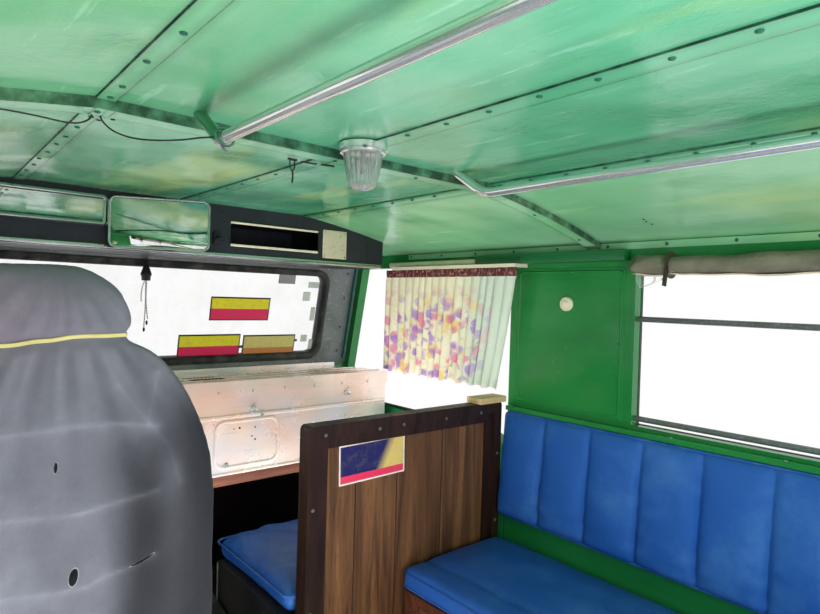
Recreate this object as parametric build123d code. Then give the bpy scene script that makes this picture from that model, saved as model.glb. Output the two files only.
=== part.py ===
from build123d import *
import os
from math import cos, radians, sin, tan

# The cabin of a jeepney: the coach-built body that sits on the chassis, from the firewall back to
# the open rear doorway. X points forwards, Y to the left, Z up, in millimetres. The origin is under
# the middle of the cabin, at the underside of the floor sills.

os.makedirs("parts", exist_ok=True)

# Body shell
front_x = 2150.0  # front face of the firewall
rear_x = -2050.0  # outer face of the rear wall
half_width = 830.0  # inside face of the side walls
wall = 35.0
outer_y = half_width + wall
skirt_z = 60.0  # bottom of the side panels
sill_z = 827.0  # top of the side panels
window_low_z = 847.0
window_top_z = 1265.0
eaves_z = 1314.0  # where the ceiling meets the side wall

# Floor, with the holes for the chassis bolts in its two long sills
sill_y = 400.0
sill_width = 60.0
sill_depth = 50.0
bearer_width = 60.0
bearer_depth = 48.0
bearer_count = 9
floor_plate = 12.0
floor_under = sill_depth + bearer_depth
floor_top = floor_under + floor_plate
bolt_x = 1450.0
bolt_r = 7.0

# Ceiling and roof
ceiling_z = 1405.0
kink_y = 383.0  # the flat middle ends here and the sides slope down
side_bow = 9.0  # how far the sloping side bows above its chord
ceiling_sheet = 3.0
roof_thick = 42.0
gutter_y = outer_y + 22.0
gutter_z = 20.0
visor_reach = 100.0  # roof beyond the firewall at the middle
visor_bow = 70.0  # how much less it reaches at the corners
seam_gap = 1.5

# Roof bows, the flat bars under the ceiling
bow_x = [906.0, -140.0, -1180.0]
bow_width = 38.0
bow_depth = 15.0

# Cover strips over the ceiling's lengthwise seams: low y, high y
strip_rows = [(362.0, 386.0), (-34.0, 2.0), (-424.0, -kink_y)]
strip_thick = 2.5
eaves_strip = 17.0

# Window wall behind the cab
pillar_front = 1185.0
pillar_rear = 784.0
window_post = 62.0
window_count = 3
rear_post = 75.0
bar_r = 7.0
bar_heights = (1117.0, 864.0)

# Windscreen
post_depth = 70.0
screen_low_x = 2080.0
screen_low_z = 918.0
screen_high_z = 1244.0
screen_half_width = 688.0
screen_corner = 45.0
screen_frame = 40.0
screen_lean = 12.1  # degrees from vertical
cowl_z = 880.0
glass = 6.0

# Console over the windscreen
console_x = 1670.0
console_back_x = 1935.0
console_half_width = 706.0
console_z = 1258.0
console_board = 12.0
pocket_y = (-440.0, -145.0)
pocket_z = (1292.0, 1360.0)
pocket_margin = 45.0
glass_strip_y = (190.0, 600.0)
glass_strip_z = (1316.0, 1384.0)

# Rear-view mirror
mirror_ball = (1606.0, 70.0, 1323.0)
mirror_width = 242.0
mirror_height = 130.0
mirror_thick = 16.0
mirror_corner = 18.0
mirror_yaw = 25.0
ball_r = 9.0
ball_gap = 0.3

# Dash
dash_nose_x = 1710.0
dash_top_z = 888.0
dash_lip_z = 845.0
dash_low_z = 601.0
dash_half_width = 775.0
dash_sheet = 10.0
dash_fall = 20.0

# Steering
wheel_x = 1480.0
wheel_z = 895.0
wheel_r = 200.0
wheel_rim_r = 11.0
wheel_dish = 22.0
wheel_hub_r = 32.0
spoke_width = 22.0
spoke_thick = 8.0
column_angle = 32.0  # degrees above horizontal
column_start = 70.0  # from the hub to the end of the column tube
column_r = 22.0
column_hole_gap = 6.0
shaft_r = 9.0
shaft_gap = 0.06

# Partition behind the front bench
partition_x = 1175.0
partition_thick = 40.0
partition_y = (-790.0, -127.0)
partition_top_z = 853.0
partition_stile = 31.0
partition_batten = 27.0
batten_step = 9.0
panel_thick = 12.0
panel_set_back = 18.0

# Seats
bench_depth = 400.0
bench_board = 12.0
bench_lip = 15.0
cushion_z = 400.0
cushion_thick = 72.0
back_thick = 52.0
back_rake = 22.0
back_low_z = 520.0
seat_gap = 0.3
left_bench_front = 880.0
front_bench_depth = 395.0
driver_y = 425.0
driver_back_x = 975.0
driver_back_z = 380.0
driver_back_thick = 105.0
driver_lean = 3.0
driver_half_width = 258.0
driver_cushion_depth = 430.0
driver_cushion_thick = 110.0
driver_base_half = 210.0

# Grab rails and the poles at the rear doorway
rail_y = 258.0
rail_z = 1355.0
rail_r = 8.5
rail_front_x = 892.0
rail_rear_x = rear_x + 150.0
rail_end_run = 105.0
rail_bend = 45.0
hanger_x = (-520.0, -1400.0)
pole_y = 372.0
pole_z = (560.0, 1250.0)
pole_r = 12.5
pole_reach = 60.0

# Loose wires under the cab bow, each from the left cover strip; every route ends in its seat
wire_r = 1.2
strip_under = ceiling_z - strip_thick
rail_wire = [
    (934.0, 372.0, strip_under),
    (934.0, 372.0, strip_under - 12.0),
    (929.0, 358.0, 1374.0),
    (908.0, 336.0, 1363.0),
    (872.0, 312.0, 1358.0),
    (836.0, 289.0, 1357.0),
    (806.0, 274.0, 1358.0),
    (786.0, rail_y + rail_r - 1.0, 1356.0),
]
# x, y and the drop below the ceiling there, so that its end stays in the sloping sheet
bow_wire_drops = [
    (941.0, 378.0, strip_thick),
    (941.0, 378.0, strip_thick + 12.0),
    (936.0, 392.0, 25.9),
    (922.0, 414.0, 30.0),
    (906.0, 446.0, 27.5),
    (893.0, 486.0, 24.4),
    (884.0, 526.0, 22.7),
    (877.0, 562.0, 16.2),
    (872.0, 590.0, 3.8),
    (870.0, 600.0, -0.8),
]

# Dome lamp
lamp_x = 821.0
lamp_r = 40.0
lamp_ring = 9.0
lens_r = 31.5
lens_tip_r = 19.0
lens_tip_z = 1327.0

# Wheels of the chassis below
axle_x = rear_x + 900.0
axle_z = -20.0
arch_r = 395.0
flare = 28.0
flare_depth = 18.0
house_depth = 270.0
house_sheet = 4.0

# Doors
door_gap = 10.0
door_low_z = 150.0
door_top_z = 740.0
door_rib = 6.0
door_rib_z = (300.0, 640.0)
door_corner = 60.0
hinge_x = 1962.0
hinge_out = 12.0
hinge_r = 9.0
hinge_pin_r = 5.0
hinge_gap = 0.05
hinge_z = (260.0, 630.0)
knuckle = 30.0
end_knuckle = 12.0
knuckle_gap = 1.0
hinge_leaf = 6.0

# Curtains
curtain_x = (1128.0, 1738.0)
curtain_z = (886.0, 1254.0)
curtain_gap = 38.0
curtain_thick = 14.0
roll_r = 27.0
roll_z = 1250.0
roll_gap = 4.0

# Rear end
doorway_half = 345.0
doorway_top_z = 1330.0
port_y = (430.0, 765.0)
port_z = (880.0, 1240.0)
step_half = 330.0
step_reach = 200.0
step_z = 20.0
step_plate = 25.0
step_arm = 40.0

# Cab floor
tunnel_y = (-95.0, 130.0)
tunnel_x = 1260.0
tunnel_rise = 310.0
lever_x = 1480.0
pedal_rows = [(330.0, 60.0), (430.0, 60.0), (540.0, 46.0)]  # y of the pad, its width


def block(x, y, z):
    """A box from (low, high) pairs along each axis."""
    size = [abs(high - low) for low, high in (x, y, z)]
    middle = [(low + high) / 2 for low, high in (x, y, z)]
    return Pos(*middle) * Box(*size)


def prism_x(outline, x):
    """A face outline of (y, z) edges carried along X between the two values of x."""
    face = make_face(outline)
    return extrude(Plane.YZ.offset(min(x)) * face, abs(x[1] - x[0]))


def prism_y(points, y):
    """A polygon of (x, z) points carried along Y between the two values of y."""
    face = make_face(Polyline(*points, close=True))
    plane = Plane(origin=(0, max(y), 0), x_dir=(1, 0, 0), z_dir=(0, -1, 0))
    return extrude(plane * face, abs(y[1] - y[0]), dir=(0, -1, 0))


def rod(start, end, radius):
    """A round bar between two points."""
    start, end = Vector(*start), Vector(*end)
    along = end - start
    return extrude(Plane(origin=start, z_dir=along) * Circle(radius), along.length)


def both_sides(part):
    """The part and its mirror image across the middle of the cabin."""
    return [part, mirror(part, about=Plane.XZ)]


def round_edges(part, axis, radius, end=None):
    """Rounds the edges along an axis: all of them, or those at one end along another axis."""
    edges = part.edges().filter_by(axis)
    if end:
        other, index = end
        edges = edges.group_by(other)[index]
    return fillet(edges, radius)


def save(name, *parts):
    """Writes one node; several solids that don't touch share it."""
    solids = [solid for part in parts for solid in part.solids()]
    shape = solids[0] if len(solids) == 1 else Compound(children=solids)
    export_step(shape, f"parts/{name}.step")


def side_curve(lift, sign=1):
    """The sloping side of the ceiling, from the kink to the eaves, raised by lift."""
    middle_y = (kink_y + half_width) / 2
    middle_z = (ceiling_z + eaves_z) / 2 + side_bow
    points = [(kink_y, ceiling_z), (middle_y, middle_z), (half_width, eaves_z)]
    return ThreePointArc(*[(sign * y, z + lift) for y, z in points])


def under_ceiling(lift=0.0, foot=0.0):
    """Outline of everything inside the cabin below the ceiling raised by lift."""
    edge = eaves_z + lift
    return (
        side_curve(lift)
        + side_curve(lift, -1)
        + Line((-kink_y, ceiling_z + lift), (kink_y, ceiling_z + lift))
        + Line((half_width, edge), (half_width, foot))
        + Line((half_width, foot), (-half_width, foot))
        + Line((-half_width, foot), (-half_width, edge))
    )


def cabin_space(x, lift=0.0, foot=0.0):
    """The inside of the cabin as a solid, for trimming what fits under the ceiling."""
    return prism_x(under_ceiling(lift, foot).edges(), x)


def window_bays():
    """The (rear, front) x of each side window, equal lengths between equal posts."""
    length = pillar_rear - (rear_x + rear_post)
    bay = (length - window_post * (window_count - 1)) / window_count
    fronts = [pillar_rear - n * (bay + window_post) for n in range(window_count)]
    return [(front - bay, front) for front in fronts]


def screen_x(z):
    """x of the windscreen's middle plane at a height."""
    return screen_low_x - (z - screen_low_z) * tan(radians(screen_lean))


def leaning(part):
    """Stands a part drawn at the origin onto the foot of the leaning windscreen."""
    return Pos(screen_low_x, 0, screen_low_z) * Rot(0, -screen_lean, 0) * part


def steering_axis(start, end, radius):
    """A round bar on the steering axis, between distances forwards from the wheel's hub."""
    along = Vector(cos(radians(column_angle)), 0, -sin(radians(column_angle)))
    hub = Vector(wheel_x, driver_y, wheel_z)
    return rod(tuple(hub + along * start), tuple(hub + along * end), radius)


def floor():
    """Plate on cross bearers on two long sills; the rear wheels leave notches in the sides."""
    inside_x = (rear_x, front_x - wall)
    wheel_x_run = (axle_x - arch_r, axle_x + arch_r)
    notch = block(wheel_x_run, (half_width - house_depth, half_width), (0, floor_top))
    plate = block(inside_x, (-half_width, half_width), (floor_under, floor_top))
    for cut in both_sides(notch):
        plate -= cut
    save("floor_pan", plate)

    pitch = (inside_x[1] - inside_x[0] - bearer_width) / (bearer_count - 1)
    bearers = []
    for row in range(bearer_count):
        x = inside_x[0] + row * pitch
        bearer = block((x, x + bearer_width), (-half_width, half_width), (sill_depth, floor_under))
        for cut in both_sides(notch):
            bearer -= cut
        bearers.append(bearer)
    save("floor_bearers", *bearers)

    sill = block(inside_x, (sill_y - sill_width / 2, sill_y + sill_width / 2), (0, sill_depth))
    for x in (-bolt_x, bolt_x):
        sill -= Pos(x, sill_y, 0) * Cylinder(bolt_r, 4 * sill_depth)
    save("floor_sills", *both_sides(sill))


def side_panels():
    """Lower side wall with its wheel arch, running on under the door as the rocker."""
    outline = [
        (rear_x, skirt_z),
        (hinge_x + door_gap / 2, skirt_z),
        (hinge_x + door_gap / 2, door_low_z - door_gap),
        (pillar_front, door_low_z - door_gap),
        (pillar_front, sill_z),
        (rear_x, sill_z),
    ]
    panel = prism_y(outline, (half_width, outer_y))
    arch = Pos(axle_x, half_width, axle_z) * Rot(90, 0, 0) * Cylinder(arch_r, 6 * wall)
    lip = Pos(axle_x, outer_y + flare_depth / 2, axle_z) * Rot(90, 0, 0)
    lip *= Cylinder(arch_r + flare, flare_depth)
    reach = arch_r + 2 * flare
    lip &= block((axle_x - reach, axle_x + reach), (outer_y, outer_y + flare_depth), (skirt_z, sill_z))
    left, right = both_sides(panel + lip - arch)
    save("left_side_panel", left)
    save("right_side_panel", right)


def window_frames():
    """Side wall above the sill: posts, the wide post behind the cab, and the top rail."""
    top_front = screen_x(eaves_z) + screen_frame / 2
    low_front = screen_x(sill_z) + screen_frame / 2
    outline = [(rear_x, sill_z), (low_front, sill_z), (top_front, eaves_z), (rear_x, eaves_z)]
    frame = prism_y(outline, (half_width, outer_y))
    through = (half_width - wall, outer_y + wall)
    for rear, front in window_bays():
        frame -= block((rear, front), through, (window_low_z, window_top_z))
    slope = (low_front - top_front) / (eaves_z - sill_z)
    top_x = top_front + slope * (eaves_z - window_top_z) - post_depth
    cut = [
        (pillar_front, sill_z - wall),
        (low_front + slope * wall - post_depth, sill_z - wall),
        (top_x, window_top_z),
        (pillar_front, window_top_z),
    ]
    left, right = both_sides(frame - prism_y(cut, through))
    save("left_window_frame", left)
    save("right_window_frame", right)


def roof():
    """Roof sandwich: outer skin over the bows, down to the top of the ceiling sheets."""
    top = ceiling_z + ceiling_sheet + roof_thick
    low = eaves_z + ceiling_sheet
    edges = (
        side_curve(ceiling_sheet)
        + side_curve(ceiling_sheet, -1)
        + Line((-kink_y, ceiling_z + ceiling_sheet), (kink_y, ceiling_z + ceiling_sheet))
        + ThreePointArc((-gutter_y, eaves_z + gutter_z), (0, top), (gutter_y, eaves_z + gutter_z))
    )
    for sign in (1, -1):
        edges += Line((sign * half_width, low), (sign * half_width, eaves_z))
        edges += Line((sign * half_width, eaves_z), (sign * gutter_y, eaves_z))
        edges += Line((sign * gutter_y, eaves_z), (sign * gutter_y, eaves_z + gutter_z))
    nose = front_x + visor_reach
    shell = prism_x(edges.edges(), (rear_x, nose))
    plan = (
        ThreePointArc((nose - visor_bow, -gutter_y), (nose, 0), (nose - visor_bow, gutter_y))
        + Line((nose - visor_bow, gutter_y), (rear_x, gutter_y))
        + Line((rear_x, gutter_y), (rear_x, -gutter_y))
        + Line((rear_x, -gutter_y), (nose - visor_bow, -gutter_y))
    )
    shell &= extrude(Plane.XY.offset(eaves_z - 1) * make_face(plan.edges()), 10 * roof_thick)
    save("roof_shell", shell)


def ceiling_sheets():
    """Four lengthwise rows of sheet, each split across the cabin at the cab bow."""
    rear, front = rear_x + wall, screen_x(ceiling_z) - screen_frame
    runs = [(rear, bow_x[0] - seam_gap), (bow_x[0] + seam_gap, front)]
    top = ceiling_z + ceiling_sheet
    flats, slopes = [], []
    for sign in (1, -1):
        sloping = (
            side_curve(0, sign)
            + side_curve(ceiling_sheet, sign)
            + Line((sign * kink_y, ceiling_z), (sign * kink_y, top))
            + Line((sign * half_width, eaves_z), (sign * half_width, eaves_z + ceiling_sheet))
        )
        for x in runs:
            flats.append(block(x, (sign * seam_gap, sign * (kink_y - seam_gap)), (ceiling_z, top)))
            slopes.append(prism_x(sloping.edges(), x))
    save("ceiling_sheets", *flats, *slopes)


def ceiling_strips():
    """Flat cover strips over the lengthwise seams and along the eaves, cut at the bows."""
    rear, front = rear_x + wall, console_x
    solids = []
    for y in strip_rows:
        strip = block((rear, front), y, (ceiling_z - strip_thick, ceiling_z + 1))
        strip &= cabin_space((rear, front))
        for x in bow_x:
            strip -= block((x - bow_width / 2, x + bow_width / 2), y, (eaves_z, ceiling_z + 1))
        solids.append(strip)
    low = eaves_z - strip_thick - eaves_strip
    eaves = block((rear, front), (half_width - strip_thick, half_width), (low, low + eaves_strip))
    save("ceiling_strips", *solids, *both_sides(eaves))


def roof_bows():
    """Flat bars across the cabin, bent to the ceiling's section."""
    solids = []
    ends = half_width - strip_thick
    for x in bow_x:
        run = (x - bow_width / 2, x + bow_width / 2)
        bar = cabin_space(run, 0, 1000) - cabin_space(run, -bow_depth, 900)
        solids.append(bar & block(run, (-ends, ends), (eaves_z - bow_depth, ceiling_z)))
    save("roof_bows", *solids)


def swept_tube(points, bend, radius):
    """A tube along straight runs joined by bends."""
    path = FilletPolyline(*points, radius=bend)
    return sweep(Plane(origin=path @ 0, z_dir=path % 0) * Circle(radius), path)


def bend_radii(points):
    """For each inner point of a route, the largest bend that its two runs leave room for."""
    radii = []
    for before, here, after in zip(points, points[1:], points[2:]):
        first = Vector(*here) - Vector(*before)
        second = Vector(*after) - Vector(*here)
        half_turn = radians(first.get_angle(second)) / 2
        radii.append(0.45 * min(first.length, second.length) / tan(half_turn))
    return radii


def ceiling_at(y):
    """Height of the ceiling's underside at y: flat to the kink, then the bowed slope."""
    along = (y - kink_y) / (half_width - kink_y)
    if along <= 0:
        return ceiling_z
    chord = ceiling_z + (eaves_z - ceiling_z) * along
    return chord + side_bow * (1 - (2 * along - 1) ** 2)


def wires():
    """Two thin wires hanging from the cover strip, one to the left rail, one behind the bow."""
    bow_wire = [(x, y, ceiling_at(y) - drop) for x, y, drop in bow_wire_drops]
    print("bow wire heights", [round(z, 1) for x, y, z in bow_wire])
    for name, route in (("rail_wire", rail_wire), ("bow_wire", bow_wire)):
        radii = bend_radii(route)
        print(name, "bend radii", [round(r, 1) for r in radii])
        path = FilletPolyline(*route, radius=radii)
        wire = sweep(Plane(origin=path @ 0, z_dir=path % 0) * Circle(wire_r), path)
        print(name, "length", round(path.length, 1), "volume share", wire.volume / path.length)
        save(name, wire)


def grab_rails():
    """Tubes under the ceiling with their hangers, and the poles beside the rear doorway."""
    front_knee, rear_knee = rail_front_x - rail_end_run, rail_rear_x + rail_end_run
    points = [
        (rail_front_x - 30, rail_y, ceiling_z),
        (front_knee, rail_y, rail_z),
        (rear_knee, rail_y, rail_z),
        (rail_rear_x, rail_y, ceiling_z),
    ]
    tube = swept_tube(points, rail_bend, rail_r)
    near = (rail_y - 5 * rail_r, rail_y + 5 * rail_r)
    tube &= block((rear_x, front_x), near, (rail_z - 5 * rail_r, ceiling_z))
    for x in hanger_x:
        tube += rod((x, rail_y, rail_z), (x, rail_y, ceiling_z), 5)
        tube += Pos(x, rail_y, ceiling_z - 2) * Cylinder(20, 4)
    head = block((front_knee - rail_bend, front_x), near, (rail_z - 5 * rail_r, ceiling_z))
    pole_x = rear_x - pole_reach
    pole = swept_tube(
        [
            (rear_x, pole_y, pole_z[0]),
            (pole_x, pole_y, pole_z[0]),
            (pole_x, pole_y, pole_z[1]),
            (rear_x, pole_y, pole_z[1]),
        ],
        3 * pole_r,
        pole_r,
    )
    save("left_rail_elbow", tube & head)
    save("grab_rails", tube - head, mirror(tube, about=Plane.XZ), *both_sides(pole))


def dome_lamp():
    """Round base on the ceiling behind the cab bow, with a jar-shaped glass lens."""
    top = ceiling_z - strip_thick
    ring_z = top - lamp_ring
    save("dome_lamp_base", Pos(lamp_x, 0, (ring_z + top) / 2) * Cylinder(lamp_r, lamp_ring))
    middle = (lens_r * 0.93, (ring_z + lens_tip_z) / 2)
    outline = (
        Polyline((lens_tip_r, lens_tip_z), (0, lens_tip_z), (0, ring_z), (lens_r, ring_z))
        + ThreePointArc((lens_r, ring_z), middle, (lens_tip_r, lens_tip_z))
    )
    lens = revolve(Plane.XZ * make_face(outline.edges()), Axis.Z)
    save("dome_lamp_lens", Pos(lamp_x, 0, 0) * lens)


def mirror_arm():
    """Arm of the rear-view mirror, from its ball to the foot on the console's face."""
    x, y, z = mirror_ball
    arm = Pos(x, y, z) * Rot(35, 20, 0) * Sphere(ball_r) + rod((x, y, z), (console_x, y, z), 6)
    return arm + block((console_x - 4, console_x), (y - 22, y + 22), (z - 22, z + 22))


def console():
    """Board-built shelf box over the windscreen with a pocket cut in its face."""
    run = (console_x, console_back_x)
    box = block(run, (-console_half_width, console_half_width), (console_z, ceiling_z))
    box &= cabin_space(run, 0, 900)
    low_y, high_y = pocket_y
    box -= block(
        (console_x + console_board, console_back_x - console_board),
        (low_y - pocket_margin, high_y + pocket_margin),
        (console_z + console_board, pocket_z[1] + console_board),
    )
    box -= block((console_x - console_board, console_x + 2 * console_board), pocket_y, pocket_z)
    save("overhead_console", box + mirror_arm())
    strip = block((console_x - console_board, console_x), glass_strip_y, glass_strip_z)
    save("console_mirror", strip & cabin_space((rear_x, front_x), -strip_thick, 900))


def rear_view_mirror():
    """Round-cornered mirror turned towards the driver about the ball of its arm."""
    shell = round_edges(Box(mirror_thick, mirror_width, mirror_height), Axis.X, mirror_corner)
    behind = mirror_thick / 2 + ball_gap + ball_r
    save("rear_view_mirror", Pos(*mirror_ball) * Rot(0, 0, -mirror_yaw) * Pos(-behind, 0, 0) * shell)


def windscreen():
    """Leaning frame with both front pillars, and its glass."""
    length = (screen_high_z - screen_low_z) / cos(radians(screen_lean))
    hole = Pos(0, 0, length / 2) * Box(4 * screen_frame, 2 * screen_half_width, length)
    hole = round_edges(hole, Axis.X, screen_corner)
    frame = Pos(0, 0, length / 2) * Box(screen_frame, 2 * half_width, 3 * length)
    frame = leaning(frame - hole)
    save("windscreen_frame", frame & cabin_space((rear_x, front_x), 0, cowl_z))
    pane = Pos(0, 0, length / 2) * Box(glass, 2 * screen_half_width, length)
    save("windscreen_glass", leaning(round_edges(pane, Axis.X, screen_corner)))


def cowl():
    """Firewall, its top beam under the windscreen and the side cheeks ahead of the doors."""
    inner_x = front_x - wall
    plate = block((inner_x, front_x), (-half_width, half_width), (skirt_z, cowl_z))
    beam_x = screen_x(cowl_z) - 25
    plate += block((beam_x, front_x), (-half_width, half_width), (cowl_z - 50, cowl_z))
    cheek = block((hinge_x + door_gap / 2, front_x), (half_width, outer_y), (skirt_z, sill_z))
    for part in both_sides(cheek):
        plate += part
    save("cowl", plate - steering_axis(0, 3 * front_x, column_r))


def dash():
    """Bent sheet: ledge, nose and knee panel, with a hole for the column."""
    back_x = screen_x(cowl_z) - 25
    low_top = dash_top_z - dash_fall
    inner_x = dash_nose_x + 2 * dash_sheet
    outline = [
        (back_x, low_top),
        (back_x, low_top - dash_sheet),
        (inner_x, dash_top_z - 1.4 * dash_sheet),
        (inner_x, dash_low_z),
        (dash_nose_x + dash_sheet, dash_low_z),
        (dash_nose_x + dash_sheet, dash_lip_z),
        (dash_nose_x, dash_lip_z),
        (dash_nose_x, dash_top_z),
    ]
    panel = prism_y(outline, (-dash_half_width, dash_half_width))
    save("dashboard", panel - steering_axis(0, 900, column_r + column_hole_gap))


def steering():
    """Column tube through the dash into the firewall, and the wheel on its shaft."""
    reach = (front_x - wall / 2 - wheel_x) / cos(radians(column_angle))
    collar = reach / 2
    tube = steering_axis(column_start, reach, column_r)
    tube += steering_axis(collar, collar + 2 * column_r, 1.6 * column_r)
    hang_x = wheel_x + (collar + column_r) * cos(radians(column_angle))
    hang_z = wheel_z - (collar + column_r) * sin(radians(column_angle))
    depth = (hang_x - dash_nose_x) / (screen_x(cowl_z) - 25 - dash_nose_x)
    under_ledge = dash_top_z - 1.4 * dash_sheet - dash_fall * depth
    tube += block(
        (hang_x - 12, hang_x + 12), (driver_y - 16, driver_y + 16), (hang_z, under_ledge)
    )
    tube -= steering_axis(0, reach - wall, shaft_r + shaft_gap)
    save("steering_column", tube)

    plane = Plane(
        origin=(wheel_x, driver_y, wheel_z),
        z_dir=(-cos(radians(column_angle)), 0, sin(radians(column_angle))),
    )
    rim_middle = wheel_r - wheel_rim_r
    wheel = Pos(0, 0, wheel_dish) * Torus(rim_middle, wheel_rim_r) + Cylinder(wheel_hub_r, 30)
    for turn in (90, 210, 330):
        half = Pos(rim_middle / 2, 0, wheel_dish / 2) * Rot(0, -6, 0)
        wheel += Rot(0, 0, turn) * half * Box(rim_middle, spoke_width, spoke_thick)
    wheel = plane * wheel + steering_axis(0, reach - 2 * wall, shaft_r)
    save("steering_wheel", wheel)


def cab_floor():
    """Raised gearbox cover between the front seats with its lever, and the pedals."""
    inner_x = front_x - wall
    rise = floor_top + tunnel_rise
    knee_x = tunnel_x + 300
    outline = [
        (tunnel_x, floor_top),
        (inner_x, floor_top),
        (inner_x, rise),
        (knee_x, rise - 120),
        (tunnel_x, floor_top + 130),
    ]
    cover = prism_y(outline, tunnel_y)
    middle = sum(tunnel_y) / 2
    cover += rod((lever_x, middle, floor_top + 100), (lever_x - 40, middle, rise + 200), 8)
    cover += Pos(lever_x - 40, middle, rise + 215) * Sphere(24)
    save("gearbox_cover", cover)
    pedals = []
    for y, width in pedal_rows:
        pad = Pos(1950, y, 270) * Rot(0, -35, 0) * Box(12, width, 70)
        pad += rod((1952, y, 272), (front_x, y, 330), 7)
        pedals.append(pad & block((rear_x, inner_x), (0, half_width), (floor_top, cushion_z)))
    save("pedals", *pedals)


def driver_seat():
    """Bucket seat: plain box base, cushion, and a tall back with a built-in headrest."""
    low, half = driver_back_z, driver_half_width
    slope = sin(radians(driver_lean))
    back_foot_x = driver_back_x + (1190 - low) * slope
    start = back_foot_x + driver_back_thick + seat_gap
    right = [(half, 440), (247, 850), (213, 985), (126, 1080), (92, 1170)]
    outline = Line((-half + 20, low), (half - 20, low))
    for sign in (1, -1):
        knots = [(sign * y, z) for y, z in right]
        outline += Polyline((sign * (half - 20), low), knots[0], knots[1])
        outline += ThreePointArc(*knots[1:4])
        outline += ThreePointArc(knots[3], knots[4], (0, 1190))
    back = extrude(Plane.YZ * make_face(outline.edges()), driver_back_thick)
    back = Pos(back_foot_x, driver_y, low) * Rot(0, -driver_lean, 0) * Pos(0, 0, -low) * back
    save("driver_seat_back", back)

    top = cushion_z + cushion_thick
    seat_y = (driver_y - half + 8, driver_y + half - 8)
    cushion = block((start, start + driver_cushion_depth), seat_y, (top - driver_cushion_thick, top))
    save("driver_seat_cushion", round_edges(cushion, Axis.Z, 60))
    base_y = (driver_y - driver_base_half, driver_y + driver_base_half)
    base_top = top - driver_cushion_thick
    base = block((back_foot_x - 20, start + driver_cushion_depth - 50), base_y, (floor_top, base_top))
    front_bench(base)


def front_bench(driver_base):
    """Passenger bench beside the driver: board box, saved with the driver's, and cushion."""
    y = (partition_y[0] + 6, tunnel_y[0] - 12)
    start = partition_x + partition_thick
    base = block((start, start + front_bench_depth), y, (floor_top, cushion_z))
    save("seat_bases", driver_base, base)
    top = (cushion_z + seat_gap, cushion_z + cushion_thick)
    cushion = block((start + 6, start + front_bench_depth + 2 * bench_lip), y, top)
    save("front_bench_cushion", round_edges(cushion, Axis.Z, 30))


def partition():
    """Framed board behind the front bench: outer frame, inner battens and the panel."""
    x = (partition_x, partition_x + partition_thick)
    low, high = partition_y
    outer = block(x, (low, high), (floor_top, partition_top_z))
    outer = round_edges(outer, Axis.X, 12, (Axis.Z, -1))
    edge = partition_stile
    outer -= block(
        (x[0] - batten_step, x[0] + batten_step),
        (low + edge, high - edge),
        (floor_top + edge, partition_top_z - edge),
    )
    edge += partition_batten
    hole_y, hole_z = (low + edge, high - edge), (floor_top + edge, partition_top_z - edge)
    save("partition_frame", outer - block((x[0] - wall, x[1] + wall), hole_y, hole_z))
    panel_x = x[0] + panel_set_back
    save("partition_panel", block((panel_x, panel_x + panel_thick), hole_y, hole_z))


def benches():
    """Lengthwise benches: board riser and top, cushion, and padded back under the windows."""
    inner_y = half_width - bench_depth
    rear = rear_x + wall
    boxes, pads, backs = [], [], []
    for sign, front in ((1, left_bench_front), (-1, partition_x)):
        across = (sign * inner_y, sign * half_width)
        boxes.append(
            block((rear, front), (across[0], across[0] + sign * bench_board), (floor_top, cushion_z))
            + block((rear, front), across, (cushion_z - bench_board, cushion_z))
            + block((front - bench_board, front), across, (floor_top, cushion_z))
        )
        pad_y = (sign * (inner_y - bench_lip), sign * (half_width - back_thick))
        pad = block((rear + 3, front - 3), pad_y, (cushion_z + seat_gap, cushion_z + cushion_thick))
        pads.append(round_edges(pad, Axis.Z, 14))
        section = [
            (half_width - seat_gap, back_low_z),
            (half_width - seat_gap, sill_z - 4),
            (half_width - back_thick + 12, sill_z - 4),
            (half_width - back_thick - back_rake, back_low_z),
        ]
        face = make_face(Polyline(*[(sign * y, z) for y, z in section], close=True))
        run = (rear + 3, front - 3)
        backs.append(extrude(Plane.YZ.offset(run[0]) * face, run[1] - run[0]))
    save("bench_boxes", *boxes)
    save("bench_cushions", *pads)
    save("bench_backrests", *backs)


def wheel_houses():
    """Curved sheet over each rear wheel, under the bench, with its inner wall."""
    low, high = half_width - house_depth, half_width
    middle = (low + high) / 2
    turned = Rot(90, 0, 0)
    drum = Pos(axle_x, middle, axle_z) * turned * Cylinder(arch_r, high - low)
    drum -= Pos(axle_x, middle + house_sheet, axle_z) * turned * Cylinder(
        arch_r - house_sheet, high - low
    )
    reach = arch_r + flare
    keep = block((axle_x - reach, axle_x + reach), (low, high), (floor_top, sill_z))
    save("wheel_houses", *both_sides(drum & keep))


def curtains():
    """Gathered curtain on a rail over the right front window, and the rolled side curtains."""
    wall_y = -half_width
    y = (wall_y + curtain_gap, wall_y + curtain_gap + curtain_thick)
    save("door_curtain", block(curtain_x, y, curtain_z))
    rail = block(
        (curtain_x[0], curtain_x[1] - curtain_gap),
        (wall_y, wall_y + curtain_gap + curtain_thick + 4),
        (curtain_z[1] + seat_gap, curtain_z[1] + 10),
    )
    save("curtain_rail", rail)
    roll_y = half_width - roll_r - roll_gap
    rolls = []
    for rear, front in window_bays():
        roll = rod((rear - 20, roll_y, roll_z), (front - 6, roll_y, roll_z), roll_r)
        for x in (rear + 120, front - 120):
            hook_z = (roll_z + roll_r - 8, roll_z + roll_r + 4)
            roll += block((x - 12, x + 12), (roll_y, half_width), hook_z)
        rolls += both_sides(roll)
    save("rolled_side_curtains", *rolls)


def window_bars():
    """Guard bars across each side window, their ends in the posts."""
    y = half_width + wall / 2
    bars = []
    for rear, front in window_bays():
        for z in bar_heights:
            bars += both_sides(rod((rear, y, z), (front, y, z), bar_r))
    save("window_guard_bars", *bars)


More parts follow.
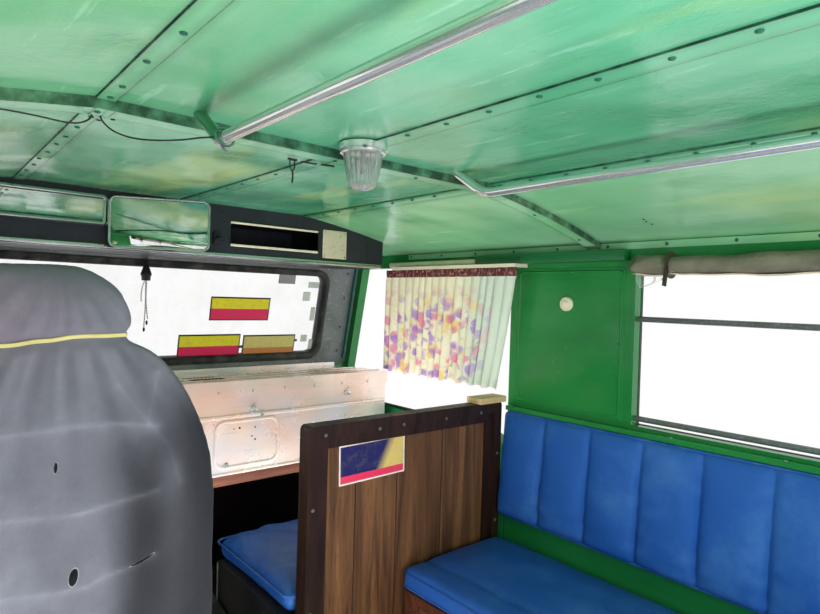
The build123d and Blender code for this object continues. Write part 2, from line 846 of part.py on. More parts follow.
def doors():
    """Half doors hung on the front cheeks, with knuckles on pins outside the wall."""
    hinge_y = outer_y + hinge_out
    rear, front = pillar_front + door_gap, hinge_x - door_gap / 2
    leaf = block((rear, front), (half_width + 1, outer_y), (door_low_z, door_top_z))
    leaf = round_edges(leaf, Axis.Y, door_corner, (Axis.X, 0))
    for z in door_rib_z:
        leaf += block(
            (rear + door_corner, front - door_corner), (outer_y, outer_y + door_rib), (z, z + 30)
        )
    pins = []
    for z in hinge_z:
        half = knuckle / 2
        at = Pos(hinge_x, hinge_y, z)
        leaf += block(
            (hinge_x - 40, hinge_x), (outer_y, outer_y + hinge_leaf), (z - half, z + half)
        )
        leaf += at * Cylinder(hinge_r, knuckle)
        leaf -= at * Cylinder(hinge_pin_r + hinge_gap, 2 * knuckle)
        top = half + knuckle_gap + end_knuckle
        pin = at * Cylinder(hinge_pin_r, 2 * top + 4)
        for end in (-1, 1):
            near, far = sorted((z + end * (half + knuckle_gap), z + end * top))
            pin += Pos(hinge_x, hinge_y, (near + far) / 2) * Cylinder(hinge_r, far - near)
            pin += block((hinge_x, hinge_x + 45), (outer_y + 1, outer_y + hinge_leaf), (near, far))
            pin += block(
                (hinge_x + door_gap / 2, hinge_x + 45), (outer_y, outer_y + hinge_leaf), (near, far)
            )
        pins += both_sides(pin)
    left, right = both_sides(leaf)
    save("left_door", left)
    save("right_door", right)
    save("door_hinges", *pins)


def rear_end():
    """Rear wall with the open doorway and a window each side, and the step below it."""
    x = (rear_x, rear_x + wall)
    through = (rear_x - wall, rear_x + 2 * wall)
    end = cabin_space(x, 0, floor_top)
    doorway = block(through, (-doorway_half, doorway_half), (floor_top - wall, doorway_top_z))
    end -= round_edges(doorway, Axis.X, 60, (Axis.Z, -1))
    for port in both_sides(round_edges(block(through, port_y, port_z), Axis.X, 40)):
        end -= port
    save("rear_wall", end)

    tread = block((rear_x - step_reach, rear_x), (-step_half, step_half), (step_z, step_z + step_plate))
    arm = block(
        (rear_x - 0.7 * step_reach, rear_x + bearer_width),
        (step_half - step_arm, step_half),
        (step_z + step_plate, sill_depth),
    )
    for part in both_sides(arm):
        tread += part
    save("rear_step", tread)


def main():
    steps = [
        floor,
        side_panels,
        window_frames,
        roof,
        ceiling_sheets,
        ceiling_strips,
        roof_bows,
        grab_rails,
        wires,
        dome_lamp,
        console,
        rear_view_mirror,
        windscreen,
        cowl,
        dash,
        steering,
        cab_floor,
        driver_seat,
        partition,
        benches,
        wheel_houses,
        curtains,
        window_bars,
        doors,
        rear_end,
    ]
    for step in steps:
        step()


main()
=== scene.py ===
"""A jeepney's cabin: the looks of the coach body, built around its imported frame."""

import logging
import math
from collections.abc import Callable
from dataclasses import dataclass, field
from enum import Enum
from functools import cache

import bmesh
import bpy
import numpy as np
from mathutils import Matrix
from mathutils.bvhtree import BVHTree


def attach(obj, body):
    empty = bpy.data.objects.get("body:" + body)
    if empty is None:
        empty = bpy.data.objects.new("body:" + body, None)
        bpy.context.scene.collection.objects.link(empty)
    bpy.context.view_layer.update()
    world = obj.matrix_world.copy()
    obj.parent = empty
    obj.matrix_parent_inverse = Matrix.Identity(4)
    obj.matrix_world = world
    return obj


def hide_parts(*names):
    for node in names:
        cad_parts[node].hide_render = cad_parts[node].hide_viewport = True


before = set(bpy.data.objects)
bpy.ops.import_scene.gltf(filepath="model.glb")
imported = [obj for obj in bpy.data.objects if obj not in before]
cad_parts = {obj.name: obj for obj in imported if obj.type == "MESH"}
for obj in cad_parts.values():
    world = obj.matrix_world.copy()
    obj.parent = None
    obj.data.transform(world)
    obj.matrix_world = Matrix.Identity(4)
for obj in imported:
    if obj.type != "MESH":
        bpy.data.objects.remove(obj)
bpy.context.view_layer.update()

Array = np.ndarray
Point = tuple[float, float, float]
Colour = tuple[float, float, float]
Profile = list[tuple[float, float]]
log = logging.getLogger("jeepney_cabin")


class Slot(Enum):
    """The record's material slots."""

    CEILING = "green_ceiling"
    BODY = "green_body"
    ROOF = "roof_paint"
    BLACK = "black_frame"
    PILLAR = "grey_pillar"
    CONSOLE = "dark_console"
    POLISHED = "polished"
    DASH = "dash_metal"
    LAMP = "lamp_glass"
    SCREEN = "screen_glass"
    MIRROR = "mirror_glass"
    DARK_WOOD = "dark_wood"
    PLANK = "plank_wood"
    COVER = "grey_cover"
    VINYL = "blue_vinyl"
    CURTAIN = "curtain_cloth"
    TARPAULIN = "tarpaulin"
    STEEL = "grey_steel"
    RUBBER = "black_rubber"
    FLOOR = "floor_metal"
    CREAM = "cream_paint"
    ZINC = "zinc"


# Shapes


@dataclass
class Skin:
    """A surface before it becomes a mesh.

    points holds (n, 3) places, quads (k, 4) point numbers, corners (k, 4, 2) UV pairs in metres
    and lids the many-sided faces that close an end.
    """

    points: Array
    quads: Array
    corners: Array
    lids: list[list[int]] = field(default_factory=list)


def lattice(
    points: Array,
    around: bool = False,
    ring: bool = False,
    lids: bool = False,
    size: tuple[float, float] = (1.0, 1.0),
) -> Skin:
    """Four-cornered faces between neighbouring points of a grid.

    Args:
        points: places, shape (rows, columns, 3).
        around: joins the last column to the first.
        ring: joins the last row to the first.
        lids: closes the first and last row with a face each.
        size: what the whole grid measures across and along, for its UV pairs.

    Returns:
        The surface.
    """
    rows, columns = points.shape[:2]
    down = rows if ring else rows - 1
    across = columns if around else columns - 1
    i, j = np.meshgrid(np.arange(down), np.arange(across), indexing="ij")
    below, beside = (i + 1) % rows, (j + 1) % columns
    quads = [i * columns + j, i * columns + beside, below * columns + beside, below * columns + j]
    u, v = j / across * size[0], i / down * size[1]
    du, dv = size[0] / across, size[1] / down
    corners = [(u, v), (u + du, v), (u + du, v + dv), (u, v + dv)]
    ends = []
    if lids:
        last = (rows - 1) * columns
        ends = [list(range(columns))[::-1], list(range(last, last + columns))]
    return Skin(
        points.reshape(-1, 3),
        np.stack(quads, -1).reshape(-1, 4),
        np.stack([np.stack(pair, -1) for pair in corners], -2).reshape(-1, 4, 2),
        ends,
    )


def joined(skins: list[Skin]) -> Skin:
    """One surface of several, whose faces keep to their own points."""
    starts = np.cumsum([0] + [len(skin.points) for skin in skins])
    return Skin(
        np.concatenate([skin.points for skin in skins]),
        np.concatenate([skin.quads + start for skin, start in zip(skins, starts)]),
        np.concatenate([skin.corners for skin in skins]),
        [[int(n + start) for n in lid] for skin, start in zip(skins, starts) for lid in skin.lids],
    )


def moved(skin: Skin, offset: Point, turn: Array | None = None) -> Skin:
    """The surface turned by a 3x3 matrix about the origin and then shifted by offset."""
    points = skin.points if turn is None else skin.points @ turn.T
    return Skin(points + np.array(offset), skin.quads, skin.corners, skin.lids)


def mirrored(skin: Skin) -> Skin:
    """The surface on the other side of the cabin, its faces turned back the right way."""
    return Skin(
        skin.points * (1, -1, 1),
        skin.quads[:, ::-1],
        skin.corners[:, ::-1],
        [lid[::-1] for lid in skin.lids],
    )


def both(skin: Skin) -> Skin:
    """The surface and its mirror image across the middle of the cabin."""
    return joined([skin, mirrored(skin)])


def two_sided(places: Array) -> Array:
    """Places (k, 3) and their mirror images across the middle of the cabin."""
    return np.concatenate([places, places * (1, -1, 1)])


def sideways(places: Array, sign: int = 1) -> Array:
    """The way out of the cabin on each place's own side, or with a sign of -1 the way in."""
    return np.column_stack([0 * places[:, 0], sign * np.sign(places[:, 1]), 0 * places[:, 0]])


def repeated(skin: Skin, places: Array, turns: Array | None = None) -> Skin:
    """Copies of a small surface, each turned and then shifted.

    Args:
        skin: the surface, about the origin.
        places: where the copies go, shape (k, 3).
        turns: how they are turned, shape (k, 3, 3), or none.

    Returns:
        All the copies as one surface.
    """
    places = np.asarray(places, float)
    count, size = len(places), len(skin.points)
    if turns is None:
        turns = np.broadcast_to(np.eye(3), (count, 3, 3))
    points = np.einsum("kij,nj->kni", turns, skin.points) + places[:, None]
    starts = np.arange(count) * size
    return Skin(
        points.reshape(-1, 3),
        (skin.quads[None] + starts[:, None, None]).reshape(-1, 4),
        np.tile(skin.corners, (count, 1, 1)),
        [[int(n + start) for n in lid] for start in starts for lid in skin.lids],
    )


def facing(normals: Array) -> Array:
    """Turns (k, 3, 3) that take the Z axis to each of the normals (k, 3)."""
    z = normals / np.linalg.norm(normals, axis=1, keepdims=True)
    side = np.where(np.abs(z[:, :1]) > 0.9, [[0.0, 1.0, 0.0]], [[1.0, 0.0, 0.0]])
    y = np.cross(z, side)
    y /= np.linalg.norm(y, axis=1, keepdims=True)
    return np.stack([np.cross(y, z), y, z], -1)


def basis(x: Point, y: Point) -> Array:
    """The turn that takes X and Y to two directions at right angles, and Z square to both."""
    x, y = np.array(x, float), np.array(y, float)
    return np.column_stack([x, y, np.cross(x, y)])


def about_z(angle: float) -> Array:
    """The turn about the Z axis by an angle in radians."""
    c, s = math.cos(angle), math.sin(angle)
    return np.array([[c, -s, 0], [s, c, 0], [0, 0, 1]])


FACING_FRONT = basis((0, 1, 0), (0, 0, 1))
FACING_REAR = basis((0, -1, 0), (0, 0, 1))
FACING_LEFT = basis((-1, 0, 0), (0, 0, 1))
FACING_RIGHT = basis((1, 0, 0), (0, 0, 1))
SIDES = ((1, "left"), (-1, "right"))


def on_side(skin: Skin, side: int) -> Skin:
    """A surface drawn for the left side, or its mirror image for a side of -1."""
    return skin if side > 0 else mirrored(skin)


def angles(count: int, start: float = 0.0) -> Array:
    """Even steps once round a circle, from a starting angle."""
    return np.arange(count) / count * 2 * np.pi + start


def laid(outline: Array, z: float) -> Array:
    """An outline (n, 2) laid flat at a height, as (n, 3)."""
    return np.column_stack([outline, np.full(len(outline), z)])


def stood(outline: Array, centre: Point, along: int = 0) -> Array:
    """An outline (n, 2) stood on end about a centre, its first axis along X, or along Y for 1."""
    points = np.zeros((len(outline), 3))
    points[:, [along, 2]] = outline
    return points + centre


def row(start: Point, end: Point, pitch: float) -> Array:
    """Places (k, 3) on a straight run, about a pitch apart, with one at each end."""
    start, end = np.array(start, float), np.array(end, float)
    count = max(2, round(float(np.linalg.norm(end - start)) / pitch) + 1)
    return start + np.linspace(0, 1, count)[:, None] * (end - start)


def round_outline(width: float, height: float, radius: float, corner: int = 6) -> Array:
    """A round-cornered rectangle about the origin, anticlockwise.

    Each corner is a quarter circle about a point one radius inside both of its sides.

    Args:
        width: its length along X.
        height: its length along Y.
        radius: of its corners, cut down where the sides are too short.
        corner: points in each quarter circle.

    Returns:
        Points, shape (4 * corner, 2).
    """
    radius = min(radius, width / 2 - 1e-6, height / 2 - 1e-6)
    angle = np.linspace(0, np.pi / 2, corner)
    quarters = angle[None] + np.arange(4)[:, None] * np.pi / 2
    x = np.array([1, -1, -1, 1])[:, None] * (width / 2 - radius) + radius * np.cos(quarters)
    y = np.array([1, 1, -1, -1])[:, None] * (height / 2 - radius) + radius * np.sin(quarters)
    return np.stack([x.ravel(), y.ravel()], -1)


def slab(width: float, height: float, thick: float, radius: float, bevel: float) -> Skin:
    """A round-cornered board about the origin in the XY plane, with eased edges.

    Rings of the outline are drawn in along a quarter circle towards both faces.

    Args:
        width: its length along X.
        height: its length along Y.
        thick: its thickness along Z.
        radius: of its corners.
        bevel: how far its edges are eased.

    Returns:
        The closed surface.
    """
    quarter = np.linspace(0, np.pi / 2, 4)
    drawn_in = bevel * (1 - np.sin(quarter))
    rise = thick / 2 - bevel * (1 - np.cos(quarter))
    inset = np.concatenate([drawn_in, drawn_in[::-1]])
    rings = [
        laid(round_outline(width - 2 * d, height - 2 * d, max(radius - d, 1e-4)), z)
        for d, z in zip(inset, np.concatenate([-rise, rise[::-1]]))
    ]
    return lattice(np.array(rings), around=True, lids=True, size=(2 * (width + height), thick))


def board(low: Point, high: Point, bevel: float = 0.0015) -> Skin:
    """A board between two corners, lying flat on its thinnest side, with eased edges.

    Args:
        low: its lowest corner.
        high: its highest corner.
        bevel: how far its edges are eased, at most about half its thickness.

    Returns:
        The closed surface.
    """
    low, high = np.array(low, float), np.array(high, float)
    span = high - low
    thin = int(np.argmin(span))
    order = [(thin + 1) % 3, (thin + 2) % 3, thin]
    bevel = min(bevel, span[thin] / 2.1)
    flat = slab(span[order[0]], span[order[1]], span[thin], bevel * 1.5, bevel)
    turn = np.zeros((3, 3))
    turn[order, [0, 1, 2]] = 1
    return moved(flat, (low + high) / 2, turn)


def path_frames(path: Array, closed: bool = False) -> tuple[Array, Array]:
    """Two directions square to a path at each of its points, carried along without twist.

    The first side is carried from point to point by taking out what lies along the path.

    Args:
        path: its points, shape (n, 3).
        closed: its end joins its start.

    Returns:
        The two directions at each point, each of shape (n, 3).
    """
    ahead = np.roll(path, -1, 0) - np.roll(path, 1, 0) if closed else np.gradient(path, axis=0)
    ahead /= np.linalg.norm(ahead, axis=1, keepdims=True)
    side = np.cross(ahead[0], (0, 0, 1.0))
    if np.linalg.norm(side) < 0.1:
        side = np.cross(ahead[0], (0, 1.0, 0))
    sides = []
    for direction in ahead:
        side = side - direction * (side @ direction)
        side = side / np.linalg.norm(side)
        sides.append(side)
    sides = np.array(sides)
    return sides, np.cross(sides, ahead)


def swept(path: Array, profile: Array, closed: bool = False) -> Skin:
    """A closed profile carried along a path: side times its x plus up times its y.

    Args:
        path: the points it passes, shape (n, 3).
        profile: its outline, shape (m, 2).
        closed: the path's end joins its start.

    Returns:
        The closed surface.
    """
    path = np.asarray(path, float)
    side, up = path_frames(path, closed)
    rings = path[:, None] + side[:, None] * profile[None, :, :1] + up[:, None] * profile[None, :, 1:]
    length = float(np.linalg.norm(np.diff(path, axis=0), axis=1).sum())
    girth = float(np.linalg.norm(profile - np.roll(profile, 1, 0), axis=1).sum())
    return lattice(rings, around=True, ring=closed, lids=not closed, size=(girth, length))


def circle(radius: float, count: int = 16) -> Array:
    """Points (count, 2) round a circle about the origin."""
    return radius * np.column_stack([np.cos(angles(count)), np.sin(angles(count))])


def strap(half_thick: float, half_wide: float) -> Array:
    """The four corners (4, 2) of a flat strap's section."""
    return np.array([(-1, -1), (1, -1), (1, 1), (-1, 1)]) * (half_thick, half_wide)


def tube(path: Array, radius: float, count: int = 16, closed: bool = False) -> Skin:
    """A round bar along a path."""
    return swept(path, circle(radius, count), closed)


def rod(start: Point, end: Point, radius: float, count: int = 12) -> Skin:
    """A straight round bar between two points."""
    return tube(np.array([start, end]), radius, count)


def turned(profile: Profile, count: int = 24) -> Skin:
    """A profile of (radius, height) pairs turned about the Z axis, with flat lids at its ends."""
    r, z = np.array(profile, float).T
    angle = angles(count)
    rings = [r[:, None] * np.cos(angle), r[:, None] * np.sin(angle), z[:, None] + 0 * angle]
    return lattice(np.stack(rings, -1), around=True, lids=True)


def rounded_path(corners: list[Point], radius: float, steps: int = 8) -> Array:
    """Straight runs with round bends.

    Each bend is the curve from one run to the next that has the corner as its middle control
    point.

    Args:
        corners: where the straight runs would meet.
        radius: how far from a corner its bend starts, at most about half of a run.
        steps: points in each bend.

    Returns:
        The path's points, shape (n, 3).
    """
    corners = np.array(corners, float)
    points = [corners[0][None]]
    t = np.linspace(0, 1, steps)[:, None]
    for before, here, after in zip(corners, corners[1:], corners[2:]):
        back, on = before - here, after - here
        reach = min(radius, 0.49 * np.linalg.norm(back), 0.49 * np.linalg.norm(on))
        first = here + back / np.linalg.norm(back) * reach
        last = here + on / np.linalg.norm(on) * reach
        points.append((1 - t) ** 2 * first + 2 * t * (1 - t) * here + t**2 * last)
    return np.concatenate(points + [corners[-1][None]])


def bent_tube(corners: list[Point], bend: float, radius: float, steps: int = 8, count: int = 16) -> Skin:
    """A round bar that runs straight between corners and bends round each of them."""
    return tube(rounded_path(corners, bend, steps), radius, count)


def screw_head(radius: float, height: float) -> Skin:
    """A low round screw head on the XY plane, sunk a little so that it meets its sheet."""
    shares = ((1, 0.35), (0.8, 0.8), (0.4, 1))
    return turned([(radius, -0.001)] + [(radius * r, height * z) for r, z in shares], 8)


def rim(width: float, height: float, radius: float, profile: Profile, corner: int = 8) -> Skin:
    """A closed profile carried round a round-cornered rectangle in the XY plane.

    Each (out, up) pair of the profile draws the rectangle that much larger and that much higher.

    Args:
        width: the rectangle's length along X.
        height: the rectangle's length along Y.
        radius: of its corners.
        profile: the (out, up) pairs.
        corner: points in each corner.

    Returns:
        The closed ring.
    """
    rings = [
        laid(round_outline(width + 2 * out, height + 2 * out, max(radius + out, 1e-4), corner), up)
        for out, up in profile
    ]
    return lattice(np.array(rings), around=True, ring=True, size=(2 * (width + height), 0.05))


def bead(width: float, height: float, steps: int = 7) -> Profile:
    """A half-round profile of (out, up) pairs, width across and height high, with a flat foot."""
    angle = np.linspace(0, np.pi, steps)
    arch = [(float(-width / 2 * np.cos(a)), float(height * np.sin(a))) for a in angle]
    return arch + [(width / 2, -0.001), (-width / 2, -0.001)]


def collar(radius: float, width: float, depth: float) -> Skin:
    """A half-round ring about a lens, on the XY plane."""
    return rim(2 * radius, 2 * radius, radius - 1e-5, bead(width, depth), 12)


def lens(radius: float, depth: float) -> Skin:
    """A domed lamp lens on the XY plane."""
    t = np.linspace(0, 0.93, 6)[1:]
    dome = [(float(radius * math.sqrt(1 - a * a)), float(depth * (0.4 + 0.6 * a))) for a in t]
    return turned([(radius, -0.001), (radius, depth * 0.4), *dome], 24)


def flat_card(width: float, height: float, thick: float) -> Skin:
    """A thin card in the XY plane.

    Its front is one face, with UV pairs from 0 to 1 over it, and a shallow tray closes its back.

    Args:
        width: its length along X.
        height: its length along Y.
        thick: how far its front and back lie from the plane.

    Returns:
        The closed surface.
    """
    x, y = width / 2, height / 2
    front = np.array([[[-x, -y, thick], [x, -y, thick]], [[-x, y, thick], [x, y, thick]]])
    ring = strap(x, y)
    edge = lattice(np.array([laid(ring, -thick), laid(ring, thick)]), around=True)
    edge.corners = edge.corners * 0
    edge.lids = [[0, 1, 2, 3]]
    return joined([lattice(front), edge])


# Finishes


def paint(red: int, green: int, blue: int) -> Colour:
    """A colour as the eye names it, from 0 to 255, in the renderer's linear values."""
    share = np.array([red, green, blue]) / 255
    linear = np.where(share <= 0.04045, share / 12.92, ((share + 0.055) / 1.055) ** 2.4)
    return tuple(float(x) for x in linear)


Socket = bpy.types.NodeSocket


class Recipe:
    """One material's node tree, with a short call for each kind of node the finishes use."""

    def __init__(self, name: str) -> None:
        """Starts a material that holds one surface shader."""
        self.material = bpy.data.materials.new(name)
        self.material.use_nodes = True
        self.nodes = self.material.node_tree.nodes
        self.links = self.material.node_tree.links
        self.nodes.clear()
        self.surface = self.nodes.new("ShaderNodeBsdfPrincipled")
        self.output = self.nodes.new("ShaderNodeOutputMaterial")
        self.links.new(self.surface.outputs[0], self.output.inputs["Surface"])

    def feed(self, socket: Socket, value: object) -> None:
        """Links an output to a socket, or sets the socket's own value.

        Args:
            socket: the input to fill.
            value: an output, a number, or a colour as three numbers.
        """
        if isinstance(value, bpy.types.NodeSocket):
            self.links.new(value, socket)
        elif isinstance(value, tuple) and len(value) == 3 and socket.type == "RGBA":
            socket.default_value = (*value, 1)
        else:
            socket.default_value = value

    def node(self, kind: str, settings: dict | None = None, **inputs: object) -> bpy.types.Node:
        """A new node.

        Args:
            kind: Blender's name for it.
            settings: its properties by name.
            **inputs: its inputs by name, with an underscore for each space.

        Returns:
            The node.
        """
        node = self.nodes.new(kind)
        for name, value in (settings or {}).items():
            setattr(node, name, value)
        for name, value in inputs.items():
            self.feed(node.inputs[name.replace("_", " ")], value)
        return node

    def set(self, **inputs: object) -> None:
        """Sets or links the surface shader's inputs."""
        for name, value in inputs.items():
            self.feed(self.surface.inputs[name.replace("_", " ")], value)

    def place(self, scale: Point = (1, 1, 1), turn: Point = (0, 0, 0), uv: bool = False) -> Socket:
        """Object coordinates, or the UV map's, stretched and turned."""
        source = self.node("ShaderNodeTexCoord").outputs["UV" if uv else "Object"]
        return self.node("ShaderNodeMapping", Vector=source, Scale=scale, Rotation=turn).outputs[0]

    def axes(self, uv: bool = False) -> tuple[Socket, Socket, Socket]:
        """The coordinates one by one."""
        source = self.node("ShaderNodeTexCoord").outputs["UV" if uv else "Object"]
        return tuple(self.node("ShaderNodeSeparateXYZ", Vector=source).outputs)

    def noise(
        self, where: Socket, scale: float, detail: float = 2.0, rough: float = 0.5, bend: float = 0.0
    ) -> Socket:
        """A cloudy pattern from 0 to 1."""
        inputs = {"Scale": scale, "Detail": detail, "Roughness": rough, "Distortion": bend}
        return self.node("ShaderNodeTexNoise", Vector=where, **inputs).outputs[0]

    def cells(self, where: Socket, scale: float, feature: str = "F1") -> Socket:
        """The distance to the nearest of many scattered points, or to the edge between two."""
        node = self.node("ShaderNodeTexVoronoi", {"feature": feature}, Vector=where, Scale=scale)
        return node.outputs["Distance"]

    def spread(self, value: Socket, low: float, high: float, start: float = 0, end: float = 1) -> Socket:
        """Carries the run from low to high over to start to end, held at both ends."""
        runs = {"From_Min": low, "From_Max": high, "To_Min": start, "To_Max": end}
        return self.node("ShaderNodeMapRange", {"clamp": True}, Value=value, **runs).outputs[0]

    def sum(self, how: str, first: object, second: object = 0.0) -> Socket:
        """One step of arithmetic.

        Args:
            how: Blender's name for it.
            first: a number or an output.
            second: another, where the step takes two.

        Returns:
            The result.
        """
        node = self.nodes.new("ShaderNodeMath")
        node.operation = how
        self.feed(node.inputs[0], first)
        self.feed(node.inputs[1], second)
        return node.outputs[0]

    def times(self, first: object, second: object) -> Socket:
        """Two numbers multiplied."""
        return self.sum("MULTIPLY", first, second)

    def most(self, first: object, second: object) -> Socket:
        """The larger of two numbers."""
        return self.sum("MAXIMUM", first, second)

    def away(self, value: Socket, middle: float) -> Socket:
        """How far a value is from the middle, either way."""
        return self.sum("ABSOLUTE", self.sum("SUBTRACT", value, middle))

    def near(self, value: Socket, middle: float, reach: float) -> Socket:
        """1 where the value is at the middle, falling to 0 a reach away from it."""
        return self.spread(self.away(value, middle), 0, reach, 1, 0)

    def weave(self, first: Socket, second: Socket, pitch: float) -> Socket:
        """Threads both ways: the sines of two coordinates times the pitch, multiplied."""
        return self.times(*(self.sum("SINE", self.times(axis, pitch)) for axis in (first, second)))

    def blend(self, share: object, first: object, second: object) -> Socket:
        """Mixes two colours.

        Args:
            share: how much of the second colour shows, from 0 to 1.
            first: a colour or an output.
            second: another.

        Returns:
            The mixed colour.
        """
        node = self.nodes.new("ShaderNodeMix")
        node.data_type = "RGBA"
        self.feed(node.inputs[0], share)
        self.feed(node.inputs[6], first)
        self.feed(node.inputs[7], second)
        return node.outputs[2]

    def over(self, tone: object, colour: object, pattern: Socket, strength: object) -> Socket:
        """Another colour laid over the tone where a pattern shows, as strongly as given."""
        return self.blend(self.times(pattern, strength), tone, colour)

    def bump(self, height: Socket, depth: float, over: Socket | None = None) -> Socket:
        """Bends the surface's direction by a height.

        Args:
            height: a pattern from 0 to 1.
            depth: what its full run measures, in metres.
            over: a bent direction that this one adds to.

        Returns:
            The bent direction.
        """
        node = self.node("ShaderNodeBump", Height=height, Strength=1.0, Distance=depth)
        if over is not None:
            self.feed(node.inputs["Normal"], over)
        return node.outputs[0]


@dataclass(frozen=True)
class Finish:
    """A finish by its name; each kind says what its surface looks like."""

    name: str

    def lay(self, r: Recipe) -> None:
        """Builds the finish's nodes in a recipe; each kind of finish has its own."""

    @cache
    def material(self) -> bpy.types.Material:
        """The finish's material, made once."""
        recipe = Recipe(self.name)
        self.lay(recipe)
        return recipe.material


@dataclass(frozen=True)
class Gloss(Finish):
    """Brushed-on gloss enamel over sheet metal: cloudy colour, faint drips, wavy reflections."""

    colour: Colour
    pale: Colour
    dark: Colour
    rough: float = 0.22
    cloud: float = 0.45
    wave: float = 0.0016
    grain: float = 0.00022
    dirt: Colour = paint(46, 44, 34)
    dirty: float = 0.25
    peel: float = 0.0004

    def tones(self, r: Recipe) -> Socket:
        """Clouds, streaks and chips mix the colours; the recipe r gets the nodes."""
        where = r.place()
        cloud = r.spread(r.noise(where, 1.7, 4, 0.6), 0.38, 0.72)
        streak = r.spread(r.noise(r.place((3, 22, 22)), 1.0, 3, 0.6), 0.45, 0.8)
        tone = r.over(self.colour, self.pale, cloud, self.cloud)
        tone = r.over(tone, self.dark, streak, 0.28)
        chips = r.spread(r.noise(where, 38, 5, 0.7), 0.66, 0.74)
        return r.over(tone, self.dirt, chips, self.dirty)

    def lay(self, r: Recipe) -> None:
        """Three sizes of noise bend the surface: long waves, brushed runs and a fine skin."""
        where = r.place()
        normal = r.bump(r.noise(where, 4.2, 1.5, 0.4), self.wave * 12)
        normal = r.bump(r.noise(where, 74, 2, 0.5), self.peel, normal)
        normal = r.bump(r.noise(where, 310, 2, 0.5), self.grain, normal)
        rough = r.spread(r.noise(where, 9, 4, 0.65), 0.3, 0.75, self.rough * 0.7, self.rough * 1.7)
        r.set(Base_Color=self.tones(r), Roughness=rough, Normal=normal)


@dataclass(frozen=True)
class SeamedGloss(Gloss):
    """Enamel with dark seam lines at given y and x, partly joints and grime, partly painted shade; also
    painted yellow reflections, painted window light and one sheet of painted shade.
    """

    seams_y: tuple[float, ...] = (0.362, 0.3865, -0.034, 0.002, -0.424, -0.383)
    seams_x: tuple[float, ...] = (0.887, 0.925, -0.159, -0.121, -1.199, -1.161)
    # Dark joints and grime at the seams, and the painted shade beside them.
    seam_dirt_and_shade: Colour = paint(10, 34, 24)
    # Yellow of painted reflections of yellow-lit things outside.
    yellow_reflection: Colour = paint(206, 206, 118)
    # Paler green of painted window light.
    window_lit: Colour = paint(172, 220, 164)
    # Deeper green of painted shade on the middle sheet.
    deep: Colour = paint(18, 112, 72)

    def tones(self, r: Recipe) -> Socket:
        """A narrow dark line at each seam, a dark joint with painted contact shadow, and a wide faint one of
        painted shade, over slanting clouds of painted yellow reflection.

        Sheets by the windows are painted paler, as painted window light, and one, over the cab, is painted
        deeper green, as painted shade.
        """
        # Slanting yellow clouds: painted reflection of yellow-lit things outside the windows.
        slanted = r.place((0.8, 2.6, 2.6), (0, 0, 0.5))
        reflection_patch = r.spread(r.noise(slanted, 1.9, 3, 0.55), 0.54, 0.74, 0, 0.42)
        tone = r.blend(reflection_patch, super().tones(r), self.yellow_reflection)
        brushed = r.place((2, 16, 16), (0, 0, -0.3))
        scuff = r.spread(r.noise(brushed, 2.2, 5, 0.7), 0.60, 0.68, 0, 0.3)
        tone = r.blend(scuff, tone, self.pale)
        x, y, _ = r.axes()
        # Paler towards both window sides: painted window light.
        window_light = r.most(r.spread(y, -0.47, -0.395, 0.36, 0), r.spread(y, 0.12, 0.5, 0, 0.26))
        tone = r.blend(window_light, tone, self.window_lit)
        # The middle sheet is painted deeper green, fading out forwards: painted shade.
        middle = r.sum("MINIMUM", r.spread(y, -0.41, -0.39), r.spread(y, -0.03, 0.10, 1, 0))
        tone = r.over(tone, self.deep, middle, r.spread(x, 0.45, 0.85, 0.38, 0))
        # Seam lines: the narrow one is a dark joint with painted contact shadow, the wide faint one is
        # painted shade beside the strips and bows.
        line: object = 0.0
        for axis, places in ((y, self.seams_y), (x, self.seams_x)):
            for place in places:
                away = r.away(axis, place)
                line = r.most(line, r.spread(away, 0.0004, 0.0022, 0.9, 0))
                line = r.most(line, r.spread(away, 0, 0.011, 0.30, 0))
        uneven = r.spread(r.noise(r.place(), 30, 3, 0.6), 0.3, 0.6, 0.55, 1.0)
        return r.over(tone, self.seam_dirt_and_shade, line, uneven)


@dataclass(frozen=True)
class CoachPaint(Gloss):
    """Body enamel with a cream band and two fine lines round the outside, and road dirt below."""

    bands: tuple[tuple[float, float, Colour], ...] = (
        (0.500, 0.596, paint(222, 212, 182)),
        (0.606, 0.615, paint(226, 178, 40)),
        (0.481, 0.490, paint(178, 42, 38)),
    )
    side: float = 0.8643
    rear: float = -2.0493
    mud: Colour = paint(98, 88, 70)

    def tones(self, r: Recipe) -> Socket:
        """Bands lie between two heights, only where y or x is at the outside."""
        tone = super().tones(r)
        x, y, z = r.axes()
        out = r.sum("GREATER_THAN", r.sum("ABSOLUTE", y), self.side)
        out = r.most(out, r.sum("LESS_THAN", x, self.rear))
        for low, high, colour in self.bands:
            inside = r.times(r.sum("GREATER_THAN", z, low), r.sum("LESS_THAN", z, high))
            tone = r.over(tone, colour, inside, out)
        worn = r.spread(r.noise(r.place(), 30, 5, 0.7), 0.60, 0.70, 0, 0.35)
        tone = r.over(tone, self.dark, worn, out)
        splash = r.spread(r.noise(r.place((1, 1, 0.4)), 9, 5, 0.7), 0.34, 0.7)
        splash = r.times(r.spread(z, 0.34, 0.06), splash)
        return r.over(tone, self.mud, splash, 0.62)


